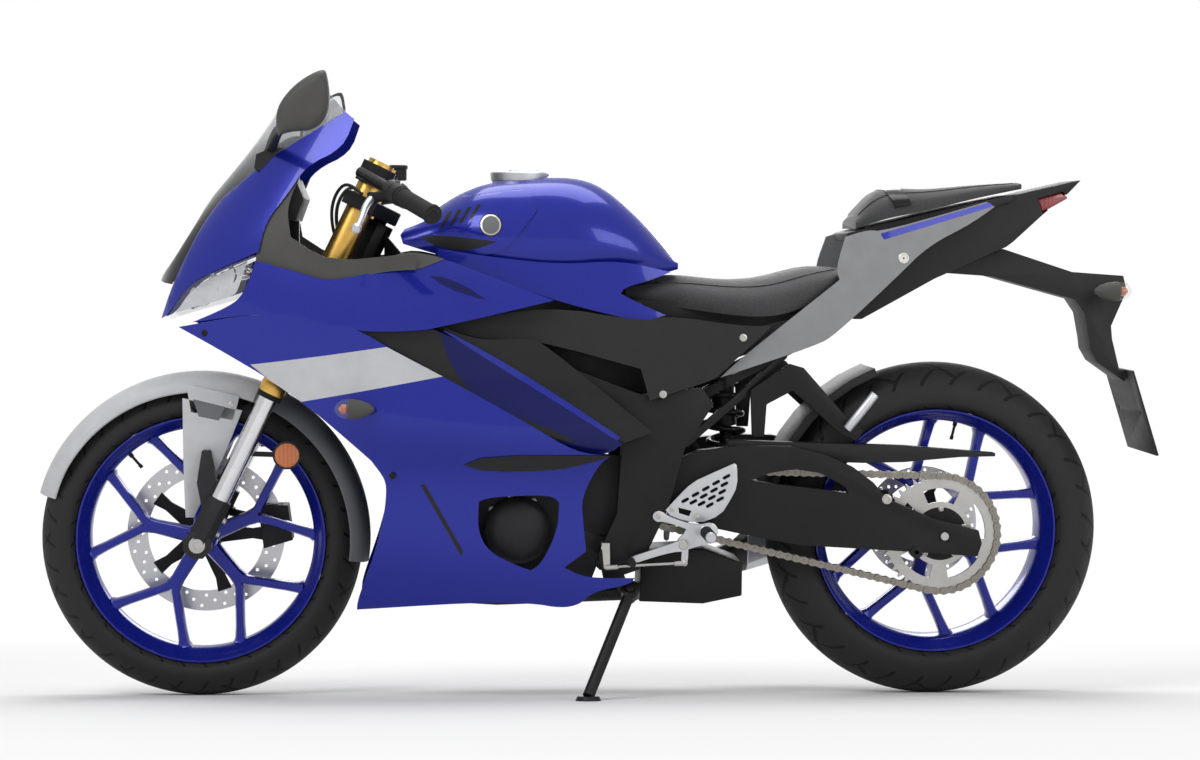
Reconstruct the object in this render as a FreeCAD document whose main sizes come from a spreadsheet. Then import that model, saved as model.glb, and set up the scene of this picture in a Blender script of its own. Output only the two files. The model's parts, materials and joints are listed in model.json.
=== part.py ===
"""Sport bike, parked on its side stand, as an assembly of separate pieces.

Lengths are in millimetres and angles in degrees. The pieces are drawn on the upright bike:
+X to the rear, +Y to the rider's right, +Z up, with the origin on the ground midway between
the axles. The whole bike is then leaned onto its stand and centred over the origin.
"""

import FreeCAD, Part
import math
import os
import Sketcher

Vector = FreeCAD.Vector
SIZES = {
    # Whole bike
    "wheelbase": 1380.0,
    "lean_angle": 8.0,
    "caster_angle": 25.5,
    "fork_offset": 40.0,
    "seat_gap": 0.3,
    "seam_gap": 0.8,
    "running_gap": 6.0,
    "pin_gap": 0.4,
    "overrun": 20.0,
    # Side view that the outlines are read from, as it stood to the bike
    "view_distance": 4500.0,
    "eye_height": 501.0,
    "view_shift": 54.0,
    # Wheels
    "front_tyre_radius": 298.0,
    "front_tyre_half_width": 54.0,
    "front_crown_radius": 52.0,
    "rear_tyre_radius": 318.0,
    "rear_tyre_half_width": 70.0,
    "rear_crown_radius": 73.0,
    "rim_flange_radius": 230.5,
    "rim_inner_radius": 207.0,
    "rim_flange_width": 5.0,
    "front_rim_half_width": 43.0,
    "rear_rim_half_width": 56.0,
    "front_spoke_branch": 112.0,
    "rear_spoke_branch": 100.0,
    "spoke_stem_width": 25.0,
    "spoke_branch_width": 17.0,
    "spoke_depth": 30.0,
    "front_hub_radius": 30.0,
    "front_hub_half_width": 45.0,
    "rear_hub_radius": 42.0,
    "rear_hub_half_width": 60.0,
    "axle_radius": 8.0,
    # Brakes and final drive
    "front_disc_radius": 149.0,
    "front_disc_thickness": 4.5,
    "front_disc_side": 57.0,
    "rear_disc_radius": 110.0,
    "rear_disc_thickness": 4.5,
    "rear_disc_side": 84.0,
    "disc_window_inner": 62.0,
    "disc_window_outer": 108.0,
    "rear_disc_window_inner": 48.0,
    "rear_disc_window_outer": 78.0,
    "caliper_width": 56.0,
    "caliper_depth": 44.0,
    "caliper_inner": 20.0,
    "caliper_outer": 34.0,
    "chain_pitch": 15.875,
    "chain_side": 95.0,
    "chain_width": 17.0,
    "chain_plate_height": 14.6,
    "chain_waist_height": 10.4,
    "roller_gap": 0.5,
    "drive_sprocket_radius": 35.8,
    "sprocket_thickness": 6.0,
    "sprocket_bore_radius": 44.0,
    # Fork and steering
    "fork_spread": 97.0,
    "fork_tube_radius": 25.0,
    "fork_leg_radius": 18.5,
    "fork_bottom_radius": 24.0,
    "fork_bottom_length": 92.0,
    "fork_leg_length": 215.0,
    "fork_tube_length": 470.0,
    "axle_boss_radius": 27.0,
    "axle_boss_width": 40.0,
    "crown_thickness": 26.0,
    "crown_half_depth": 30.0,
    "upper_crown_height": 925.0,
    "lower_crown_height": 722.0,
    "stem_radius": 14.0,
    "headstock_radius": 30.0,
    "handlebar_radius": 11.0,
    "grip_radius": 16.0,
    "grip_length": 118.0,
    "bar_end_side": 352.0,
    "bar_root_side": 118.0,
    "bar_bore_radius": 7.0,
    "bar_bore_depth": 38.0,
    "lever_radius": 6.0,
    "fender_wall": 3.0,
    "fender_half_width": 66.0,
    "fender_drop": 34.0,
    "reflector_radius": 26.0,
    "reflector_thickness": 9.0,
    # Frame, engine and running gear
    "spar_half_width": 160.0,
    "spar_width": 24.0,
    "spar_height": 62.0,
    "engine_half_width": 118.0,
    "cylinder_half_width": 104.0,
    "engine_cover_radius": 62.0,
    "engine_cover_depth": 44.0,
    "subframe_half_width": 92.0,
    "subframe_tube": 18.0,
    "cross_tube_radius": 12.0,
    "pivot_tube_radius": 15.0,
    "swingarm_outer": 134.0,
    "swingarm_width": 24.0,
    "bobbin_proud": 4.0,
    "bobbin_boss_radius": 12.0,
    "bobbin_hole_radius": 4.0,
    "bobbin_hole_depth": 20.0,
    "shock_spring_radius": 39.0,
    "shock_body_radius": 24.0,
    "shock_eye_radius": 15.0,
    "radiator_half_width": 140.0,
    "muffler_half_width": 62.0,
    "header_radius": 18.0,
    "silencer_side": 196.0,
    "silencer_radius": 52.0,
    "footrest_radius": 10.0,
    "footrest_length": 92.0,
    "heel_guard_side": 166.0,
    "plate_thickness": 5.0,
    "pedal_radius": 7.0,
    "pillion_peg_length": 84.0,
    "pillion_peg_radius": 9.0,
    "mudguard_wall": 3.5,
    "mudguard_half_width": 76.0,
    # Side stand
    "stand_tube_radius": 11.0,
    "stand_foot_radius": 24.0,
    "stand_foot_thickness": 8.0,
    "stand_pivot_radius": 8.0,
    "stand_pivot_side": 126.0,
    "stand_foot_side": 246.0,
    "stand_foot_forward": 84.0,
    # Bodywork
    "panel_wall": 3.0,
    "cowl_half_width": 205.0,
    "fairing_half_width": 226.0,
    "lamp_depth": 34.0,
    "screen_wall": 3.0,
    "tank_half_width": 142.0,
    "tank_cover_gap": 1.0,
    "seat_half_width": 122.0,
    "pillion_half_width": 92.0,
    "tail_half_width": 108.0,
    "tail_core_half_width": 82.0,
    "tail_lamp_half_width": 60.0,
    "hanger_half_width": 42.0,
    "plate_board_half_width": 95.0,
    "plate_hole_side": 70.0,
    "plate_hole_radius": 3.5,
    "filler_radius": 56.0,
    "filler_height": 9.0,
    "mirror_side": 330.0,
    "mirror_depth": 30.0,
    "indicator_radius": 19.0,
    "indicator_length": 66.0,
}
doc = FreeCAD.newDocument("sport_bike")
SUB_PARTS = []
FLAT_LIMIT = 1e-7
CROWN_DEGREES = (8.0, 24.0, 40.0, 56.0)
ROUND_SIDES = 48
HUB_SIDES = 16


def fill_sheet():
    """Writes every driving size into the spreadsheet, one aliased cell each."""
    sheet = doc.addObject("Spreadsheet::Sheet", "Sizes")
    for row, (alias, value) in enumerate(SIZES.items(), 1):
        sheet.set(f"A{row}", alias)
        sheet.set(f"B{row}", str(value))
        sheet.setAlias(f"B{row}", alias)
    doc.recompute()
    return sheet


SHEET = fill_sheet()


class Cells:
    """The sheet's cells, read by their aliases."""

    def __getattr__(self, alias):
        return float(SHEET.get(alias))


S = Cells()
VIEW_YAW = math.radians(3.8)
VIEW_SHARE = S.wheelbase / 1380.0
# The photograph's view: focal length, principal column and horizon row in pixels
FOCAL_PX = 2337.0
CENTRE_U_PX = 600.0
HORIZON_V_PX = 430.0


def on_plane(u, v, y):
    """The point of the bike that shows at pixel u, v and lies at the given y."""
    slope = (u - CENTRE_U_PX) / FOCAL_PX
    cos_yaw = math.cos(VIEW_YAW)
    sin_yaw = math.sin(VIEW_YAW)
    away = VIEW_SHARE * S.view_distance
    shift = VIEW_SHARE * S.view_shift
    x = (slope * (away + y * cos_yaw) + y * sin_yaw + shift) / (cos_yaw - slope * sin_yaw)
    depth = away + x * sin_yaw + y * cos_yaw
    z = VIEW_SHARE * S.eye_height + (HORIZON_V_PX - v) * depth / FOCAL_PX
    return Vector(x, y, z)


LEAST_MITRE = 0.35


def inset(outline, gap):
    """A pixel outline drawn in by a gap given in millimetres at the bike."""
    step = gap * FOCAL_PX / (VIEW_SHARE * S.view_distance)
    area = sum(a[0] * b[1] - b[0] * a[1] for a, b in zip(outline, outline[1:] + outline[:1]))
    turn = 1.0 if area > 0 else -1.0
    moved = []
    for before, here, after in zip(outline[-1:] + outline[:-1], outline, outline[1:] + outline[:1]):
        first = Vector(here[0] - before[0], here[1] - before[1], 0).normalize()
        second = Vector(after[0] - here[0], after[1] - here[1], 0).normalize()
        in_first = Vector(-first.y * turn, first.x * turn, 0)
        in_second = Vector(-second.y * turn, second.x * turn, 0)
        mitre = (in_first + in_second) * (step / max(1.0 + in_first.dot(in_second), LEAST_MITRE))
        moved.append((here[0] + mitre.x, here[1] + mitre.y))
    return moved


def solid_between(near, far):
    """The solid between two closed outlines with as many points each, joined by flat faces."""
    return facet_loft([near, far])


def facet_face(corners):
    return Part.Face(Part.makePolygon(corners + corners[:1]))


def facet_loft(rings):
    """A solid with flat facets through rings of as many points each, closed at both ends."""
    faces = [facet_face(rings[0]), facet_face(rings[-1])]
    for first, second in zip(rings, rings[1:]):
        for index in range(len(first)):
            after = (index + 1) % len(first)
            quad = [first[index], first[after], second[after], second[index]]
            normal = (quad[1] - quad[0]).cross(quad[2] - quad[0])
            if abs(normal.dot(quad[3] - quad[0])) < FLAT_LIMIT * normal.Length:
                faces.append(facet_face(quad))
            elif (quad[0] - quad[2]).Length < (quad[1] - quad[3]).Length:
                faces.append(facet_face(quad[:3]))
                faces.append(facet_face([quad[0], quad[2], quad[3]]))
            else:
                faces.append(facet_face([quad[0], quad[1], quad[3]]))
                faces.append(facet_face(quad[1:]))
    solid = Part.makeSolid(Part.makeShell(faces))
    if solid.Volume < 0:
        solid.reverse()
    return solid


def facet_turn(profile, axle, steps):
    """A ring about a wheel's axle in even flats, from a closed profile of side and radius."""
    rings = []
    for step in range(steps):
        angle = 2.0 * math.pi * step / steps
        out = Vector(math.cos(angle), 0, math.sin(angle))
        rings.append([axle + out * reach + Vector(0, side, 0) for side, reach in profile])
    faces = []
    for first, second in zip(rings, rings[1:] + rings[:1]):
        for index in range(len(profile)):
            after = (index + 1) % len(profile)
            faces.append(facet_face([first[index], first[after], second[after], second[index]]))
    solid = Part.makeSolid(Part.makeShell(faces))
    if solid.Volume < 0:
        solid.reverse()
    return solid


LEVEL_LIMIT = 0.8


def ring_about(centre, direction, radius, sides):
    """Points evenly round a centre, square to a direction."""
    level = Vector(0, 1, 0) if abs(direction.y) < LEVEL_LIMIT * direction.Length else Vector(1, 0, 0)
    across = direction.cross(level).normalize()
    up = direction.cross(across).normalize()
    points = []
    for index in range(sides):
        angle = 2.0 * math.pi * (index + 0.5) / sides
        points.append(centre + across * (radius * math.cos(angle)) + up * (radius * math.sin(angle)))
    return points


def post(start, end, radius, end_radius=None, sides=8):
    """A straight many-sided bar, tapered if it has a second radius."""
    along = end - start
    last = radius if end_radius is None else end_radius
    return facet_loft([ring_about(start, along, radius, sides), ring_about(end, along, last, sides)])


def faceted_pipe(points, radius, sides=8):
    """A many-sided pipe through points, mitred at its corners."""
    rings = []
    for index, point in enumerate(points):
        before = points[max(index - 1, 0)]
        after = points[min(index + 1, len(points) - 1)]
        rings.append(ring_about(point, after - before, radius, sides))
    return facet_loft(rings)


def sight_prism(outline, y_near, y_far):
    """What shows inside a pixel outline, between two planes across the bike."""
    near = [on_plane(u, v, y_near) for u, v in outline]
    far = [on_plane(u, v, y_far) for u, v in outline]
    return solid_between(near, far)


def slab(outline, y_outer, y_inner, y_drawn=None):
    """A plate or block with a side outline, square across the bike."""
    drawn = y_outer if y_drawn is None else y_drawn
    points = [on_plane(u, v, drawn) for u, v in outline]
    near = [Vector(point.x, y_outer, point.z) for point in points]
    far = [Vector(point.x, y_inner, point.z) for point in points]
    return solid_between(near, far)


def mirrored(shape):
    return shape.mirror(Vector(), Vector(0, 1, 0))


def with_mirror(shape):
    """A left piece and its right twin, as two solids that don't touch."""
    return Part.makeCompound(shape.Solids + mirrored(shape).Solids)


def rod(start, end, radius):
    return Part.makeCylinder(radius, (end - start).Length, start, end - start)


def shaped(label, shape):
    """A sub-part whose shape is worked out here from the sheet."""
    item = doc.addObject("Part::Feature", label)
    item.Label = label
    item.Shape = shape
    SUB_PARTS.append(item)
    return item


def body_named(label):
    body = doc.addObject("PartDesign::Body", label)
    body.Label = label
    SUB_PARTS.append(body)
    return body


def origin_part(body, role):
    return next(item for item in body.Origin.OriginFeatures if item.Role == role)


def sketch_on(body, name, role, offset=0.0):
    sketch = body.newObject("Sketcher::SketchObject", name)
    sketch.AttachmentSupport = [(origin_part(body, role), "")]
    sketch.MapMode = "FlatFace"
    sketch.AttachmentOffset = FreeCAD.Placement(Vector(0, 0, offset), FreeCAD.Rotation())
    return sketch


def draw_polygon(sketch, points):
    """Adds a closed outline of straight lines to a sketch."""
    corners = [Vector(x, y, 0) for x, y in points]
    for start, end in zip(corners, corners[1:] + corners[:1]):
        sketch.addGeometry(Part.LineSegment(start, end), False)


def draw_circle(sketch, expression, value):
    """Adds a circle about the sketch's origin, its radius bound to the sheet."""
    index = sketch.addGeometry(Part.Circle(Vector(), Vector(0, 0, 1), value), False)
    sketch.addConstraint(Sketcher.Constraint("Coincident", index, 3, -1, 1))
    radius = sketch.addConstraint(Sketcher.Constraint("Radius", index, value))
    sketch.setExpression(f"Constraints[{radius}]", expression)


def pad(body, sketch, name, expression, midplane=True):
    feature = body.newObject("PartDesign::Pad", name)
    feature.Profile = sketch
    feature.setExpression("Length", expression)
    feature.Midplane = midplane
    return feature


def around_axle(body, feature, name, count):
    """Repeats a feature evenly about the body's own Y axis."""
    pattern = body.newObject("PartDesign::PolarPattern", name)
    pattern.Originals = [feature]
    pattern.Axis = (origin_part(body, "Y_Axis"), [""])
    pattern.Angle = 360
    pattern.Occurrences = count
    body.Tip = pattern
    return pattern


FRONT_AXLE = Vector(-S.wheelbase / 2, 0, S.front_tyre_radius)
REAR_AXLE = Vector(S.wheelbase / 2, 0, S.rear_tyre_radius)
CASTER = math.radians(S.caster_angle)
FORK_UP = Vector(math.sin(CASTER), 0, math.cos(CASTER))
FORK_BACK = Vector(math.cos(CASTER), 0, -math.sin(CASTER))
LEAN = math.radians(S.lean_angle)
FLOOR_NORMAL = Vector(0, math.sin(LEAN), math.cos(LEAN))


def along_fork(height, back=0.0, side=0.0):
    """A point at a height on the fork's centre line, moved back square to it and sideways."""
    reach = (height - FRONT_AXLE.z) / FORK_UP.z
    return FRONT_AXLE + FORK_UP * reach + FORK_BACK * back + Vector(0, side, 0)


def on_steering_axis(height):
    return along_fork(height, 0.0) + FORK_BACK * S.fork_offset


WALL_SHARE = 0.55


# Wheels
def tyre(label, axle, radius, half_width, crown_radius, rim_half_width):
    """A tyre around the axle: a round crown in flats, sidewalls and beads on the rim."""
    foot = rim_half_width - S.rim_flange_width
    right = []
    for degrees in CROWN_DEGREES:
        angle = math.radians(degrees)
        right.append((crown_radius * math.sin(angle), radius - crown_radius * (1.0 - math.cos(angle))))
    right.append((half_width, WALL_SHARE * S.rim_flange_radius + (1.0 - WALL_SHARE) * right[-1][1]))
    right.append((foot, S.rim_flange_radius + S.seat_gap))
    profile = right + [(-y, reach) for y, reach in reversed(right)]
    return shaped(label, facet_turn(profile, axle, ROUND_SIDES))


def even_polygon(radius, sides):
    points = []
    for index in range(sides):
        angle = 2.0 * math.pi * index / sides
        points.append((radius * math.cos(angle), radius * math.sin(angle)))
    return points


def spoke_outline(direction, branch, spread, reach):
    """A Y-shaped arm: one stem out of the hub that forks into two branches to the rim."""
    along = Vector(math.cos(direction), math.sin(direction), 0)
    across = Vector(-along.y, along.x, 0)
    stem = S.spoke_stem_width / 2
    thick = S.spoke_branch_width / 2
    ends = []
    for side in (1, -1):
        angle = direction + side * spread
        tip = Vector(math.cos(angle), math.sin(angle), 0) * reach
        ends.append((tip + across * thick, tip - across * thick))
    crotch = along * (branch + S.spoke_branch_width)
    root = along * (S.axle_radius + S.spoke_branch_width)
    fork = along * (branch - S.spoke_branch_width)
    points = [root + across * stem, fork + across * stem, ends[0][0], ends[0][1], crotch]
    points += [ends[1][0], ends[1][1], fork - across * stem, root - across * stem]
    return [(point.x, point.y) for point in points]


def rim(label, axle, half_width, hub_radius, hub_half_width, first_angle, branch, spread):
    """A cast rim: hoop, hub and five forked spokes."""
    body = body_named(label)
    hoop_sketch = sketch_on(body, label + "_hoop_outline", "XZ_Plane")
    draw_polygon(hoop_sketch, even_polygon(S.rim_flange_radius, ROUND_SIDES))
    draw_polygon(hoop_sketch, even_polygon(S.rim_inner_radius, ROUND_SIDES))
    pad(body, hoop_sketch, label + "_hoop", f"2 * Sizes.{half_width}")
    spoke_sketch = sketch_on(body, label + "_spoke_outline", "XZ_Plane")
    reach = S.rim_inner_radius + S.rim_flange_width
    draw_polygon(spoke_sketch, spoke_outline(math.radians(first_angle), branch, spread, reach))
    spoke = pad(body, spoke_sketch, label + "_spoke", "Sizes.spoke_depth")
    around_axle(body, spoke, label + "_spokes", 5)
    hub_sketch = sketch_on(body, label + "_hub_outline", "XZ_Plane")
    draw_polygon(hub_sketch, even_polygon(getattr(S, hub_radius), HUB_SIDES))
    hub = pad(body, hub_sketch, label + "_hub", f"2 * Sizes.{hub_half_width}")
    body.Tip = hub
    bore_sketch = sketch_on(body, label + "_bore_outline", "XZ_Plane")
    draw_circle(bore_sketch, "Sizes.axle_radius + Sizes.pin_gap", S.axle_radius + S.pin_gap)
    bore = body.newObject("PartDesign::Pocket", label + "_bore")
    bore.Profile = bore_sketch
    bore.Midplane = True
    bore.setExpression("Length", f"2 * Sizes.{hub_half_width} + Sizes.overrun")
    body.Placement.Base = axle
    return body


WINDOW_HALF_ANGLE = 25.0
WINDOW_FOOT_SHARE = 0.6


def disc(label, axle, radius, thickness, side, window_inner, window_outer):
    """A brake disc with five windows in its carrier."""
    body = body_named(label)
    plate_sketch = sketch_on(body, label + "_outline", "XZ_Plane")
    draw_polygon(plate_sketch, even_polygon(radius, ROUND_SIDES))
    draw_circle(plate_sketch, "Sizes.axle_radius + Sizes.pin_gap", S.axle_radius + S.pin_gap)
    pad(body, plate_sketch, label + "_plate", "Sizes." + thickness)
    window_sketch = sketch_on(body, label + "_window_outline", "XZ_Plane")
    half = math.radians(WINDOW_HALF_ANGLE)
    corners = []
    for reach, angle in ((window_inner, -half * WINDOW_FOOT_SHARE), (window_outer, -half), (window_outer, half),
                         (window_inner, half * 0.6)):
        corners.append((reach * math.cos(angle), reach * math.sin(angle)))
    draw_polygon(window_sketch, corners)
    window = body.newObject("PartDesign::Pocket", label + "_window")
    window.Profile = window_sketch
    window.Midplane = True
    window.setExpression("Length", f"Sizes.{thickness} + Sizes.overrun")
    around_axle(body, window, label + "_windows", 5)
    body.Placement.Base = axle + Vector(0, side, 0)
    return body


REAR_TEETH = 43


def sprocket_radius():
    return S.chain_pitch / (2.0 * math.sin(math.pi / REAR_TEETH))


TOOTH_SHARE = 0.35


def rear_sprocket():
    """The rear chain wheel on its carrier, its teeth inside the chain's rollers."""
    body = body_named("rear_sprocket")
    sketch = sketch_on(body, "tooth_outline", "XZ_Plane")
    tip = sprocket_radius() - S.roller_gap
    root = tip - 0.5 * S.chain_plate_height
    step = 2.0 * math.pi / REAR_TEETH
    points = []
    for tooth in range(REAR_TEETH):
        for reach, share in ((tip, 0.0), (root, TOOTH_SHARE), (root, 1.0 - TOOTH_SHARE)):
            angle = (tooth + share) * step
            points.append((reach * math.cos(angle), reach * math.sin(angle)))
    draw_polygon(sketch, points)
    pad(body, sketch, "toothed_plate", "Sizes.sprocket_thickness")
    window_sketch = sketch_on(body, "sprocket_window_outline", "XZ_Plane")
    inner = S.sprocket_bore_radius + S.chain_plate_height
    outer = root - S.chain_plate_height
    corners = []
    for reach, degrees in ((inner, -14), (outer, -22), (outer, 22), (inner, 14)):
        angle = math.radians(degrees)
        corners.append((reach * math.cos(angle), reach * math.sin(angle)))
    draw_polygon(window_sketch, corners)
    window = body.newObject("PartDesign::Pocket", "sprocket_window")
    window.Profile = window_sketch
    window.Midplane = True
    window.setExpression("Length", "Sizes.sprocket_thickness + Sizes.overrun")
    around_axle(body, window, "sprocket_windows", 5)
    face = S.chain_side - S.rear_hub_half_width - S.seam_gap
    depth = face + S.sprocket_thickness / 2
    carrier_sketch = sketch_on(body, "carrier_outline", "XZ_Plane", -(depth / 2 - S.sprocket_thickness / 2))
    draw_polygon(carrier_sketch, even_polygon(S.sprocket_bore_radius, HUB_SIDES))
    pad(body, carrier_sketch, "carrier", "Sizes.chain_side - Sizes.rear_hub_half_width - Sizes.seam_gap"
        " + Sizes.sprocket_thickness / 2")
    bore_sketch = sketch_on(body, "sprocket_bore_outline", "XZ_Plane")
    draw_circle(bore_sketch, "Sizes.axle_radius + Sizes.pin_gap", S.axle_radius + S.pin_gap)
    bore = body.newObject("PartDesign::Pocket", "sprocket_bore")
    bore.Profile = bore_sketch
    bore.Midplane = True
    bore.setExpression("Length", "2 * Sizes.chain_side")
    body.Placement.Base = REAR_AXLE + Vector(0, -S.chain_side, 0)
    return body


DRIVE_CENTRE_PX = (582.0, 481.0)


def chain():
    """The closed chain: link plates as waists and bulges along its two runs and wraps."""
    front = on_plane(*DRIVE_CENTRE_PX, -S.chain_side)
    rear = REAR_AXLE
    small = S.drive_sprocket_radius
    large = sprocket_radius()
    span = Vector(rear.x - front.x, rear.z - front.z, 0)
    base = math.atan2(span.y, span.x)
    tilt = math.asin((large - small) / span.Length)
    straight = math.sqrt(span.Length ** 2 - (large - small) ** 2)
    upper = base + math.pi / 2 + tilt
    lower = base - math.pi / 2 - tilt
    front_wrap = small * (2 * math.pi - (upper - lower))
    rear_wrap = large * (upper - lower)
    length = 2 * straight + front_wrap + rear_wrap
    links = 2 * round(length / (2 * S.chain_pitch))
    engaged = math.sqrt(large * S.chain_plate_height) + S.chain_pitch

    def place(run):
        """Centre-line point, outward direction and whether teeth of the rear wheel lie inside."""
        if run < straight:
            out = Vector(math.cos(upper), math.sin(upper), 0)
            ahead = Vector(math.sin(upper), -math.cos(upper), 0)
            return Vector(front.x, front.z, 0) + out * small + ahead * run, out, run > straight - engaged
        run -= straight
        if run < rear_wrap:
            angle = upper - run / large
            out = Vector(math.cos(angle), math.sin(angle), 0)
            return Vector(rear.x, rear.z, 0) + out * large, out, True
        run -= rear_wrap
        if run < straight:
            out = Vector(math.cos(lower), math.sin(lower), 0)
            ahead = Vector(math.sin(lower), -math.cos(lower), 0)
            return Vector(rear.x, rear.z, 0) + out * large + ahead * run, out, run < engaged
        run -= straight
        angle = lower - run / small
        out = Vector(math.cos(angle), math.sin(angle), 0)
        return Vector(front.x, front.z, 0) + out * small, out, False

    outer_line = []
    inner_line = []
    for index in range(2 * links):
        centre, out, toothed = place(length * index / (2 * links))
        height = S.chain_plate_height if index % 2 == 0 else S.chain_waist_height
        outer_line.append(centre + out * (height / 2))
        inside = -S.pin_gap if toothed else height / 2
        if index % 2 == 0:
            inner_line.append(centre - out * inside)
    body = body_named("chain")
    sketch = sketch_on(body, "link_outline", "XZ_Plane")
    draw_polygon(sketch, [(point.x, point.y) for point in outer_line])
    draw_polygon(sketch, [(point.x, point.y) for point in inner_line])
    pad(body, sketch, "link_loop", "Sizes.chain_width")
    body.Placement.Base = Vector(0, -S.chain_side, 0)
    return body


def axle_rod(label, axle, half_length):
    """A wheel spindle as a plain cylinder with its radius bound to the sheet."""
    item = doc.addObject("Part::Cylinder", label)
    item.Label = label
    item.setExpression("Radius", "Sizes.axle_radius")
    item.Height = 2 * half_length
    start = axle - Vector(0, half_length, 0)
    item.Placement = FreeCAD.Placement(start, FreeCAD.Rotation(Vector(0, 0, 1), Vector(0, 1, 0)))
    SUB_PARTS.append(item)


# Fork and steering
def fork_pair(label, start, length, radius):
    """Two like tubes on the fork legs, starting at a distance above the axle."""
    shapes = []
    for side in (-S.fork_spread, S.fork_spread):
        foot = FRONT_AXLE + Vector(0, side, 0) + FORK_UP * start
        shapes.append(post(foot, foot + FORK_UP * length, radius, sides=16))
    return shaped(label, Part.makeCompound(shapes))


def fork_bottoms():
    """The black castings that clamp the axle, one at the foot of each leg."""
    shapes = []
    for side in (-1, 1):
        centre = FRONT_AXLE + Vector(0, side * S.fork_spread, 0)
        foot = post(centre, centre + FORK_UP * S.fork_bottom_length, S.fork_bottom_radius)
        half = Vector(0, S.axle_boss_width / 2, 0)
        boss = post(centre - half, centre + half, S.axle_boss_radius)
        reach = Vector(0, S.overrun + S.axle_boss_width, 0)
        bore = rod(centre - reach, centre + reach, S.axle_radius + S.seat_gap)
        leg_top = centre + FORK_UP * (S.fork_bottom_length + S.fork_leg_length)
        leg = post(centre + FORK_UP * S.fork_bottom_length, leg_top, S.fork_leg_radius + S.seat_gap, sides=16)
        shapes.append(foot.fuse([boss, fender_lug(side)]).cut([bore, leg]))
    return shaped("fork_bottoms", Part.makeCompound(shapes))


def clear_radius(radius, sides=16):
    """The corner radius of a many-sided hole whose flats clear a round bar."""
    return (radius + S.seat_gap) / math.cos(math.pi / sides)


def crown_plate(height):
    """One fork crown: a plate that clamps both tubes and the stem."""
    centre = along_fork(height)
    frame = FreeCAD.Placement(centre, FreeCAD.Rotation(Vector(0, 0, 1), FORK_UP))
    reach = S.fork_spread + S.fork_tube_radius + S.crown_half_depth / 3
    back = S.fork_offset + S.crown_half_depth
    ahead = S.fork_tube_radius + S.crown_half_depth / 3
    outline = [(-ahead, -reach), (S.fork_tube_radius, -reach), (back, -S.crown_half_depth),
               (back, S.crown_half_depth), (S.fork_tube_radius, reach), (-ahead, reach)]
    corners = [Vector(x, y, -S.crown_thickness / 2) for x, y in outline]
    plate = Part.Face(Part.makePolygon(corners + corners[:1])).extrude(Vector(0, 0, S.crown_thickness))
    plate.Placement = frame
    return plate


def fork_crowns():
    """Upper and lower crowns joined by the steering stem inside the headstock."""
    upper = crown_plate(S.upper_crown_height)
    lower = crown_plate(S.lower_crown_height)
    stem = post(on_steering_axis(S.lower_crown_height), on_steering_axis(S.upper_crown_height), S.stem_radius)
    shape = upper.fuse([lower, stem])
    for side in (-S.fork_spread, S.fork_spread):
        low = along_fork(S.lower_crown_height - S.crown_thickness * 2, 0, side)
        high = along_fork(S.upper_crown_height + S.crown_thickness * 2, 0, side)
        shape = shape.cut(post(low, high, clear_radius(S.fork_tube_radius), sides=16))
    return shaped("fork_crowns", shape)


GRIP_END_PX = (435.6, 202.1)
GRIP_ROOT_PX = (398.9, 186.8)


def bar_line():
    """The left handlebar's root and end on the bike."""
    end = on_plane(*GRIP_END_PX, -S.bar_end_side)
    root = on_plane(*GRIP_ROOT_PX, -(S.bar_end_side - S.grip_length))
    along = (root - end).normalize()
    reach = (S.bar_end_side - S.bar_root_side) / abs(along.y)
    return end + along * reach, end


def bar_clamp(root):
    """The block that grips the fork tube under the handlebar."""
    centre = along_fork(root.z, 0, -S.fork_spread)
    reach = S.fork_tube_radius + S.seat_gap
    low = centre - FORK_UP * S.crown_thickness
    collar = post(low, centre + FORK_UP * S.crown_thickness / 2, reach + S.panel_wall * 3)
    bridge = post(centre + FORK_BACK * reach, root, S.handlebar_radius)
    return collar.fuse(bridge)


def handlebars():
    """Clip-on bars, each a hollow-ended tube on its own clamp."""
    root, end = bar_line()
    shape = post(root, end, S.handlebar_radius, sides=12).fuse(bar_clamp(root))
    inward = (root - end).normalize()
    shape = shape.cut(rod(end - inward * S.overrun, end + inward * S.bar_bore_depth, S.bar_bore_radius))
    low = along_fork(root.z - S.crown_thickness * 3, 0, -S.fork_spread)
    high = low + FORK_UP * S.crown_thickness * 6
    shape = shape.cut(post(low, high, clear_radius(S.fork_tube_radius), sides=16))
    return shaped("handlebars", with_mirror(shape))


def grips():
    root, end = bar_line()
    inward = (root - end).normalize()
    start = end + inward * S.seat_gap
    sleeve = post(start, start + inward * S.grip_length, S.grip_radius, sides=12)
    core = post(end - inward * S.overrun, root, clear_radius(S.handlebar_radius, 12), sides=12)
    return shaped("grips", with_mirror(sleeve.cut(core)))


LEVER_PIVOT_PX = (376.0, 193.0)
LEVER_BALL_PX = (360.6, 216.6)
LEVER_ROOT_SHARE = 1.4
LEVER_BALL_SHARE = 1.6


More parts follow.
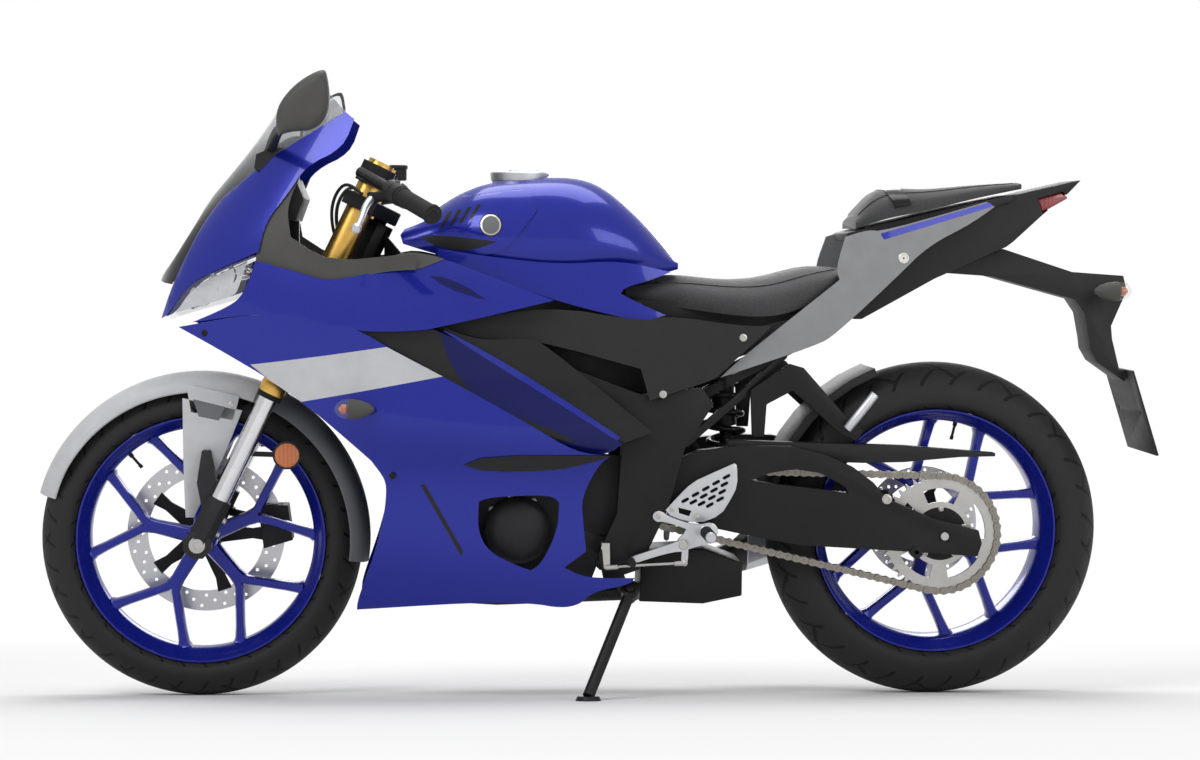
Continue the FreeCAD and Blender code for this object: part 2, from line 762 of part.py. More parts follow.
def levers():
    """Clutch and brake levers on their perches, with the switch housings."""
    root, end = bar_line()
    inward = (root - end).normalize()
    perch_end = end + inward * (S.grip_length + S.seat_gap + S.pin_gap)
    perch = post(perch_end, perch_end + inward * S.caliper_depth, S.grip_radius + S.panel_wall)
    pivot = on_plane(*LEVER_PIVOT_PX, perch_end.y + S.caliper_depth / 2)
    ball = on_plane(*LEVER_BALL_PX, -S.bar_end_side + S.overrun)
    arm = post(perch_end + inward * S.caliper_depth / 2, pivot, S.grip_radius - S.panel_wall)
    blade = post(pivot, ball, S.lever_radius * LEVER_ROOT_SHARE, S.lever_radius, sides=6)
    along = (ball - pivot).normalize() * S.lever_radius
    tip = facet_loft([ring_about(ball - along, along, S.lever_radius, 6),
                      ring_about(ball, along, S.lever_radius * LEVER_BALL_SHARE, 6),
                      ring_about(ball + along, along, S.lever_radius, 6)])
    core = post(end, root, clear_radius(S.handlebar_radius, 12), sides=12)
    return shaped("levers", with_mirror(perch.fuse([arm, blade, tip]).cut(core)))


FENDER_PLATE_PX = [(190, 396), (249, 408), (228, 460), (212, 492), (201, 514), (193, 514), (191, 470)]
FENDER_WEB_PX = [(194, 382), (246, 394), (240, 418), (198, 410)]
FENDER_DEGREES = (164, 148, 132, 116, 100, 84, 68, 52, 36, 20, 4, -8)
FENDER_ARCH_SHARES = ((-1.0, 1.0), (-0.86, 0.42), (-0.5, 0.1), (0.0, 0.0), (0.5, 0.1), (0.86, 0.42), (1.0, 1.0))


def front_fender():
    """A crowned front fender around the tyre's top, with side plates down to the fork bottoms."""
    inner = S.front_tyre_radius + 2 * S.running_gap
    half = S.fender_half_width
    rings = []
    for degrees in FENDER_DEGREES:
        angle = math.radians(degrees)
        out = Vector(math.cos(angle), 0, math.sin(angle))
        outer_line = []
        inner_line = []
        for y_share, drop_share in FENDER_ARCH_SHARES:
            y = half * y_share
            reach = inner + S.fender_wall - drop_share * S.fender_drop
            outer_line.append(FRONT_AXLE + out * reach + Vector(0, y, 0))
            inner_line.append(FRONT_AXLE + out * (reach - S.fender_wall) + Vector(0, y * 0.96, 0))
        rings.append(outer_line + inner_line[::-1])
    hoop = facet_loft(rings)
    outer_side = S.fork_spread - S.fork_tube_radius - S.seat_gap
    plate = slab(FENDER_PLATE_PX, -outer_side, -outer_side + S.fender_wall)
    web = slab(FENDER_WEB_PX, -outer_side, -half * 0.9)
    bore = post(FRONT_AXLE - Vector(0, S.fork_spread, 0), FRONT_AXLE, S.axle_boss_radius)
    left = plate.fuse(web).cut(bore)
    return shaped("front_fender", hoop.fuse([left, mirrored(left)]))


REFLECTOR_PX = (292.6, 450.6)


def fork_reflectors():
    """Round reflectors on short stays behind the fork legs."""
    side = S.fork_spread
    centre = on_plane(*REFLECTOR_PX, -side - S.reflector_thickness)
    lens = post(centre, centre + Vector(0, S.reflector_thickness, 0), S.reflector_radius, sides=16)
    seat = along_fork(centre.z + S.overrun / 2, 0, -side) + FORK_BACK * (S.fork_leg_radius + S.seat_gap)
    reach = Vector(0, S.panel_wall, 0)
    low = FORK_UP * (S.overrun / 4)
    start = Vector(centre.x, -side - S.panel_wall, centre.z)
    foot = Vector(seat.x, start.y, seat.z)
    near = [start - low, start + low, foot + low, foot - low]
    stay = facet_loft([near, [point + reach * 2 for point in near]])
    return shaped("fork_reflectors", with_mirror(lens.fuse(stay)))


CALIPER_DEGREES = 8.0
CALIPER_HEIGHT_SHARE = 0.75


def front_caliper():
    """The front caliper behind the right leg, closed past the disc's rim and open towards the hub."""
    centre = FRONT_AXLE + Vector(0, S.front_disc_side, 0)
    angle = math.radians(CALIPER_DEGREES)
    out = Vector(math.cos(angle), 0, math.sin(angle))
    up = Vector(-out.z, 0, out.x)

    def block(inner, outer, half_height, left, right):
        corners = ((inner, -1.0), (outer, -0.8), (outer, 0.8), (inner, 1.0))
        near = [centre + out * reach + up * (share * half_height) for reach, share in corners]
        return solid_between([point + Vector(0, left, 0) for point in near],
                             [point + Vector(0, right, 0) for point in near])

    rim_reach = S.front_disc_radius + S.running_gap / 2
    half_gap = S.front_disc_thickness / 2 + S.running_gap / 2
    half_height = S.caliper_width * CALIPER_HEIGHT_SHARE
    body = block(S.front_disc_radius - S.caliper_depth, rim_reach + S.panel_wall * 3, half_height,
                 -S.caliper_inner, S.caliper_outer)
    slot = block(S.front_disc_radius - 2 * S.caliper_depth, rim_reach, half_height * 2, -half_gap, half_gap)
    middle = centre + out * (S.front_disc_radius - S.caliper_depth / 2)
    leg = FRONT_AXLE + Vector(0, S.fork_spread, 0) + FORK_UP * S.fork_bottom_length / 2
    lug = post(middle + Vector(0, S.caliper_outer / 2 + half_gap, 0), leg, S.axle_radius)
    clear = post(leg - FORK_UP * S.fork_bottom_length, leg + FORK_UP * S.fork_bottom_length,
                 S.fork_bottom_radius + S.seam_gap)
    boss = post(FRONT_AXLE, FRONT_AXLE + Vector(0, 2 * S.fork_spread, 0), S.axle_boss_radius + S.seam_gap)
    return shaped("front_caliper", body.cut(slot).fuse(lug).cut([clear, boss]))


COWL_STAY_PX = (300.0, 164.0)
NOSE_SHARES = [
    ((166, 340), (420, 340), [(0, 0), (0.05, 0.28), (0.16, 0.50), (0.38, 0.80), (0.65, 0.95), (1, 1.0)]),
    ((164, 316), (420, 312), [(0, 0), (0.04, 0.26), (0.14, 0.50), (0.38, 0.82), (0.65, 0.97), (1, 1.0)]),
    ((170, 282), (420, 268), [(0, 0), (0.04, 0.28), (0.15, 0.55), (0.40, 0.86), (0.70, 0.97), (1, 0.98)]),
    ((215, 208), (430, 200), [(0, 0), (0.06, 0.36), (0.20, 0.62), (0.45, 0.84), (0.75, 0.92), (1, 0.90)]),
    ((262, 150), (440, 140), [(0, 0), (0.08, 0.36), (0.26, 0.60), (0.50, 0.74), (0.75, 0.78), (1, 0.76)]),
    ((300, 92), (460, 92), [(0, 0), (0.10, 0.30), (0.30, 0.48), (0.55, 0.58), (0.80, 0.60), (1, 0.60)]),
]
LUG_SHARE = 0.75


def cowl_stay():
    """The stay ahead of the headstock: it carries the dials, and its bar ends hold the cowl and mirrors."""
    root = (on_steering_axis(S.lower_crown_height) + on_steering_axis(S.upper_crown_height)) * 0.5
    nose = on_plane(*COWL_STAY_PX, 0)
    knee = Vector(nose.x, 0, root.z)
    half = S.cross_tube_radius * LUG_SHARE
    rings = []
    for point, drop in ((root, Vector(0, 0, half)), (knee, Vector(half, 0, half)), (nose, Vector(half, 0, 0))):
        rings.append([point + Vector(0, -half, 0) + drop, point + Vector(0, half, 0) + drop,
                      point + Vector(0, half, 0) - drop, point + Vector(0, -half, 0) - drop])
    bar = post(nose - Vector(0, S.cowl_half_width, 0), nose + Vector(0, S.cowl_half_width, 0), half, sides=6)
    cowl = skin(NOSE_SHARES, S.cowl_half_width, S.panel_wall + S.seat_gap)
    inner = bar.cut([cowl, mirrored(cowl)])
    inner = min(inner.Solids, key=lambda solid: abs(solid.CenterOfMass.y))
    return [facet_loft(rings), inner]


def rail_between(route_px, side_shares):
    """A square tube of the left subframe, bent through pixel points."""
    half = S.subframe_tube / 2
    rings = []
    for (u, v), share in zip(route_px, side_shares):
        centre = on_plane(u, v, 0)
        y = -share * S.subframe_half_width
        rings.append([Vector(centre.x, y - half, centre.z - half), Vector(centre.x, y + half, centre.z - half),
                      Vector(centre.x, y + half, centre.z + half), Vector(centre.x, y - half, centre.z + half)])
    return facet_loft(rings)


STAND_TAB_PX = (615.0, 566.0)


def stand_lug():
    """The side stand's pivot pin and the lug that holds it under the frame's lower tube."""
    pivot = stand_pivot()
    inward = stand_axis() * (1.0 if stand_axis().y > 0 else -1.0)
    eye_half = S.stand_tube_radius
    pin_end = pivot + inward * (eye_half + S.seat_gap + S.cross_tube_radius * 2)
    pin = rod(pivot - inward * (eye_half + S.plate_thickness), pin_end, S.stand_pivot_radius)
    root = on_plane(*STAND_TAB_PX, pin_end.y + S.plate_thickness * 2)
    return [pin.fuse(post(pin_end, root, S.cross_tube_radius))]


# Frame and engine
SPAR_PX = [(388, 258), (424, 298), (468, 334), (540, 366), (652, 412)]
SPAR_SIDE_SHARES = (0.06, 0.5, 0.9, 1.0, 1.0)
SPAR_HEIGHT_SHARES = (1.3, 1.1, 0.9, 0.8, 1.0)


def frame_spar():
    """The left spar: from the headstock it runs back and outwards to the pivot plate."""
    rings = []
    half = S.spar_width / 2
    for (u, v), side_share, height in zip(SPAR_PX, SPAR_SIDE_SHARES, SPAR_HEIGHT_SHARES):
        centre = on_plane(u, v, 0)
        y = -side_share * (S.spar_half_width - half)
        tall = height * S.spar_height / 2
        rings.append([Vector(centre.x, y - half, centre.z - tall), Vector(centre.x, y + half, centre.z - tall),
                      Vector(centre.x, y + half, centre.z + tall), Vector(centre.x, y - half, centre.z + tall)])
    return facet_loft(rings)


PIVOT_PLATE_PX = [(596, 392), (652, 386), (700, 380), (712, 396), (684, 440), (668, 500), (640, 560), (606, 572),
                  (600, 545), (618, 505), (622, 440)]
RAIL_PX = [(690, 394), (800, 336), (866, 286)]
RAIL_SIDE_SHARES = (1.0, 0.94, 0.9)
STAY_PX = [(678, 434), (742, 382), (776, 350)]
STAY_SIDE_SHARES = (1.6, 1.08, 0.98)
SHOCK_TUBE_PX = (716.0, 356.0)
HEAD_SIDES = 10
GUSSET_PX = (718.0, 384.0)
SWINGARM_PIVOT_PX = (639.9, 482.8)


def frame():
    """The welded frame: headstock, two spars with pivot plates, subframe rails and cross tubes."""
    clear = FORK_UP * (S.crown_thickness / 2 + S.running_gap)
    low = on_steering_axis(S.lower_crown_height) + clear
    high = on_steering_axis(S.upper_crown_height) - clear
    head = post(low, high, S.headstock_radius, sides=HEAD_SIDES)
    outer = S.spar_half_width
    plate = slab(PIVOT_PLATE_PX, -outer, -outer + S.spar_width)
    rail = rail_between(RAIL_PX, RAIL_SIDE_SHARES)
    stay = rail_between(STAY_PX, STAY_SIDE_SHARES)
    shock_end = on_plane(*SHOCK_TUBE_PX, 0) - Vector(0, S.subframe_half_width, 0)
    gusset = post(shock_end, on_plane(*GUSSET_PX, 0) - Vector(0, S.subframe_half_width, 0), S.cross_tube_radius, sides=6)
    pieces = []
    for half in (frame_spar(), plate, rail, stay, gusset):
        pieces += [half, mirrored(half)]
    tubes = ((*SWINGARM_PIVOT_PX, outer, S.pivot_tube_radius), (*SHOCK_TUBE_PX, S.subframe_half_width, S.cross_tube_radius),
             (615, 566, outer - S.spar_width / 2, S.cross_tube_radius),
             (836.5, 302, S.subframe_half_width * 0.9, S.cross_tube_radius))
    for u, v, reach, radius in tubes:
        centre = on_plane(u, v, 0)
        half = Vector(0, reach, 0)
        pieces.append(post(centre - half, centre + half, radius, sides=12 if radius == S.pivot_tube_radius else 8))
    pieces += stand_lug() + cowl_stay()
    shape = head.fuse(pieces)
    bore = (S.stem_radius + S.pin_gap) / math.cos(math.pi / HEAD_SIDES)
    shape = shape.cut(post(low - FORK_UP * S.overrun, high + FORK_UP * S.overrun, bore, sides=HEAD_SIDES))
    return shaped("frame", shape)


ENGINE_LUG_PX = [(540, 379), (599, 552)]


def engine_lugs():
    """Lugs that bolt the engine between the frame's plates and spars."""
    lugs = []
    for u, v in ENGINE_LUG_PX:
        centre = on_plane(u, v, 0)
        reach = Vector(0, S.spar_half_width - S.spar_width - S.seat_gap * 2, 0)
        lugs.append(post(centre - reach, centre + reach, S.cross_tube_radius))
    return lugs


ENGINE_PX = [(428, 478), (432, 440), (470, 412), (500, 400), (548, 440), (598, 452), (608, 500), (598, 545),
             (588, 572), (470, 576), (436, 556)]
CYLINDER_PX = [(448, 352), (506, 346), (560, 402), (540, 436), (452, 442), (426, 424)]
CHAIN_ROOM_PX = [(552, 452), (640, 450), (640, 540), (560, 515)]


def engine():
    """The engine as one plain block: crankcase with the cylinders leaning ahead."""
    crankcase = slab(ENGINE_PX, -S.engine_half_width, S.engine_half_width, 0)
    cylinders = slab(CYLINDER_PX, -S.cylinder_half_width, S.cylinder_half_width, 0)
    chain_room = slab(CHAIN_ROOM_PX, -S.engine_half_width - S.overrun, -S.chain_side + S.chain_width, -S.chain_side)
    return shaped("engine", crankcase.fuse([cylinders] + engine_lugs()).cut(chain_room))


COVER_CENTRE_PX = (520.0, 522.0)
COVER_SHARES_OUT = ((0.0, 1.0), (0.6, 1.0), (0.85, 0.88), (1.0, 0.66))


def engine_covers():
    """The round magneto and clutch covers on the crankcase's sides."""
    centre = on_plane(*COVER_CENTRE_PX, -S.engine_half_width - S.seat_gap)
    across = Vector(0, -1, 0)
    rings = []
    for depth_share, radius_share in COVER_SHARES_OUT:
        middle = centre + across * (S.engine_cover_depth * depth_share)
        rings.append(ring_about(middle, across, S.engine_cover_radius * radius_share, 16))
    return shaped("engine_covers", with_mirror(facet_loft(rings)))


RADIATOR_PX = [(362, 342), (379, 338), (405, 430), (388, 436)]
RADIATOR_STAY_PX = [(380, 350), (421, 300)]
STAY_START_SHARE = 0.6
STAY_END_SHARE = 0.52


def radiator():
    """The radiator, hung on two stays under the spars."""
    core = slab(RADIATOR_PX, -S.radiator_half_width, S.radiator_half_width, 0)
    spar = frame_spar()
    start = on_plane(*RADIATOR_STAY_PX[0], -S.radiator_half_width * STAY_START_SHARE)
    end = on_plane(*RADIATOR_STAY_PX[1], -S.radiator_half_width * STAY_END_SHARE)
    stay = post(start, end, S.pedal_radius).cut(spar)
    stay = min(stay.Solids, key=lambda solid: solid.CenterOfMass.distanceToPoint(start))
    return shaped("radiator", core.fuse([stay, mirrored(stay)]))


MUFFLER_PX = [(640, 545), (700, 542), (738, 556), (738, 588), (700, 596), (638, 594)]
HEADER_PX = [(431, 420), (416, 436), (407, 462), (405, 500), (407, 562), (426, 590), (500, 594), (645, 588)]
SILENCER_SHARES = ((0.36, 0.25, 0.74, 0.45), (0.46, 0.62, 0.76, 0.62), (0.52, 0.92, 0.80, 0.9), (0.6, 1.0, 0.86, 1.0),
                   (0.82, 1.06, 1.02, 1.0), (0.85, 1.07, 1.04, 0.8))


def exhaust():
    """Header pipe under the engine into a collector box, then the silencer on the right."""
    box = slab(MUFFLER_PX, -S.muffler_half_width, S.muffler_half_width, 0)
    pipe = faceted_pipe([on_plane(u, v, 0) for u, v in HEADER_PX], S.header_radius)
    rings = []
    for x_share, y_share, z_share, radius_share in SILENCER_SHARES:
        centre = Vector(x_share * S.wheelbase / 2, y_share * S.silencer_side, z_share * S.rear_tyre_radius)
        rings.append(ring_about(centre, Vector(1, 0, 0), radius_share * S.silencer_radius, 10))
    shape = box.fuse([pipe, facet_loft(rings)])
    cylinders = slab(CYLINDER_PX, -S.cylinder_half_width, S.cylinder_half_width, 0)
    crankcase = slab(ENGINE_PX, -S.engine_half_width, S.engine_half_width, 0)
    return shaped("exhaust", shape.cut([cylinders, crankcase]))


SWINGARM_PX = [(622, 484), (632, 468), (655, 462), (698, 443), (740, 438), (788, 438.7), (820, 446), (850, 459),
               (870, 474), (884, 490), (930, 510), (974.7, 521.4), (978, 534), (974, 547), (916, 543),
               (799, 536.4), (760, 529.5), (710, 519), (660, 502), (632, 498)]
ARM_WINDOW_PX = [(748, 473), (768, 465), (792.5, 461), (818, 465), (842, 478), (846, 485), (824.7, 482), (780, 477)]
BOBBIN_PX = (914.0, 543.0)
BRIDGE_PX = [(692, 478), (756, 478), (757.6, 500), (692, 500)]


def swingarm():
    """Two braced arms, a bridge ahead of the wheel and bores for the pivot and the axle."""
    outer = S.swingarm_outer
    arm = slab(SWINGARM_PX, -outer, -outer + S.swingarm_width)
    window = slab(ARM_WINDOW_PX, -outer - S.overrun, -outer + S.swingarm_width + S.overrun, -outer)
    bobbin = on_plane(*BOBBIN_PX, -outer - S.bobbin_proud)
    boss = post(bobbin, bobbin + Vector(0, S.swingarm_width, 0), S.bobbin_boss_radius)
    hole = rod(bobbin - Vector(0, S.overrun, 0), bobbin + Vector(0, S.bobbin_hole_depth, 0), S.bobbin_hole_radius)
    arm = arm.cut(window).fuse(boss).cut(hole)
    bridge = slab(BRIDGE_PX, -outer + S.swingarm_width / 2, outer - S.swingarm_width / 2, 0)
    pivot = on_plane(*SWINGARM_PIVOT_PX, 0)
    reach = Vector(0, outer * 2, 0)
    bores = [post(pivot - reach, pivot + reach, clear_radius(S.pivot_tube_radius, 12), sides=12),
             rod(REAR_AXLE - reach, REAR_AXLE + reach, S.axle_radius + S.seat_gap)]
    return shaped("swingarm", arm.fuse([mirrored(arm), bridge]).cut(bores))


BOARD_PX = [(1108.1, 366.6), (1110, 366), (1136, 447.7), (1134.1, 448.3)]


def plate_face():
    """A point in the middle of the plate board's face, and the way it looks."""
    top = on_plane(*BOARD_PX[1], 0)
    foot = on_plane(*BOARD_PX[2], 0)
    down = foot - top
    return (top + foot) * 0.5, Vector(-down.z, 0, down.x).normalize()


FENDER_LUG_PX = [(228, 498), (222, 472), (217, 447), (209, 447), (204, 478), (209, 504)]


def fender_lug(side):
    """A lug on the fork bottom that the fender's side plate bolts to."""
    inner = S.fork_spread - S.fork_tube_radius
    lug = slab(FENDER_LUG_PX, -S.fork_spread, -inner)
    return lug if side < 0 else mirrored(lug)


SHOCK_TOP_PX = (718.0, 362.1)
SHOCK_FOOT_PX = (728.0, 476.9)


def shock_absorber():
    """The single shock between the frame's cross tube and the swingarm's bridge."""
    top = on_plane(*SHOCK_TOP_PX, 0)
    foot = on_plane(*SHOCK_FOOT_PX, 0)
    along = (foot - top).normalize()
    spring = post(top + along * S.shock_body_radius, foot - along * S.shock_body_radius * 2, S.shock_spring_radius, sides=16)
    body = post(top, foot, S.shock_eye_radius)
    return shaped("shock_absorber", spring.fuse(body))


GUARD_PX = [(726, 434), (900, 438.7), (989.7, 445.6), (989.7, 449), (955, 449.8), (900, 455), (860, 456), (726, 452)]


def chain_guard():
    inner = S.swingarm_outer - S.swingarm_width - S.seat_gap
    return shaped("chain_guard", slab(GUARD_PX, -inner, -inner + S.swingarm_width))


MUDGUARD_DEGREES = (112, 121, 130, 139, 148, 157, 166, 173)


def rear_mudguard():
    """The inner mudguard that follows the rear tyre's front quarter."""
    inner = S.rear_tyre_radius + 2 * S.running_gap
    outer = inner + S.mudguard_wall
    half = S.mudguard_half_width
    lip = inner - S.running_gap * 2
    thin = half - S.mudguard_wall
    profile = [(-half, lip), (-half, outer), (half, outer), (half, lip), (thin, lip), (thin, inner),
               (-thin, inner), (-thin, lip)]
    rings = []
    for degrees in MUDGUARD_DEGREES:
        angle = math.radians(degrees)
        out = Vector(math.cos(angle), 0, math.sin(angle))
        rings.append([REAR_AXLE + out * reach + Vector(0, side, 0) for side, reach in profile])
    return shaped("rear_mudguard", facet_loft(rings))


REAR_CALIPER_ANGLE = 158.0


def rear_caliper():
    """The rear caliper on the right arm, open over the disc."""
    disc_centre = REAR_AXLE + Vector(0, S.rear_disc_side, 0)
    angle = math.radians(REAR_CALIPER_ANGLE)
    middle = disc_centre + Vector(math.cos(angle), 0, math.sin(angle)) * (S.rear_disc_radius - S.caliper_depth / 3)
    inner_face = S.swingarm_outer - S.swingarm_width - S.seat_gap
    deep = inner_face - S.rear_disc_side + S.caliper_depth / 3
    block = Part.makeBox(S.caliper_depth, deep, S.caliper_width)
    block.translate(Vector(middle.x - S.caliper_depth / 2, inner_face - deep, middle.z - S.caliper_width / 2))
    slot_half = S.rear_disc_thickness / 2 + S.running_gap / 2
    slot = Part.makeCylinder(S.rear_disc_radius + S.running_gap, 2 * slot_half,
                             disc_centre - Vector(0, slot_half, 0), Vector(0, 1, 0))
    return shaped("rear_caliper", block.cut(slot))


HEEL_GUARD_PX = [(665.8, 500.7), (691.5, 473), (734, 454), (736.3, 476.6), (720.2, 505.3), (698.4, 514),
                 (672, 512)]
GUARD_LOBE_PX = [(690, 508), (716, 506), (722, 528), (700, 536), (676, 530), (650, 512), (656, 498), (676, 504)]


def footrest_brackets():
    """Light alloy brackets with the heel guards, outside the frame's pivot plates."""
    outer = S.heel_guard_side
    plate = slab(HEEL_GUARD_PX, -outer, -outer + S.plate_thickness)
    lobe = slab(GUARD_LOBE_PX,
                -outer, -outer + S.plate_thickness)
    return shaped("footrest_brackets", with_mirror(plate.fuse(lobe)))


FOOTREST_PX = (705.3, 521.4)
SHIFT_PIVOT_PX = (683.5, 534.7)
SHIFT_TOE_PX = (631.8, 550.0)


def foot_controls():
    """Rider footrests with the shift lever on the left and the brake pedal on the right."""
    outer = S.heel_guard_side + S.seat_gap
    mount = on_plane(*FOOTREST_PX, -outer)
    peg = post(mount, mount - Vector(0, S.footrest_length, 0), S.footrest_radius)
    pivot = on_plane(*SHIFT_PIVOT_PX, -outer - S.pedal_radius)
    toe = on_plane(*SHIFT_TOE_PX, -outer - S.pedal_radius)
    lever = post(pivot, toe, S.pedal_radius, sides=6)
    pad_end = toe - Vector(0, S.footrest_length / 2, 0)
    toe_peg = post(toe, pad_end, S.pedal_radius)
    link = post(mount - Vector(0, S.pedal_radius, 0), pivot, S.pedal_radius, sides=6)
    return shaped("foot_controls", with_mirror(peg.fuse([lever, toe_peg, link])))


def pillion_bracket_side():
    return S.subframe_half_width + S.subframe_tube


PILLION_BRACKET_PX = [(786, 358), (800, 362), (846, 414), (860, 424), (852, 434), (836, 426), (790, 384),
                      (764, 398), (762, 430), (750, 430), (748, 384)]


def pillion_brackets():
    """Open forged brackets that carry the pillion footrests."""
    outer = pillion_bracket_side() + S.seat_gap + S.plate_thickness * 2
    plate = slab(PILLION_BRACKET_PX, -outer, -outer + S.plate_thickness * 2)
    return shaped("pillion_brackets", with_mirror(plate))


PILLION_PIVOT_PX = (843.0, 422.0)
PILLION_TIP_PX = (872.9, 383.6)


def pillion_footrest(label, side):
    """A folding footrest, folded up along its bracket."""
    outer = pillion_bracket_side() + S.plate_thickness * 2 + 2 * S.seat_gap
    pivot = on_plane(*PILLION_PIVOT_PX, -outer - S.pillion_peg_radius)
    tip = on_plane(*PILLION_TIP_PX, -outer - S.pillion_peg_radius)
    along = (tip - pivot).normalize()
    peg = post(pivot, pivot + along * S.pillion_peg_length, S.pillion_peg_radius)
    shape = peg if side < 0 else mirrored(peg)
    return shaped(label, shape)


STAND_PIVOT_PX = (632.0, 583.0)


def stand_pivot():
    return on_plane(*STAND_PIVOT_PX, -S.stand_pivot_side)


def stand_foot():
    """The middle of the foot's sole, on the floor that the leaning bike stands on."""
    pivot = stand_pivot()
    y = -S.stand_foot_side
    lift = S.rear_crown_radius * (1.0 - math.cos(LEAN))
    return Vector(pivot.x - S.stand_foot_forward, y, -y * math.tan(LEAN) - lift / math.cos(LEAN))


STAND_FOLDED_PX = (749.0, 574.0)


def stand_axis():
    """The stand's hinge line: square to the lowered leg and to the folded one."""
    pivot = stand_pivot()
    folded = on_plane(*STAND_FOLDED_PX, -S.stand_pivot_side - S.plate_thickness * 3) - pivot
    lowered = stand_foot() - pivot
    return lowered.cross(folded).normalize()


STAND_ANKLE_SHARE = 0.85
STAND_EYE_SHARE = 1.6


def side_stand():
    pivot = stand_pivot()
    sole = stand_foot()
    ankle = sole + FLOOR_NORMAL * S.stand_foot_thickness
    leg = post(pivot, ankle, S.stand_tube_radius, sides=10)
    foot = post(sole, ankle, S.stand_foot_radius, S.stand_foot_radius * STAND_ANKLE_SHARE, sides=12)
    half = stand_axis() * S.stand_tube_radius
    eye = post(pivot - half, pivot + half, S.stand_tube_radius * STAND_EYE_SHARE, sides=12)
    bore = rod(pivot - half * 3, pivot + half * 3, S.stand_pivot_radius + S.pin_gap)
    below = post(sole - FLOOR_NORMAL * S.overrun, sole, S.stand_foot_radius * 2)
    return shaped("side_stand", leg.fuse([foot, eye]).cut([bore, below]))


# Bodywork
def band(front, rear, width_shares, half_width, wall, count):
    """A closed strip, flat in the plane through two centre points: a skin's section."""
    along = rear - front
    direction = along * (1.0 / along.Length)
    curve = Part.BSplineCurve()
    curve.interpolate([Vector(a * along.Length, w * half_width, 0) for a, w in width_shares])
    outer = curve.discretize(Number=count)
    inner = []
    for index, point in enumerate(outer):
        run = (outer[min(index + 1, count - 1)] - outer[max(index - 1, 0)]).normalize()
        if index == 0 and point.y < S.seat_gap:
            run = Vector(0, 1, 0)
        inner.append(point + Vector(run.y, -run.x, 0) * wall)
    ring = outer + inner[::-1]
    return [front + direction * point.x - Vector(0, point.y, 0) for point in ring]


def skin(rows, half_width, wall, count=9):
    """Half of a bodywork skin, lofted in flat facets between its rows."""
    rings = []
    for front_px, rear_px, shares in rows:
        rings.append(band(on_plane(*front_px, 0), on_plane(*rear_px, 0), shares, half_width, wall, count))
    return facet_loft(rings)


COWL_PX = [(169.6, 318.9), (180.5, 284.2), (204.3, 234.3), (228.2, 199.6), (249.8, 182.3), (275.9, 158.4),
           (349.6, 112.9), (358.3, 119.4), (347.4, 146.8), (311.5, 164.4), (295.4, 188.8), (271.5, 219),
           (265, 247.3), (260.7, 249.5), (210.8, 273.3), (193.5, 286.3), (176.1, 314.5)]


def front_cowl():
    half = skin(NOSE_SHARES, S.cowl_half_width, S.panel_wall)
    left = half.common(sight_prism(inset(COWL_PX, S.seam_gap / 2), -S.fairing_half_width, S.overrun))
    return shaped("front_cowl", left.fuse(mirrored(left)))


SCREEN_PX = [(168, 284), (215.1, 207), (260.7, 150), (278, 118), (334.4, 97), (349.6, 112.9), (275.9, 158.4),
             (249.8, 182.3), (228.2, 199.6), (204.3, 234.3), (180.5, 284.2)]


def windscreen():
    half = skin(NOSE_SHARES, S.cowl_half_width, S.screen_wall)
    left = half.common(sight_prism(inset(SCREEN_PX, S.seam_gap / 2), -S.fairing_half_width, S.overrun))
    return shaped("windscreen", left.fuse(mirrored(left)))


LAMP_PX = [(176.1, 316), (193.5, 286.5), (213, 272.5), (262, 250.5), (250, 289), (243, 296.5), (200, 309.5),
           (180, 318)]


def headlights():
    half = skin(NOSE_SHARES, S.cowl_half_width, S.lamp_depth)
    left = half.common(sight_prism(inset(LAMP_PX, S.seam_gap / 2), -S.fairing_half_width, S.overrun))
    return shaped("headlights", with_mirror(left))


SIDE_SHARES = [
    ((150, 236), (640, 288), [(0, 0.40), (0.2, 0.74), (0.4, 0.80), (0.6, 0.76), (0.8, 0.70), (1, 0.66)]),
    ((150, 316), (660, 316), [(0, 0.36), (0.2, 0.82), (0.4, 0.96), (0.6, 0.98), (0.8, 0.90), (1, 0.82)]),
    ((150, 366), (660, 372), [(0, 0.42), (0.2, 0.80), (0.4, 0.98), (0.6, 1.00), (0.8, 0.93), (1, 0.84)]),
    ((330, 441), (660, 446), [(0, 0.86), (0.2, 0.95), (0.4, 0.99), (0.6, 0.98), (0.8, 0.92), (1, 0.86)]),
    ((330, 458), (660, 458), [(0, 0.80), (0.2, 0.88), (0.4, 0.92), (0.6, 0.91), (0.8, 0.86), (1, 0.82)]),
    ((330, 530), (660, 530), [(0, 0.72), (0.2, 0.82), (0.4, 0.88), (0.6, 0.88), (0.8, 0.84), (1, 0.80)]),
    ((330, 604), (660, 604), [(0, 0.50), (0.2, 0.60), (0.4, 0.68), (0.6, 0.72), (0.8, 0.74), (1, 0.74)]),
]


def side_panel(outline, wall, inward=0.0):
    """Part of the side skin inside a pixel outline, with a step inward where it is recessed."""
    half = skin(SIDE_SHARES, S.fairing_half_width - inward, wall)
    return half.common(sight_prism(inset(outline, S.seam_gap / 2), -2 * S.fairing_half_width, 0))


UPPER_FAIRING_PX = [(200, 318), (236, 301), (250, 289), (262, 256), (306, 267), (328, 274), (349, 272.5),
                    (391, 263), (440, 255.5), (446, 256.5), (554, 293.2), (443, 318), (422, 322), (367, 323.3),
                    (348.7, 318), (296.4, 308.9), (254.6, 307.6)]


def upper_fairings():
    return shaped("upper_fairings", with_mirror(side_panel(UPPER_FAIRING_PX, S.panel_wall)))


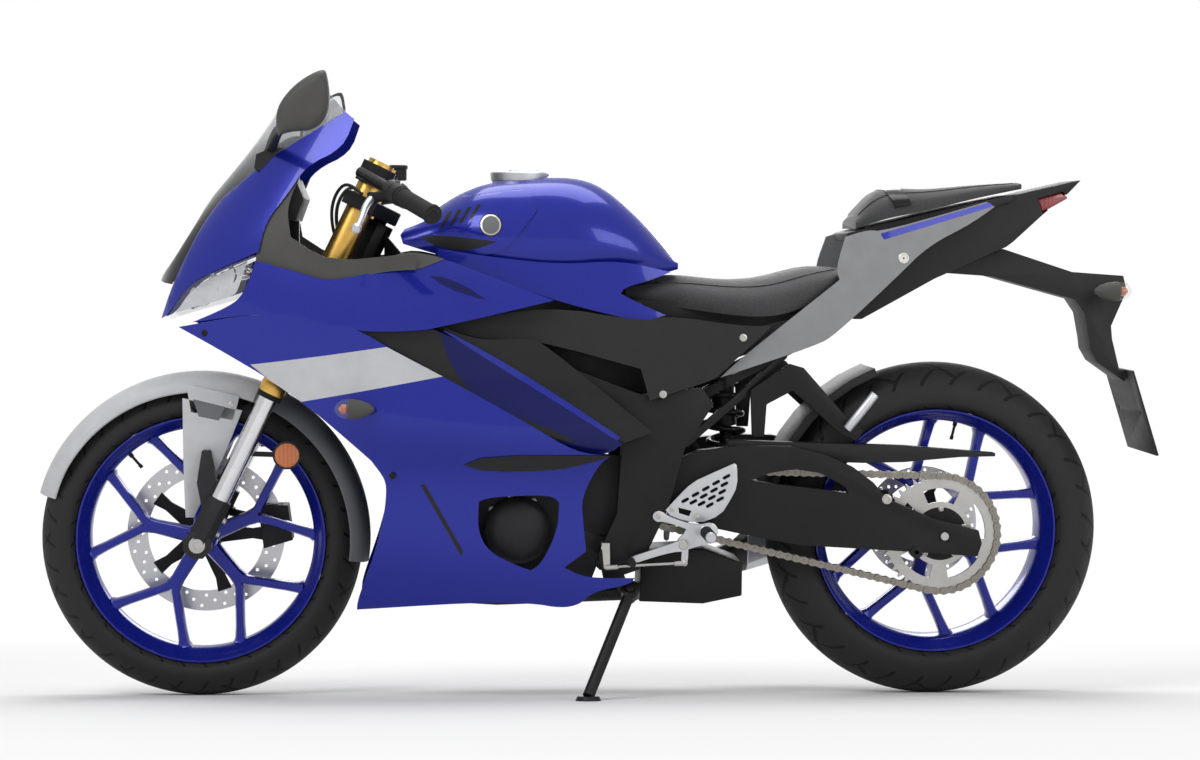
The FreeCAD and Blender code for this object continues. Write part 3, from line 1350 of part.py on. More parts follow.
SIDE_FAIRING_PX = [(186.6, 323.3), (254.6, 307.6), (296.4, 308.9), (348.7, 318), (367, 323.3), (393.2, 339),
                   (445.5, 366.4), (533, 414), (577, 441.5), (611.8, 445.4), (467, 454.8), (377.4, 453.5),
                   (376.2, 451.2), (329.3, 409.6), (297, 385.5), (273, 369.5), (222, 341)]


def side_fairings():
    """The large side fairings, tabbed to the engine."""
    tabs = [(520, 420, S.engine_half_width)]
    return shaped("side_fairings", with_mirror(tabbed_panel(SIDE_FAIRING_PX, S.panel_wall, 0, tabs)))


LOWER_FAIRING_PX = [(377.4, 453.5), (467, 454.8), (611.8, 445.4), (601, 452), (582.4, 487), (585, 513.8),
                    (587.7, 540.5), (566.3, 556.6), (587.7, 567.3), (636, 567.3), (630.6, 574), (595.7, 580.7),
                    (582.4, 594), (563.6, 598), (534, 592.8), (472.5, 592.8), (362, 602), (362.7, 591.4),
                    (378.8, 545.9), (388, 508.4), (390.8, 484.3), (389.5, 469.6)]
LOWER_WINDOW_PX = [(481.9, 491), (494, 486.4), (552.9, 484.3), (561, 492.3), (559.6, 519), (544.8, 551.3),
                   (534, 559.3), (520.7, 555.3), (491.3, 540.5), (480.5, 519)]


def lower_fairings():
    """The belly fairings, each open over its engine cover."""
    tabs = [(450, 500, S.engine_half_width)]
    panel = tabbed_panel(LOWER_FAIRING_PX, S.panel_wall, 0, tabs)
    window = sight_prism(LOWER_WINDOW_PX, -2 * S.fairing_half_width, 0)
    return shaped("lower_fairings", with_mirror(panel.cut(window)))


DUCT_PX = [(400, 321), (443.6, 319.9), (622.7, 433.5), (610, 444), (577, 441), (533, 414), (400, 344)]


def fairing_liners():
    tabs = [(478, 369, S.cylinder_half_width)]
    return shaped("fairing_liners", with_mirror(tabbed_panel(DUCT_PX, S.panel_wall, S.overrun, tabs)))


FRAME_COVER_PX = [(443.6, 318.7), (480.3, 332.5), (528.6, 330.2), (542.3, 333.7), (652.5, 423.2), (627, 432.4),
                  (622.7, 433.5)]
DIALS_DEPTH_SHARE = 1.4


def frame_covers():
    tabs = [(566, 374, S.spar_half_width)]
    inward = S.overrun * DIALS_DEPTH_SHARE
    return shaped("frame_covers", with_mirror(tabbed_panel(FRAME_COVER_PX, S.panel_wall, inward, tabs)))


SIDE_COVER_PX = [(443.6, 319), (547, 299), (641, 315.3), (666.3, 309.6), (737.5, 319.9), (768, 320),
                 (718, 366.6), (713, 371.8), (649, 392.2), (640, 361.2), (533, 331.4), (480, 332.5)]
COVER_SHARES = [
    ((430, 296), (780, 300), [(0, 0.98), (0.3, 1.0), (0.6, 0.92), (0.8, 0.86), (1, 0.84)]),
    ((430, 334), (780, 334), [(0, 1.06), (0.3, 1.06), (0.6, 0.98), (0.8, 0.92), (1, 0.88)]),
    ((430, 396), (780, 396), [(0, 1.12), (0.3, 1.12), (0.6, 1.04), (0.8, 0.96), (1, 0.90)]),
]


def side_covers():
    """The textured covers under the seat, flush with the tank's lower edge."""
    half = skin(COVER_SHARES, S.spar_half_width + S.overrun / 4, S.panel_wall)
    left = half.common(sight_prism(inset(SIDE_COVER_PX, S.seam_gap / 2), -2 * S.fairing_half_width, 0))
    tab = panel_tab(662, 387, S.spar_half_width + S.overrun / 2, S.spar_half_width, S.pedal_radius / 2)
    return shaped("side_covers", with_mirror(left.fuse(tab)))


def arched(stations, half_width, round_count=11, long_count=9):
    """A solid through arched sections: flat base, bulged sides and a round top."""
    arches = []
    for u, v_top, v_base, share, base_share in stations:
        top = on_plane(u, v_top, 0)
        base = on_plane(u, v_base, 0)
        wide = share * half_width
        rise = top.z - base.z
        side = [Vector(top.x, base_share * half_width, base.z), Vector(top.x, wide, base.z + 0.42 * rise),
                Vector(top.x, 0.72 * wide, base.z + 0.84 * rise)]
        line = [Vector(point.x, -point.y, point.z) for point in side] + [Vector(top.x, 0, top.z)] + side[::-1]
        arch = Part.BSplineCurve()
        arch.interpolate(line)
        arches.append(arch.discretize(Number=round_count))
    lines = []
    for strand in zip(*arches):
        curve = Part.BSplineCurve()
        curve.interpolate(list(strand))
        first = curve.FirstParameter
        last = curve.LastParameter
        lines.append([curve.value(first + (last - first) * index / (long_count - 1)) for index in range(long_count)])
    return facet_loft([list(ring) for ring in zip(*lines)])


TANK_STATION_SHARES = [
    (438, 212, 262, 0.70, 0.66), (470, 192, 272, 0.92, 0.80), (530, 181, 286, 1.0, 0.86),
    (590, 185, 291, 0.96, 0.80), (640, 224, 279.5, 0.72, 0.62), (672, 262, 270.5, 0.46, 0.44),
]
FILLER_PX = (520.0, 181.0)
TANK_STAY_PX = [(484.0, 262.0), (484.0, 336.0)]


def fuel_tank():
    """The tank, with a seat for the filler cap in its crown and feet on the spars."""
    shape = arched(TANK_STATION_SHARES, S.tank_half_width)
    centre = on_plane(*FILLER_PX, 0)
    seat = post(centre - Vector(0, 0, S.filler_height), centre + Vector(0, 0, S.overrun * 2),
                S.filler_radius + S.pin_gap, sides=24)
    side = S.spar_half_width - S.spar_width
    foot = post(on_plane(*TANK_STAY_PX[0], -0.5 * side), on_plane(*TANK_STAY_PX[1], -0.92 * side), S.cross_tube_radius)
    foot = foot.cut(frame_spar())
    foot = max(foot.Solids, key=lambda solid: solid.CenterOfMass.z)
    return shaped("fuel_tank", shape.cut(seat).fuse([foot, mirrored(foot)]))


TANK_COVER_PX = [(403.4, 235), (413.8, 221.2), (441.3, 199.4), (528.6, 187.9), (537.7, 207.4), (512.5, 239.5),
                 (501, 248.7), (457.4, 256.7)]


def tank_covers():
    """Covers that wrap the tank's front flanks."""
    wide = arched(TANK_STATION_SHARES, S.tank_half_width + S.tank_cover_gap + S.panel_wall)
    core = arched(TANK_STATION_SHARES, S.tank_half_width + S.tank_cover_gap)
    cut = sight_prism(inset(TANK_COVER_PX, S.seam_gap / 2), -2 * S.tank_half_width, -S.tank_half_width / 2)
    return shaped("tank_covers", with_mirror(wide.cut(core).common(cut)))


def fuel_cap():
    centre = on_plane(*FILLER_PX, 0)
    base = centre - Vector(0, 0, S.filler_height - S.seat_gap)
    return shaped("fuel_cap", post(base, centre + Vector(0, 0, S.filler_height), S.filler_radius, sides=24))


SEAT_STATION_SHARES = [
    (621.6, 286.5, 297, 0.50, 0.48), (660, 277, 305, 0.66, 0.66), (709, 280, 312, 0.92, 0.90),
    (760, 277, 314, 1.0, 0.98), (800, 268, 300, 0.98, 0.94), (829, 268.5, 276, 0.86, 0.84),
]
SEAT_STAY_PX = [(745.0, 300.0), (745.0, 362.0)]


def rider_seat():
    """The rider's seat, on two feet that rest on the subframe rails."""
    foot = post(on_plane(*SEAT_STAY_PX[0], -S.subframe_half_width), on_plane(*SEAT_STAY_PX[1], -S.subframe_half_width),
                S.footrest_radius).cut(rail_between(RAIL_PX, RAIL_SIDE_SHARES))
    foot = max(foot.Solids, key=lambda solid: solid.CenterOfMass.z)
    return shaped("rider_seat", arched(SEAT_STATION_SHARES, S.seat_half_width).fuse([foot, mirrored(foot)]))


TAIL_UNIT_PX = [(1010, 194.5), (1059, 183.4), (1047, 196.2), (1022.9, 216.8), (995.3, 242.6), (988.5, 247.8),
                (919.6, 278.8), (850, 318), (842.4, 318), (842.4, 292), (884, 255), (905, 226), (960, 208)]
TAIL_UNIT_SHARE = 0.8


def tail_core():
    return slab(TAIL_UNIT_PX, -S.tail_core_half_width * TAIL_UNIT_SHARE, S.tail_core_half_width * TAIL_UNIT_SHARE, 0)


PILLION_STATION_SHARES = [
    (842, 221, 231, 0.80, 0.80), (868, 194, 222, 0.98, 0.96), (900, 192, 215, 1.0, 0.98),
    (950, 189, 203, 0.90, 0.88), (1003, 185.5, 192, 0.62, 0.60),
]
PILLION_BASE_PX = [(890, 210), (960, 198), (960, 212), (905, 232)]
SEAT_BASE_SHARE = 0.6


def pillion_seat():
    """The pillion seat, its base shaped to the tail unit that carries it."""
    base = slab(PILLION_BASE_PX, -S.tail_core_half_width * SEAT_BASE_SHARE, S.tail_core_half_width * SEAT_BASE_SHARE, 0)
    return shaped("pillion_seat", arched(PILLION_STATION_SHARES, S.pillion_half_width).fuse(base.cut(tail_core())))


TAIL_PANEL_PX = [(838.7, 234), (861, 227), (874.8, 228.9), (998.8, 194.4), (964.4, 220.3), (919.6, 242.6),
                 (888.6, 273.6), (830, 328.7), (812.8, 339), (718.1, 370.7), (738.8, 351), (833.5, 275.4),
                 (830, 263.3)]
TAIL_SHARES = [
    ((700, 190), (1020, 186), [(0, 0.92), (0.5, 0.80), (0.8, 0.66), (1, 0.52)]),
    ((700, 250), (1020, 220), [(0, 1.10), (0.5, 1.00), (0.8, 0.80), (1, 0.60)]),
    ((700, 330), (1020, 290), [(0, 1.30), (0.5, 1.14), (0.8, 0.90), (1, 0.66)]),
    ((700, 380), (1020, 360), [(0, 1.34), (0.5, 1.10), (0.8, 0.90), (1, 0.66)]),
]


def tail_panels():
    """The silver tail panels, one each side."""
    half = skin(TAIL_SHARES, S.tail_half_width, S.panel_wall)
    cut = sight_prism(inset(TAIL_PANEL_PX, S.seam_gap / 2), -2 * S.tail_half_width, 0)
    return shaped("tail_panels", with_mirror(half.common(cut)))


TAIL_LAMP_PX = [(1017.7, 201.3), (1041.8, 194.4), (1048.7, 200.6), (1022.9, 215.1)]


def tail_unit():
    """The black tail under the pillion seat, with a place for the lamp."""
    lamp = slab(TAIL_LAMP_PX, -S.tail_half_width, S.tail_half_width, 0)
    return shaped("tail_unit", tail_core().cut(lamp))


def tail_light():
    outline = inset(TAIL_LAMP_PX, S.seat_gap)
    return shaped("tail_light", slab(outline, -S.tail_lamp_half_width, S.tail_lamp_half_width, 0))


def panel_tab(u, v, panel_side, seat_side, radius):
    """A square-ended tab from inside a panel to a flat side of what carries it."""
    outer = on_plane(u, v, -panel_side)
    return post(outer, Vector(outer.x, -seat_side - S.seat_gap, outer.z), radius, sides=6)


def tabbed_panel(outline, wall, inward, tabs):
    """A side panel with tabs from its inner face that seat on the frame or engine."""
    width = S.fairing_half_width - inward
    pieces = []
    for u, v, seat_side in tabs:
        tab = panel_tab(u, v, width, seat_side, S.pedal_radius).cut(skin(SIDE_SHARES, width, wall))
        pieces.append(min(tab.Solids, key=lambda solid: abs(solid.CenterOfMass.y)))
    return side_panel(outline, wall, inward).fuse(pieces)


HANGER_ARM_PX = [(932, 273.4), (988.5, 249.9), (1055.6, 271.9), (1105.5, 275.4), (1109, 290), (1094.7, 324.2),
                 (1096, 336.8), (1103.8, 367), (1114.4, 367), (1108.8, 378.2), (1082, 359.3), (1075, 347.3),
                 (1073.7, 336.8), (1068.8, 312.3), (1059.6, 298.9), (978, 276.5)]


def plate_hanger():
    """The hanger behind the tail, with the bare plate board and its two bolt holes at its foot."""
    arm = slab(HANGER_ARM_PX, -S.hanger_half_width, S.hanger_half_width, 0)
    board = slab(BOARD_PX, -S.plate_board_half_width, S.plate_board_half_width, 0)
    face, outward = plate_face()
    holes = []
    for side in (-S.plate_hole_side, S.plate_hole_side):
        middle = face + Vector(0, side, 0)
        holes.append(rod(middle - outward * S.overrun, middle + outward * S.overrun, S.plate_hole_radius))
    return shaped("plate_hanger", arm.fuse(board).removeSplitter().cut(holes))


STALK_SHARE = 0.4
REAR_STALK_PX = (1080.0, 287.0)
FRONT_STALK_PX = (364.0, 398.0)
LENS_SHARE = 0.7


def indicators():
    """Four indicators on short stalks: two on the side fairings and two on the hanger."""
    stalk = Vector(0, S.indicator_length * STALK_SHARE, 0)
    head = Vector(0, S.indicator_length, 0)
    rear_root = on_plane(*REAR_STALK_PX, -S.hanger_half_width - S.seat_gap)
    rear = post(rear_root, rear_root - stalk * 1.2, S.indicator_radius / 2)
    rear = rear.fuse(post(rear_root - stalk, rear_root - stalk - head, S.indicator_radius, S.indicator_radius * LENS_SHARE, 10))
    front_root = on_plane(*FRONT_STALK_PX, -0.97 * S.fairing_half_width - S.seat_gap)
    front = post(front_root, front_root - head, S.indicator_radius, S.indicator_radius * LENS_SHARE, 10)
    return shaped("indicators", Part.makeCompound(
        rear.Solids + front.Solids + mirrored(rear).Solids + mirrored(front).Solids))


TRIM_PX = [(306.9, 172), (297, 186), (274, 221), (268, 247), (266, 253), (327.8, 271), (348.7, 270), (440, 253),
           (427.2, 247.4), (406.3, 248.7), (333, 256.6), (296.4, 233), (292, 204)]


def cockpit_trim():
    """The black inner trim behind the cowl and above the side fairings."""
    half = skin(NOSE_SHARES, S.cowl_half_width - S.panel_wall - 3 * S.seam_gap, S.panel_wall)
    cut = sight_prism(inset(TRIM_PX, S.seam_gap / 2), -2 * S.cowl_half_width, 0)
    return shaped("cockpit_trim", with_mirror(half.common(cut)))


DIALS_PX = [(292, 190), (304, 184), (312, 204), (304, 226), (294, 222)]


def instrument_panel():
    """The dials' housing, seated on the cowl stay."""
    block = slab(DIALS_PX, -S.tail_half_width, S.tail_half_width, 0)
    return shaped("instrument_panel", block.cut(cowl_stay()))


MIRROR_PX = [(283.5, 95.5), (301.9, 73.9), (326.8, 60.2), (332.2, 65.2), (335.5, 99.9), (321.4, 120.5),
             (295.4, 121.6), (284.5, 125.9), (281.3, 115)]
MIRROR_KNEE_PX = (290.0, 118.0)
MIRROR_BASE_PX = (276.0, 154.0)


def mirrors():
    """Mirror heads on angled stalks that spring from the cowl."""
    head = slab(MIRROR_PX, -S.mirror_side - S.mirror_depth, -S.mirror_side)
    knee = on_plane(*MIRROR_KNEE_PX, -S.mirror_side - S.mirror_depth / 2)
    base = on_plane(*MIRROR_BASE_PX, -0.40 * S.cowl_half_width)
    stalk = post(base, knee, S.handlebar_radius, S.handlebar_radius * 0.8, sides=6)
    cowl = skin(NOSE_SHARES, S.cowl_half_width + S.seat_gap, 3 * S.overrun)
    stalk = stalk.cut(cowl)
    stalk = max(stalk.Solids, key=lambda solid: abs(solid.CenterOfMass.y))
    return shaped("mirrors", with_mirror(head.fuse(stalk)))


FRONT_SPOKE_START = 95.0
REAR_SPOKE_START = 41.0
FRONT_FORK_ANGLE = 21.5
REAR_FORK_ANGLE = 22.5


def build_all():
    tyre("front_tyre", FRONT_AXLE, S.front_tyre_radius, S.front_tyre_half_width, S.front_crown_radius,
         S.front_rim_half_width)
    tyre("rear_tyre", REAR_AXLE, S.rear_tyre_radius, S.rear_tyre_half_width, S.rear_crown_radius,
         S.rear_rim_half_width)
    rim("front_rim", FRONT_AXLE, "front_rim_half_width", "front_hub_radius", "front_hub_half_width", FRONT_SPOKE_START,
        S.front_spoke_branch, math.radians(FRONT_FORK_ANGLE))
    rim("rear_rim", REAR_AXLE, "rear_rim_half_width", "rear_hub_radius", "rear_hub_half_width", REAR_SPOKE_START,
        S.rear_spoke_branch, math.radians(REAR_FORK_ANGLE))
    disc("front_disc", FRONT_AXLE, S.front_disc_radius, "front_disc_thickness", S.front_disc_side,
         S.disc_window_inner, S.disc_window_outer)
    disc("rear_disc", REAR_AXLE, S.rear_disc_radius, "rear_disc_thickness", S.rear_disc_side,
         S.rear_disc_window_inner, S.rear_disc_window_outer)
    rear_sprocket()
    chain()
    axle_rod("front_axle", FRONT_AXLE, S.fork_spread + S.axle_boss_width / 2)
    axle_rod("rear_axle", REAR_AXLE, S.swingarm_outer + S.plate_thickness)
    fork_bottoms()
    fork_pair("fork_legs", S.fork_bottom_length + S.seat_gap, S.fork_leg_length, S.fork_leg_radius)
    tube_start = S.fork_bottom_length + S.seat_gap + S.fork_leg_length + S.seat_gap
    fork_pair("fork_outer_tubes", tube_start, S.fork_tube_length, S.fork_tube_radius)
    fork_crowns()
    handlebars()
    grips()
    levers()
    front_fender()
    fork_reflectors()
    front_caliper()
    frame()
    engine()
    engine_covers()
    radiator()
    exhaust()
    swingarm()
    shock_absorber()
    chain_guard()
    rear_mudguard()
    rear_caliper()
    footrest_brackets()
    foot_controls()
    pillion_brackets()
    pillion_footrest("pillion_footrest_left", -1)
    pillion_footrest("pillion_footrest_right", 1)
    side_stand()
    front_cowl()
    windscreen()
    headlights()
    upper_fairings()
    side_fairings()
    lower_fairings()
    fairing_liners()
    frame_covers()
    side_covers()
    fuel_tank()
    tank_covers()
    fuel_cap()
    rider_seat()
    pillion_seat()
    tail_panels()
    tail_unit()
    tail_light()
    plate_hanger()
    indicators()
    cockpit_trim()
    instrument_panel()
    mirrors()
    doc.recompute()


def stand_up():
    """Leans the whole bike onto its stand and centres it over the origin."""
    lift = S.rear_crown_radius * (1.0 - math.cos(LEAN))
    lean = FreeCAD.Placement(Vector(0, 0, lift), FreeCAD.Rotation(Vector(1, 0, 0), S.lean_angle))
    for item in SUB_PARTS:
        item.Placement = lean.multiply(item.Placement)
    doc.recompute()
    box = FreeCAD.BoundBox()
    for item in SUB_PARTS:
        box.add(item.Shape.BoundBox)
    shift = FreeCAD.Placement(Vector(-box.Center.x, -box.Center.y, 0), FreeCAD.Rotation())
    for item in SUB_PARTS:
        item.Placement = shift.multiply(item.Placement)
    doc.recompute()
    return shift.multiply(lean)


def print_places(stand):
    """Prints the joint lines and mounts as they lie on the standing bike."""
    def tell(name, point, direction):
        place = stand.multVec(point)
        turned = stand.Rotation.multVec(direction.normalize())
        print(f"PLACE {name} {place.x:.4f} {place.y:.4f} {place.z:.4f} "
              f"{turned.x:.6f} {turned.y:.6f} {turned.z:.6f}")

    across = Vector(0, 1, 0)
    tell("steering", on_steering_axis(S.lower_crown_height), Vector(FORK_UP))
    tell("front_wheel", FRONT_AXLE, Vector(across))
    tell("rear_wheel", REAR_AXLE, Vector(across))
    tell("side_stand", stand_pivot(), stand_axis())
    tell("fuel_cap", on_plane(*FILLER_PX, 0) - Vector(S.filler_radius, 0, 0), across * -1)
    outer = pillion_bracket_side() + S.plate_thickness * 2 + 2 * S.seat_gap + S.pillion_peg_radius
    for side, name in ((-1, "pillion_left"), (1, "pillion_right")):
        pivot = on_plane(*PILLION_PIVOT_PX, -outer)
        along = on_plane(*PILLION_TIP_PX, -outer) - pivot
        tell(name, Vector(pivot.x, side * outer, pivot.z), Vector(along.x, 0, along.z).cross(across * side))
    tell("stand_foot", stand_foot(), FLOOR_NORMAL * -1)
    root, end = bar_line()
    bobbin = on_plane(*BOBBIN_PX, -S.swingarm_outer - S.bobbin_proud)
    plate, outward = plate_face()
    for side, name in ((1, "left"), (-1, "right")):
        tell("bar_end_" + name, Vector(end.x, side * end.y, end.z),
             Vector(end.x - root.x, side * (end.y - root.y), end.z - root.z))
        tell("bobbin_" + name, Vector(bobbin.x, side * bobbin.y, bobbin.z), across * -side)
        tell("plate_hole_" + name, plate + Vector(0, -side * S.plate_hole_side, 0), Vector(outward))


def check_all():
    """Stops if any object failed or any sub-part has no sound shape."""
    for item in doc.Objects:
        if {"Invalid", "Error"} & set(item.State):
            raise RuntimeError(f"{item.Label} failed: {item.State}")
    for item in SUB_PARTS:
        if item.Shape.isNull() or not item.Shape.isValid() or not item.Shape.Solids:
            raise RuntimeError(f"{item.Label} has no sound solid")


def write_parts():
    os.makedirs("parts", exist_ok=True)
    for item in SUB_PARTS:
        item.Shape.exportStep(f"parts/{item.Label}.step")


build_all()
STAND = stand_up()
check_all()
write_parts()
print_places(STAND)
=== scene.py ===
"""The looks of a sport bike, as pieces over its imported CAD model, laid out as a Blender add-on."""
import json
import math

import bmesh
import bpy
import numpy as np
from mathutils import Matrix, Vector
from mathutils.bvhtree import BVHTree
from mathutils.geometry import delaunay_2d_cdt
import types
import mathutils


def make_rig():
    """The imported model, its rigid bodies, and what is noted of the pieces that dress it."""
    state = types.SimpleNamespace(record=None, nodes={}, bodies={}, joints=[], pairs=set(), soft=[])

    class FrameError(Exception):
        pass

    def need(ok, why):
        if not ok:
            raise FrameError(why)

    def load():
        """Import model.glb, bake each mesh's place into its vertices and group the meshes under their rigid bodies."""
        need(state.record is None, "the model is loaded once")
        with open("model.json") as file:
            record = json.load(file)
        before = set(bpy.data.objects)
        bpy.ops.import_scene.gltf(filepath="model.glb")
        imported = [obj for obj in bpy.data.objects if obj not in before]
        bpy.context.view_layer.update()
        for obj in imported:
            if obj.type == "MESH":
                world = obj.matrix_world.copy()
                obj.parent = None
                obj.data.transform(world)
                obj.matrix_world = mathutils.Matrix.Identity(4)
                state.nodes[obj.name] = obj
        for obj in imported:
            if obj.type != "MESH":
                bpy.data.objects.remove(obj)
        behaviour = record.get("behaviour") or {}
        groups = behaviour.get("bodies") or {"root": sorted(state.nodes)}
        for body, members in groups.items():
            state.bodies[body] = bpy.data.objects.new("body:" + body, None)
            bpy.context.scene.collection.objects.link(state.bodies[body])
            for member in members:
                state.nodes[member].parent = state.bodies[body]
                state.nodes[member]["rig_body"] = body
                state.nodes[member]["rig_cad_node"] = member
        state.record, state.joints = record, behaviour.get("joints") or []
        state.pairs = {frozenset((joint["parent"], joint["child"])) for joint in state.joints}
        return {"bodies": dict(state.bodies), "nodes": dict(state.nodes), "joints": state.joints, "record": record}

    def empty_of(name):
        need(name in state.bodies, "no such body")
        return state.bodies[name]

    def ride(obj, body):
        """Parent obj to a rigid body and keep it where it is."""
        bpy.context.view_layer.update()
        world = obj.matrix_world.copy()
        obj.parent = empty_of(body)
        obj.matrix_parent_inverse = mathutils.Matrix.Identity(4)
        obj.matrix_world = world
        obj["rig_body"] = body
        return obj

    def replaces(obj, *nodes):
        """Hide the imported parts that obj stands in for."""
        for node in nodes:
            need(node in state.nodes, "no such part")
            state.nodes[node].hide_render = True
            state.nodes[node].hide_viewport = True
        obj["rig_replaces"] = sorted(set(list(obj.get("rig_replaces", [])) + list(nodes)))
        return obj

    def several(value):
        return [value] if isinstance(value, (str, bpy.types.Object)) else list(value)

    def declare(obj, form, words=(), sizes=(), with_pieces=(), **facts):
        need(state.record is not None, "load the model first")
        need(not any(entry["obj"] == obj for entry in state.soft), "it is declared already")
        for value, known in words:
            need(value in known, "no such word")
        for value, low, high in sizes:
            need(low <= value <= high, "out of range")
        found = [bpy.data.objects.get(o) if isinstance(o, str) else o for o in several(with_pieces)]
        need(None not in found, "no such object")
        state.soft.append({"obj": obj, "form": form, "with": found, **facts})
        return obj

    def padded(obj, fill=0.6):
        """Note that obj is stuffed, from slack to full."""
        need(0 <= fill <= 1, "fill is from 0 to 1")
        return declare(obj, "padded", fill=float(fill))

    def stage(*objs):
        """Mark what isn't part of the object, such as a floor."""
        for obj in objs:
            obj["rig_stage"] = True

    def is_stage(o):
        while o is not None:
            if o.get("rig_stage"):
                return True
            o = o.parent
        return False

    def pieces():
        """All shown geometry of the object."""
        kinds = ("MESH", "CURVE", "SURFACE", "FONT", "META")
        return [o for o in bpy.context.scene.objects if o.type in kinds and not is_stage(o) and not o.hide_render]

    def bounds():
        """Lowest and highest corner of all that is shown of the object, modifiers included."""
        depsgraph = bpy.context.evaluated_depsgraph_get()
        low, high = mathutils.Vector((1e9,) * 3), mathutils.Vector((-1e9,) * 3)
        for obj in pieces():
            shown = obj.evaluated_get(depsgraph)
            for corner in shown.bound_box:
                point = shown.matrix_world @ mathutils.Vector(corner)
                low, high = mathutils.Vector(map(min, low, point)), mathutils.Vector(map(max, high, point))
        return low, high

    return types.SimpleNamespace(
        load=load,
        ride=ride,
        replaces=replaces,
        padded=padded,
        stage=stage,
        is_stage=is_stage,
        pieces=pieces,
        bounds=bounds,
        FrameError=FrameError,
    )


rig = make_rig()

bl_info = {
    "name": "Sport bike",
    "version": (1, 0, 0),
    "blender": (4, 5, 0),
    "location": "3D View > Sidebar > Sport bike",
    "description": "Dresses the packed CAD model of a fully faired sport bike",
    "category": "Object",
}

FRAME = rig.load()
CAD_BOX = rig.bounds()

# The bike is drawn upright, front to -X and left side to -Y, and then leans on its side stand
LEAN = math.radians(8.0)
STAND = Matrix.Translation((-0.05722, 0.14315, 0.00071)) @ Matrix.Rotation(LEAN, 4, "X")
FRONT_AXLE = Vector((-0.690, 0.0, 0.298))
REAR_AXLE = Vector((0.690, 0.0, 0.318))
CASTER = math.radians(25.5)
FORK_UP = Vector((math.sin(CASTER), 0.0, math.cos(CASTER)))
FORK_BACK = Vector((math.cos(CASTER), 0.0, -math.sin(CASTER)))
FORK_SIDE = 0.097
LEFT = Vector((0.0, -1.0, 0.0))

# The view in which the outlines were measured, in pixels and metres
FOCAL = 2337.0
MIDDLE = (600.0, 430.0)
VIEW_YAW = math.radians(3.8)
VIEW_AWAY = 4.5
VIEW_HEIGHT = 0.501
VIEW_SHIFT = 0.054


def at(u, v, y):
    """The bike's point that shows at pixel u, v and lies at the given side distance."""
    slope = (u - MIDDLE[0]) / FOCAL
    cosine = math.cos(VIEW_YAW)
    sine = math.sin(VIEW_YAW)
    x = (slope * (VIEW_AWAY + y * cosine) + y * sine + VIEW_SHIFT) / (cosine - slope * sine)
    return Vector((x, y, VIEW_HEIGHT + (MIDDLE[1] - v) * (VIEW_AWAY + x * sine + y * cosine) / FOCAL))


EYE = Vector((VIEW_SHIFT * math.cos(VIEW_YAW) - VIEW_AWAY * math.sin(VIEW_YAW),
              -VIEW_SHIFT * math.sin(VIEW_YAW) - VIEW_AWAY * math.cos(VIEW_YAW), VIEW_HEIGHT))
TREES = {}


def seen(node, u, v):
    """Where a CAD node shows at a pixel, in the upright frame, and its outward direction there."""
    if node not in TREES:
        data = FRAME["nodes"][node].data
        TREES[node] = BVHTree.FromPolygons([vert.co for vert in data.vertices],
                                           [tuple(poly.vertices) for poly in data.polygons])
    eye = STAND @ EYE
    point, normal, _, _ = TREES[node].ray_cast(eye, ((STAND @ at(u, v, 0.0)) - eye).normalized())
    if point is None:
        raise RuntimeError(f"{node} doesn't show at {u}, {v}")
    back = STAND.inverted()
    turned = (back.to_3x3() @ normal).normalized()
    return back @ point, turned if turned.y < 0 else -turned


def beside(point, side):
    """The point moved to a side distance."""
    return Vector((point.x, side, point.z))


def moved(points, side):
    """The points moved to a side distance."""
    return [beside(point, side) for point in points]


def drawn(outline, side):
    """A pixel outline's points at a side distance."""
    return [at(u, v, side) for u, v in outline]


def polar(reach, angle):
    """A 2D point at a distance and an angle from the origin."""
    return reach * math.cos(angle), reach * math.sin(angle)


def twins(spots):
    """Places on the left and their twins on the right."""
    return spots + [(beside(point, -point.y), beside(aim, -aim.y)) for point, aim in spots]


def along_fork(height):
    """The point of the fork's middle line at a height over the ground."""
    return FRONT_AXLE + FORK_UP * ((height - FRONT_AXLE.z) / FORK_UP.z)


def sizes():
    """The sizes that the sidebar shows."""
    return bpy.context.scene.sport_bike_sizes


def colours():
    """The colours that the sidebar shows."""
    return bpy.context.scene.sport_bike_colours


def flat(outline, side):
    """A pixel outline as (x, z) points of the plane at a side distance."""
    return [(point.x, point.z) for point in drawn(outline, side)]


def spline(points, count):
    """Even points on a natural cubic curve through the given ones."""
    known = np.array([tuple(point) for point in points], float)
    knots = np.concatenate(([0.0], np.cumsum(np.linalg.norm(np.diff(known, axis=0), axis=1))))
    gaps = np.diff(knots)
    size = len(known)
    system = np.eye(size)
    right = np.zeros_like(known)
    for row in range(1, size - 1):
        system[row, row - 1:row + 2] = gaps[row - 1], 2 * (gaps[row - 1] + gaps[row]), gaps[row]
        right[row] = 6 * ((known[row + 1] - known[row]) / gaps[row]
                          - (known[row] - known[row - 1]) / gaps[row - 1])
    bend = np.linalg.solve(system, right)
    places = []
    for place in np.linspace(0.0, knots[-1], count):
        row = min(int(np.searchsorted(knots, place, "right")) - 1, size - 2)
        after = (place - knots[row]) / gaps[row]
        before = 1.0 - after
        curve = (before ** 3 - before) * bend[row] + (after ** 3 - after) * bend[row + 1]
        places.append(before * known[row] + after * known[row + 1] + curve * gaps[row] ** 2 / 6)
    return places


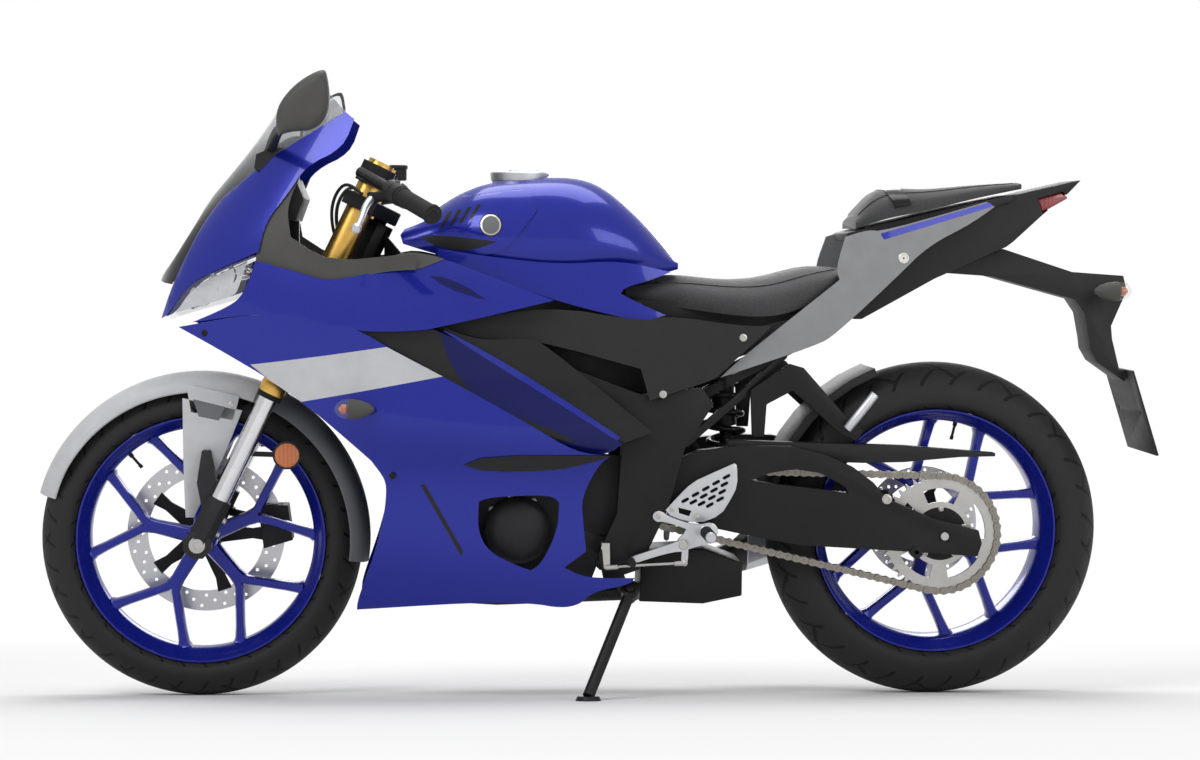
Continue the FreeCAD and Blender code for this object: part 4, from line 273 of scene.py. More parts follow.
def rounded(outline, times=2, sharp=48.0):
    """A pixel outline with its soft corners cut round and its sharp ones kept."""
    for _ in range(times):
        smooth = []
        for before, here, after in zip(outline[-1:] + outline[:-1], outline, outline[1:] + outline[:1]):
            first = Vector(here) - Vector(before)
            second = Vector(after) - Vector(here)
            if first.length and second.length and first.angle(second) < math.radians(sharp):
                smooth += [tuple(Vector(here) - first * 0.25), tuple(Vector(here) + second * 0.25)]
            else:
                smooth.append(tuple(here))
        outline = smooth
    return outline


def ring(centre, axis, radius, sides):
    """Points on a circle about an axis."""
    axis = Vector(axis).normalized()
    first = axis.cross(Vector((0.0, 0.0, 1.0)))
    if first.length < 0.1:
        first = axis.cross(Vector((1.0, 0.0, 0.0)))
    first.normalize()
    second = axis.cross(first)
    steps = [2 * math.pi * index / sides for index in range(sides)]
    return [centre + first * (radius * math.cos(a)) + second * (radius * math.sin(a)) for a in steps]


class Shape:
    """Collects the faces of one piece in the upright bike's frame, in metres."""

    def __init__(self):
        self.mesh = bmesh.new()
        self.finishes = []

    def slot(self, finish):
        """The index of a finish's name among the piece's own."""
        if finish not in self.finishes:
            self.finishes.append(finish)
        return self.finishes.index(finish)

    def face(self, corners, slot):
        """Adds a face, unless there is one on the same corners."""
        try:
            self.mesh.faces.new(corners).material_index = slot
        except ValueError:
            pass

    def loft(self, rings, finish, closed=False, ends=True):
        """Faces through closed rings of as many points each."""
        slot = self.slot(finish)
        rows = [[self.mesh.verts.new(point) for point in points] for points in rings]
        pairs = list(zip(rows, rows[1:])) + ([(rows[-1], rows[0])] if closed else [])
        for first, second in pairs:
            for index in range(len(first)):
                after = (index + 1) % len(first)
                self.face([first[index], first[after], second[after], second[index]], slot)
        if ends and not closed:
            self.face(rows[0][::-1], slot)
            self.face(rows[-1], slot)
        return self

    def turned(self, profile, start, axis, finish, sides=48, ends=True):
        """A turned part: (distance along the axis, radius) stations from a starting point."""
        axis = Vector(axis).normalized()
        rings = [ring(start + axis * reach, axis, max(radius, 0.0002), sides) for reach, radius in profile]
        return self.loft(rings, finish, ends=ends)

    def hoop(self, profile, centre, finish, sides=96):
        """A closed profile of (side, radius) points swept round a wheel's axle."""
        rings = []
        for index in range(sides):
            angle = 2 * math.pi * index / sides
            out = Vector((math.cos(angle), 0.0, math.sin(angle)))
            rings.append([centre + out * radius + Vector((0.0, side, 0.0)) for side, radius in profile])
        return self.loft(rings, finish, closed=True)

    def tube(self, points, radius, finish, sides=16, taper=None):
        """A round bar or hose along a line of points."""
        points = [Vector(point) for point in points]
        rings = []
        guide = Vector((0.0, 1.0, 0.0))
        for index, point in enumerate(points):
            run = (points[min(index + 1, len(points) - 1)] - points[max(index - 1, 0)]).normalized()
            first = guide - run * guide.dot(run)
            if first.length < 0.05:
                first = run.orthogonal()
            first.normalize()
            guide = first
            second = run.cross(first)
            wide = taper[index] if taper else radius
            steps = [2 * math.pi * step / sides for step in range(sides)]
            rings.append([point + first * (wide * math.cos(a)) + second * (wide * math.sin(a))
                          for a in steps])
        return self.loft(rings, finish)

    def slab(self, outline, near, far, finish):
        """A pixel outline, as seen at the near side, made a solid between two side distances."""
        points = drawn(outline, near)
        return self.loft([points, moved(points, far)], finish)

    def plate(self, outline, holes, origin, axes, thickness, finish):
        """A flat plate with holes: 2D outlines in the plane of two axes, given a thickness."""
        loops = [outline] + list(holes)
        corners = [Vector(point) for loop in loops for point in loop]
        edges = []
        start = 0
        for loop in loops:
            edges += [(start + index, start + (index + 1) % len(loop)) for index in range(len(loop))]
            start += len(loop)
        points, _, faces, _, _, _ = delaunay_2d_cdt(corners, edges, [], 0, 1e-7)
        slot = self.slot(finish)
        across, up = axes
        normal = across.cross(up).normalized()
        levels = []
        for depth in (-thickness / 2, thickness / 2):
            places = [origin + across * point.x + up * point.y + normal * depth for point in points]
            levels.append([self.mesh.verts.new(place) for place in places])
        kept = []
        for face in faces:
            middle = sum((points[index] for index in face), Vector((0.0, 0.0))) / len(face)
            if inside(middle, outline) and not any(inside(middle, hole) for hole in holes):
                kept.append(face)
        for face in kept:
            self.face([levels[0][index] for index in reversed(face)], slot)
            self.face([levels[1][index] for index in face], slot)
        runs = {}
        for face in kept:
            runs.update(dict.fromkeys(zip(face, list(face[1:]) + [face[0]])))
        for first, second in runs:
            if (second, first) not in runs:
                self.face([levels[0][first], levels[0][second], levels[1][second], levels[1][first]], slot)
        return self

    def add(self, obj, finish):
        """Takes in another object's mesh, already in the upright frame, and removes the object."""
        slot = self.slot(finish)
        before = len(self.mesh.faces)
        self.mesh.from_mesh(obj.data)
        self.mesh.faces.ensure_lookup_table()
        for index in range(before, len(self.mesh.faces)):
            self.mesh.faces[index].material_index = slot
        bpy.data.objects.remove(obj)
        return self

    def mirrored(self):
        """Adds the other side's twin of all the faces."""
        mesh = self.mesh
        twin = bmesh.ops.duplicate(mesh, geom=mesh.verts[:] + mesh.edges[:] + mesh.faces[:])["geom"]
        for vert in [item for item in twin if isinstance(item, bmesh.types.BMVert)]:
            vert.co.y = -vert.co.y
        bmesh.ops.reverse_faces(mesh, faces=[item for item in twin if isinstance(item, bmesh.types.BMFace)])
        return self

    def plain(self, name):
        """The mesh as a plain object in the upright frame, for a cut."""
        bmesh.ops.recalc_face_normals(self.mesh, faces=self.mesh.faces[:])
        data = bpy.data.meshes.new(name)
        self.mesh.to_mesh(data)
        self.mesh.free()
        obj = bpy.data.objects.new(name, data)
        bpy.context.scene.collection.objects.link(obj)
        return obj

    def finish(self, name, body, nodes=(), angle=35.0, bevel=0.0, segments=2, merge=1e-5):
        """Stands the piece on its stand, gives it to its body and lets it replace CAD nodes."""
        bmesh.ops.remove_doubles(self.mesh, verts=self.mesh.verts[:], dist=merge)
        bmesh.ops.recalc_face_normals(self.mesh, faces=self.mesh.faces[:])
        data = bpy.data.meshes.new(name)
        self.mesh.to_mesh(data)
        self.mesh.free()
        data.transform(STAND)
        for finish in self.finishes:
            data.materials.append(FINISH[finish])
        obj = bpy.data.objects.new(name, data)
        bpy.context.scene.collection.objects.link(obj)
        return settle(obj, body, nodes, angle, bevel, segments)


def settle(obj, body, nodes=(), angle=35.0, bevel=0.0, segments=2, limit=30.0):
    """Rounds a piece's edges, shades it smooth and hands it to its body."""
    if bevel:
        edge = obj.modifiers.new("Rounded edges", "BEVEL")
        edge.width = bevel
        edge.segments = segments
        edge.limit_method = "ANGLE"
        edge.angle_limit = math.radians(limit)
        solid = baked(obj)
        obj.modifiers.clear()
        obj.data = solid
    obj.data.shade_smooth()
    obj.data.set_sharp_from_angle(angle=math.radians(angle))
    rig.ride(obj, body)
    if nodes:
        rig.replaces(obj, *nodes)
    return obj


def tint(obj, finish, test):
    """Gives the faces whose middles pass the test, in the upright frame, another finish."""
    back = STAND.inverted()
    obj.data.materials.append(FINISH[finish])
    slot = len(obj.data.materials) - 1
    for polygon in obj.data.polygons:
        if test(back @ polygon.center):
            polygon.material_index = slot
    return obj


def baked(obj):
    """A plain mesh of the object with its modifiers."""
    bpy.context.view_layer.update()
    return bpy.data.meshes.new_from_object(obj.evaluated_get(bpy.context.evaluated_depsgraph_get()))


def inside(point, outline):
    """Whether a 2D point lies within an outline."""
    odd = False
    for first, second in zip(outline, list(outline[1:]) + [outline[0]]):
        if (first[1] > point[1]) != (second[1] > point[1]):
            cross = first[0] + (point[1] - first[1]) * (second[0] - first[0]) / (second[1] - first[1])
            if point[0] < cross:
                odd = not odd
    return odd


def carved(obj, tool, operation):
    """The object cut by, or kept within, another one, which is used up."""
    cut = obj.modifiers.new("Cut", "BOOLEAN")
    cut.operation = operation
    cut.solver = "EXACT"
    cut.object = tool
    solid = baked(obj)
    obj.modifiers.clear()
    obj.data = solid
    bpy.data.objects.remove(tool)
    return obj


def sight(outline, near, far):
    """The prism of all the points that show within a pixel outline, between two side distances."""
    return Shape().loft([drawn(outline, near), drawn(outline, far)], None).plain("sight")


# Points across a row of a bodywork skin, and steps from one row to the next
SKIN_POINTS = 44
SKIN_STEPS = 7


def skin(rows, half_width, wall):
    """The left half of a bodywork skin, smooth through its rows."""
    rings = []
    for front_px, rear_px, shares in rows:
        front = at(*front_px, 0.0)
        along = at(*rear_px, 0.0) - front
        outer = spline([(a * along.length, w * half_width) for a, w in shares], SKIN_POINTS)
        direction = along.normalized()
        inner = []
        for index, point in enumerate(outer):
            run = outer[min(index + 1, SKIN_POINTS - 1)] - outer[max(index - 1, 0)]
            run = run / np.linalg.norm(run)
            if index == 0 and point[1] < 0.001:
                run = np.array((0.0, 1.0))
            inner.append(point + np.array((run[1], -run[0])) * wall)
        rings.append([front + direction * p[0] + LEFT * p[1] for p in list(outer) + inner[::-1]])
    strands = [spline(strand, (len(rows) - 1) * SKIN_STEPS + 1) for strand in zip(*rings)]
    return Shape().loft([[Vector(point) for point in points] for points in zip(*strands)], None).plain("skin")


def skin_part(rows, half_width, wall, outline, holes=(), near=-0.30, far=0.0):
    """The part of a skin that shows within an outline, less what shows within the holes."""
    part = carved(skin(rows, half_width, wall), sight(outline, near, far), "INTERSECT")
    for hole in holes:
        part = carved(part, sight(hole, near, far), "DIFFERENCE")
    return part


def arched(stations, half_width, round_count, long_count):
    """A solid through arched sections: flat base, bulged sides and a round top."""
    arches = []
    for u, top_v, base_v, share, base_share in stations:
        top = at(u, top_v, 0.0)
        base = at(u, base_v, 0.0)
        wide = share * half_width
        rise = top.z - base.z
        side = [Vector((top.x, base_share * half_width, base.z)), Vector((top.x, wide, base.z + 0.42 * rise)),
                Vector((top.x, 0.72 * wide, base.z + 0.84 * rise))]
        line = [beside(point, -point.y) for point in side] + [beside(top, 0.0)] + side[::-1]
        arches.append(spline(line, round_count))
    strands = [spline(strand, long_count) for strand in zip(*arches)]
    return [[Vector(point) for point in points] for points in zip(*strands)]


# Finishes


class Num:
    """A shader value whose arithmetic adds Math nodes."""

    def __init__(self, tree, socket):
        self.tree = tree
        self.socket = socket

    def math(self, operation, *values):
        """The result of a Math node."""
        node = self.tree.nodes.new("ShaderNodeMath")
        node.operation = operation
        for slot, value in zip(node.inputs, values):
            if isinstance(value, Num):
                self.tree.links.new(value.socket, slot)
            else:
                slot.default_value = value
        return Num(self.tree, node.outputs[0])

    def __add__(self, other):
        return self.math("ADD", self, other)

    __radd__ = __add__

    def __sub__(self, other):
        return self.math("SUBTRACT", self, other)

    def __rsub__(self, other):
        return self.math("SUBTRACT", other, self)

    def __mul__(self, other):
        return self.math("MULTIPLY", self, other)

    __rmul__ = __mul__

    def __truediv__(self, other):
        return self.math("DIVIDE", self, other)

    def wave(self):
        """The sine of the value."""
        return self.math("SINE", self)

    def size(self):
        """The value without its sign."""
        return self.math("ABSOLUTE", self)

    def part(self):
        """The fraction over the whole number below."""
        return self.math("FRACT", self)

    def clamped(self):
        """The value kept between 0 and 1."""
        return self.math("MINIMUM", self.math("MAXIMUM", self, 0.0), 1.0)


class Finish:
    """One procedural material on the Principled shader."""

    def __init__(self, name, colour, rough, metal=0.0, **sockets):
        self.material = bpy.data.materials.new(name)
        self.material.use_nodes = True
        self.tree = self.material.node_tree
        self.shader = self.tree.nodes["Principled BSDF"]
        self.set(Base_Color=(*colour, 1.0), Roughness=rough, Metallic=metal, **sockets)

    def set(self, **sockets):
        """Sets or links the shader's inputs."""
        for name, value in sockets.items():
            self.join(value, self.shader.inputs[name.replace("_", " ")])
        return self

    def join(self, value, slot):
        """Links a value to a socket, or sets a plain one there."""
        if isinstance(value, Num):
            value = value.socket
        if isinstance(value, bpy.types.NodeSocket):
            self.tree.links.new(value, slot)
        else:
            slot.default_value = value

    def node(self, kind, settings=None, **sockets):
        """A node of a kind, its settings set first and then its sockets."""
        node = self.tree.nodes.new("ShaderNode" + kind)
        for name, value in (settings or {}).items():
            setattr(node, name, value)
        for name, value in sockets.items():
            self.join(value, node.inputs[name.replace("_", " ")])
        return node

    def num(self, socket):
        """A socket as a value for arithmetic."""
        return Num(self.tree, socket)

    def place(self, centre=None):
        """Object coordinates, or those about a point of the upright bike with the lean taken out."""
        spot = self.node("TexCoord").outputs["Object"]
        if centre is None:
            return spot
        shift = -(Matrix.Rotation(-LEAN, 4, "X") @ (STAND @ centre))
        upright = self.node("Mapping", Vector=spot, Rotation=(-LEAN, 0.0, 0.0)).outputs[0]
        return self.node("Mapping", Vector=upright, Location=shift).outputs[0]

    def axes(self, centre=None):
        """The three coordinates as values."""
        parts = self.node("SeparateXYZ", Vector=self.place(centre)).outputs
        return [self.num(parts[index]) for index in range(3)]

    def noise(self, scale, detail):
        """Smooth noise over the piece."""
        return self.num(self.node("TexNoise", Vector=self.place(), Scale=scale, Detail=detail).outputs[0])

    def cells(self, scale):
        """Distances to the middles of small cells over the piece."""
        return self.num(self.node("TexVoronoi", Vector=self.place(), Scale=scale).outputs[0])

    def mix(self, share, first, second):
        """A mix of two colours or of links to them."""
        node = self.node("Mix", {"data_type": "RGBA"})
        for slot, value in ((0, share), (6, first), (7, second)):
            if isinstance(value, tuple) and len(value) == 3:
                value = (*value, 1.0)
            self.join(value, node.inputs[slot])
        return node.outputs[2]

    def bump(self, height, depth, strength=1.0):
        """Gives the finish a relief of a depth in metres."""
        node = self.node("Bump", Height=height, Distance=depth, Strength=strength)
        return self.set(Normal=node.outputs[0])


def lighter(colour, times):
    """A colour brightened by a factor."""
    return tuple(min(1.0, channel * times) for channel in colour)


def paint(name, colour, light, rough=0.22, metal=0.55, coat=1.0):
    """Lacquered metallic paint: flakes in two tones under a clear coat with slight peel."""
    made = Finish(name, colour, rough, metal, Coat_Weight=coat, Coat_Roughness=0.04, Specular_IOR_Level=0.2)
    flakes = made.cells(1400.0)
    made.set(Base_Color=made.mix((flakes * 1.1).clamped(), colour, light))
    made.set(Roughness=made.noise(35.0, 3.0) * 0.10 + (rough - 0.05))
    return made.bump(made.noise(190.0, 1.0), 0.00012, 0.35)


def plastic(name, colour, rough=0.55, grain=0.0, scale=900.0):
    """Moulded plastic with a fine or a coarse grain."""
    made = Finish(name, colour, rough, 0.0, Specular_IOR_Level=0.25)
    wear = made.noise(28.0, 4.0)
    made.set(Base_Color=made.mix(wear, lighter(colour, 0.88), lighter(colour, 1.16)))
    made.set(Roughness=made.noise(60.0, 3.0) * 0.14 + (rough - 0.07))
    return made.bump(made.cells(scale) + made.noise(scale / 2, 2.0), 0.0002 + grain, 0.5)


def metal(name, colour, rough=0.3, cast=0.0, scale=700.0, metallic=1.0):
    """Metal with fine machining or a cast grain."""
    made = Finish(name, colour, rough, metallic, Specular_IOR_Level=0.25)
    made.set(Roughness=made.noise(90.0, 4.0) * 0.18 + (rough - 0.09))
    spots = made.noise(40.0, 3.0)
    made.set(Base_Color=made.mix(spots, lighter(colour, 0.85), lighter(colour, 1.1)))
    return made.bump(made.noise(scale, 2.0), 0.00001 + cast, 0.4)


def tyre_finish(name, centre, pairs, crown):
    """Tyre rubber: slanted tread grooves over the crown, their colour darkened as painted shade, and fine rings on the
    sidewalls.
    """
    made = Finish(name, (0.018, 0.018, 0.019), 0.62, 0.0, Specular_IOR_Level=0.2)
    along, side, up = made.axes(centre)
    turn = up.math("ARCTAN2", up, along) * (pairs / (2 * math.pi))
    reach = side.size()
    radius = up.math("SQRT", along * along + up * up)
    slant = (turn + reach * 14.0).part() - 0.5
    long_groove = ((0.055 - slant.size()) * 60.0).clamped() * ((reach - 0.010) * 400.0).clamped()
    long_groove = long_groove * ((crown * 0.80 - reach) * 400.0).clamped()
    second = (turn * 2.0 - reach * 22.0 + 0.3).part() - 0.5
    short_groove = ((0.07 - second.size()) * 50.0).clamped() * ((reach - crown * 0.55) * 500.0).clamped()
    short_groove = short_groove * ((crown * 0.92 - reach) * 500.0).clamped()
    groove = long_groove.math("MAXIMUM", long_groove, short_groove)
    rings = (radius * 1400.0).wave() * 0.10 * ((crown * 5.2 - radius) * 60.0).clamped()
    # The grooves' darker colour is painted shade in the tread's recesses; their relief comes from the bump.
    made.set(Base_Color=made.mix(groove, (0.020, 0.020, 0.021), (0.006, 0.006, 0.006)))
    made.set(Roughness=made.noise(70.0, 4.0) * 0.2 + 0.52)
    return made.bump(0.0 - groove + rings * 0.25 + made.noise(900.0, 1.0) * 0.03, sizes().tread_depth, 1.0)


def disc_finish(name, centre):
    """Ground brake steel with rings from the pads."""
    made = Finish(name, (0.56, 0.56, 0.58), 0.28, 1.0)
    along, _, up = made.axes(centre)
    radius = up.math("SQRT", along * along + up * up)
    rings = (radius * 2600.0 + made.noise(12.0, 1.0) * 3.0).wave()
    made.set(Roughness=rings * 0.05 + 0.30)
    made.set(Base_Color=made.mix((rings * 0.5 + 0.5).clamped(), (0.46, 0.46, 0.48), (0.62, 0.62, 0.64)))
    return made.bump(rings, 0.00005, 0.5)


def seat_finish():
    """Grained seat cover."""
    cover = tuple(colours().seat)
    made = Finish("Cushion cover", cover, 0.6, 0.0, Sheen_Weight=0.1, Specular_IOR_Level=0.25)
    grain = made.cells(620.0)
    made.set(Base_Color=made.mix(grain.clamped(), lighter(cover, 0.6), lighter(cover, 1.6)))
    made.set(Roughness=made.noise(40.0, 3.0) * 0.18 + 0.5)
    return made.bump(grain + made.noise(300.0, 3.0) * 0.6, 0.0006, 0.6)


def screen_finish():
    """Clear plastic, smoked towards its foot."""
    made = Finish("Screen plastic", (0.02, 0.022, 0.026), 0.10, 0.0, IOR=1.35)
    _, _, up = made.axes(Vector())
    smoke = ((1.05 - up) * 7.0).clamped()
    made.set(Base_Color=made.mix(smoke, (0.20, 0.21, 0.22), (0.008, 0.008, 0.009)))
    made.set(Alpha=(smoke * 0.72 + 0.24 + made.noise(5.0, 1.0) * 0.03).clamped())
    made.set(Roughness=made.noise(30.0, 2.0) * 0.05 + 0.04)
    return made


def lens_finish(name, colour, deep, alpha, ribs=420.0):
    """Moulded lens plastic with ribs."""
    made = Finish(name, colour, 0.12, 0.0, Coat_Weight=1.0, IOR=1.49)
    along, side, up = made.axes(Vector())
    rib = ((along + up) * ribs * 2.0).wave() * ((side - up) * ribs * 2.0).wave()
    made.set(Base_Color=made.mix((rib * 0.5 + 0.5).clamped(), colour, deep))
    made.set(Alpha=(made.noise(9.0, 1.0) * 0.04 + alpha).clamped())
    return made.bump(rib, 0.0004, 0.5)


def finishes():
    """All the bike's finishes by name, from the sidebar's colours."""
    chosen = colours()
    blue = tuple(chosen.lacquer)
    black = tuple(chosen.black)
    count = sizes()
    made = {
        "body": paint("Blue lacquer", blue, lighter(blue, 1.9), 0.24, 0.30, 0.45),
        # The liner is the body blue at 0.3 of its brightness, a darkened copy that paints shade in the ducts and the
        # scoop.
        "liner": paint("Liner blue darkened as painted shade", lighter(blue, 0.3), lighter(blue, 0.6), 0.38, 0.3, 0.2),
        "wheel": paint("Blue wheel lacquer", lighter(blue, 0.9), lighter(blue, 1.7), 0.28, 0.35, 0.4),
        "silver": plastic("Silver panel", tuple(chosen.silver), 0.40, 0.0, 1500.0),
        # The tail panels take the silver at half brightness, a darkened copy of it: painted shade.
        "shaded_silver": plastic("Silver panel darkened as painted shade", lighter(chosen.silver, 0.5), 0.42, 0.0, 1500.0),
        "grey": plastic("Dark grey panel", (0.13, 0.135, 0.145), 0.45, 0.0, 1400.0),
        "trim": plastic("Satin grey moulding", (0.064, 0.063, 0.060), 0.5, 0.0001, 900.0),
        "plastic": plastic("Black moulding", black, 0.52, 0.0001, 800.0),
        "gloss": plastic("Gloss black", (0.012, 0.012, 0.013), 0.22, 0.0, 300.0),
        "rubber": plastic("Rubber", (0.014, 0.014, 0.015), 0.75, 0.0002, 600.0),
        "black": metal("Satin black metal", black, 0.45, 0.00005, 500.0, 0.4),
        "cast": metal("Cast black metal", (0.028, 0.028, 0.030), 0.55, 0.0002, 420.0, 0.5),
        "gold": metal("Gold anodised tube", tuple(chosen.gold), 0.33, 0.0, 900.0),
        "chrome": metal("Hard chrome", (0.72, 0.72, 0.74), 0.14, 0.0, 1200.0),
        "alloy": metal("Bare alloy", (0.56, 0.57, 0.59), 0.38, 0.0001, 500.0, 0.85),
        "steel": metal("Plated steel", (0.48, 0.47, 0.45), 0.32, 0.0, 900.0, 0.9),
        "nickel": metal("Chain steel", (0.27, 0.25, 0.22), 0.38, 0.0, 900.0, 0.8),
        "front_tyre": tyre_finish("Front tyre rubber", FRONT_AXLE, float(count.front_grooves), 0.054),
        "rear_tyre": tyre_finish("Rear tyre rubber", REAR_AXLE, float(count.rear_grooves), 0.070),
        "front_disc": disc_finish("Front disc steel", FRONT_AXLE),
        "rear_disc": disc_finish("Rear disc steel", REAR_AXLE),
        "seat": seat_finish(),
        "screen": screen_finish(),
        "lens": lens_finish("Clear lens", (0.42, 0.45, 0.48), (0.30, 0.33, 0.37), 0.10, 60.0),
        "red": lens_finish("Red lens", tuple(chosen.tail_lens), lighter(chosen.tail_lens, 0.4), 0.97),
        "orange": lens_finish("Orange lens", tuple(chosen.indicator), lighter(chosen.indicator, 0.6), 0.98),
        "mirror": metal("Mirror glass", (0.80, 0.82, 0.84), 0.08, 0.0, 1500.0),
    }
    return {name: item.material for name, item in made.items()}


FINISH = {}


# Pieces that repeat


def repeat_tree():
    """Copies of one item on the points of a line, turned by the points' own directions."""
    tree = bpy.data.node_groups.get("Repeat on points")
    if tree is not None:
        return tree
    tree = bpy.data.node_groups.new("Repeat on points", "GeometryNodeTree")
    sockets = (("Geometry", "NodeSocketGeometry"), ("Item", "NodeSocketObject"), ("Size", "NodeSocketFloat"),
               ("Finish", "NodeSocketMaterial"))
    for name, kind in sockets:
        tree.interface.new_socket(name=name, in_out="INPUT", socket_type=kind)
    tree.interface.new_socket(name="Geometry", in_out="OUTPUT", socket_type="NodeSocketGeometry")
    new = tree.nodes.new
    start = new("NodeGroupInput")
    end = new("NodeGroupOutput")
    item = new("GeometryNodeObjectInfo")
    copies = new("GeometryNodeInstanceOnPoints")
    solid = new("GeometryNodeRealizeInstances")
    coat = new("GeometryNodeSetMaterial")
    turns = []
    for name, axis in (("aim", "Z"), ("side", "X")):
        known = new("GeometryNodeInputNamedAttribute")
        known.data_type = "FLOAT_VECTOR"
        known.inputs["Name"].default_value = name
        turn = new("FunctionNodeAlignRotationToVector")
        turn.axis = axis
        turn.pivot_axis = "AUTO" if axis == "Z" else "Z"
        tree.links.new([s for s in known.outputs if s.enabled][0], turn.inputs["Vector"])
        if turns:
            tree.links.new(turns[-1].outputs[0], turn.inputs["Rotation"])
        turns.append(turn)
    link = tree.links.new
    link(start.outputs["Item"], item.inputs["Object"])
    link(start.outputs["Geometry"], copies.inputs["Points"])
    link(item.outputs["Geometry"], copies.inputs["Instance"])
    link(turns[-1].outputs[0], copies.inputs["Rotation"])
    link(start.outputs["Size"], copies.inputs["Scale"])
    link(copies.outputs[0], solid.inputs[0])
    link(solid.outputs[0], coat.inputs["Geometry"])
    link(start.outputs["Finish"], coat.inputs["Material"])
    link(coat.outputs[0], end.inputs[0])
    return tree


def repeated(name, item, places, finish, body):
    """A piece made of an item's copies at (point, aim, side) places of the upright bike."""
    line = bpy.data.meshes.new(name)
    line.from_pydata([STAND @ Vector(point) for point, _, _ in places], [], [])
    turn = STAND.to_3x3()
    for index, key in ((1, "aim"), (2, "side")):
        values = line.attributes.new(key, "FLOAT_VECTOR", "POINT").data
        for value, place in zip(values, places):
            value.vector = turn @ Vector(place[index])
    obj = bpy.data.objects.new(name, line)
    bpy.context.scene.collection.objects.link(obj)
    copies = obj.modifiers.new("Repeat", "NODES")
    copies.node_group = repeat_tree()
    given = {"Item": item, "Size": 1.0, "Finish": FINISH[finish]}
    for socket in copies.node_group.interface.items_tree:
        if socket.in_out == "INPUT" and socket.name in given:
            copies[socket.identifier] = given[socket.name]
    solid = baked(obj)
    obj.modifiers.clear()
    obj.data = solid
    bpy.data.objects.remove(item)
    return settle(obj, body)


def bolt_item(radius, head):
    """A cap screw head at the origin, looking up Z, with a hexagon socket."""
    up = Vector((0.0, 0.0, 1.0))
    stations = [(0.0, radius * 1.25), (head * 0.2, radius * 1.25), (head * 0.25, radius),
                (head * 0.9, radius), (head, radius * 0.86), (head, radius * 0.55),
                (head * 0.45, radius * 0.5)]
    return Shape().loft([ring(up * reach, up, wide, 18) for reach, wide in stations], None).plain("bolt")


def bolts(name, places, radius, head, finish, body):
    """Screw heads at (point, direction) places, each looking along its direction."""
    aims = [Vector(aim).normalized() for _, aim in places]
    spots = [(point, aim, aim.orthogonal()) for (point, _), aim in zip(places, aims)]
    return repeated(name, bolt_item(radius, head), spots, finish, body)


def bolt_circle(centre, reach, count, first, way):
    """Even places on a circle round an axle, looking right where way is 1 and left where it is -1."""
    turns = [2 * math.pi * index / count + first for index in range(count)]
    return [(centre + Vector((reach * math.cos(a), 0.0, reach * math.sin(a))), Vector((0, way, 0)))
            for a in turns]


def both_sides(points):
    """Side points with their outward directions, and their twins on the right."""
    pairs = []
    for point in points:
        pairs += [(point, (0.0, -1.0, 0.0)), (beside(point, -point.y), (0.0, 1.0, 0.0))]
    return pairs


def dress(name, finish, bevel, angle, segments=2):
    """A CAD node's own shape with rounded edges and a finish."""
    node = FRAME["nodes"][name]
    mesh = bmesh.new()
    mesh.from_mesh(node.data)
    bmesh.ops.remove_doubles(mesh, verts=mesh.verts[:], dist=1e-5)
    bmesh.ops.dissolve_limit(mesh, angle_limit=math.radians(1.0), verts=mesh.verts[:], edges=mesh.edges[:])
    data = bpy.data.meshes.new(name + "_dressed")
    mesh.to_mesh(data)
    mesh.free()
    data.materials.clear()
    data.materials.append(FINISH[finish])
    data.polygons.foreach_set("material_index", [0] * len(data.polygons))
    obj = bpy.data.objects.new(name + "_dressed", data)
    bpy.context.scene.collection.objects.link(obj)
    return settle(obj, node["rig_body"], [name], angle, bevel, segments, limit=28.0)


# Wheels, brakes and chain


def circle(radius, sides, middle=(0.0, 0.0)):
    """Even points on a circle of the plane."""
    steps = [2 * math.pi * index / sides for index in range(sides)]
    return [(middle[0] + radius * math.cos(a), middle[1] + radius * math.sin(a)) for a in steps]


def make_tyres():
    """The two tyres: a round crown over bulged sidewalls, with their beads on the rims."""
    ends = (("front", FRONT_AXLE, 0.298, 0.054, 0.052, 0.043),
            ("rear", REAR_AXLE, 0.318, 0.070, 0.073, 0.056))
    for end, axle, radius, half, crown, rim_half in ends:
        right = [(crown * math.sin(math.radians(d)), radius - crown * (1 - math.cos(math.radians(d))))
                 for d in (0, 10, 20, 30, 40, 50, 57)]
        shoulder = right[-1]
        bead = (rim_half - 0.005, 0.2312)
        bulge = (half, 0.55 * 0.2305 + 0.45 * shoulder[1])
        side = spline([shoulder, bulge, (half * 0.965, 0.242), bead], 14)
        right += [tuple(point) for point in side[1:]]
        profile = [(-y, r) for y, r in reversed(right[1:])] + right
        profile += [(rim_half - 0.009, 0.2307), (0.0, radius - 0.012), (-(rim_half - 0.009), 0.2307)]
        Shape().hoop(profile, axle, end + "_tyre", 144).finish(
            end + "_tyre_rubber", end + "_wheel", [end + "_tyre"], angle=60)


SPOKE_SECTION = [(-1.0, -0.55), (-0.72, -0.95), (0.0, -1.0), (0.72, -0.95), (1.0, -0.55), (1.0, 0.55),
                 (0.72, 0.95), (0.0, 1.0), (-0.72, 0.95), (-1.0, 0.55)]


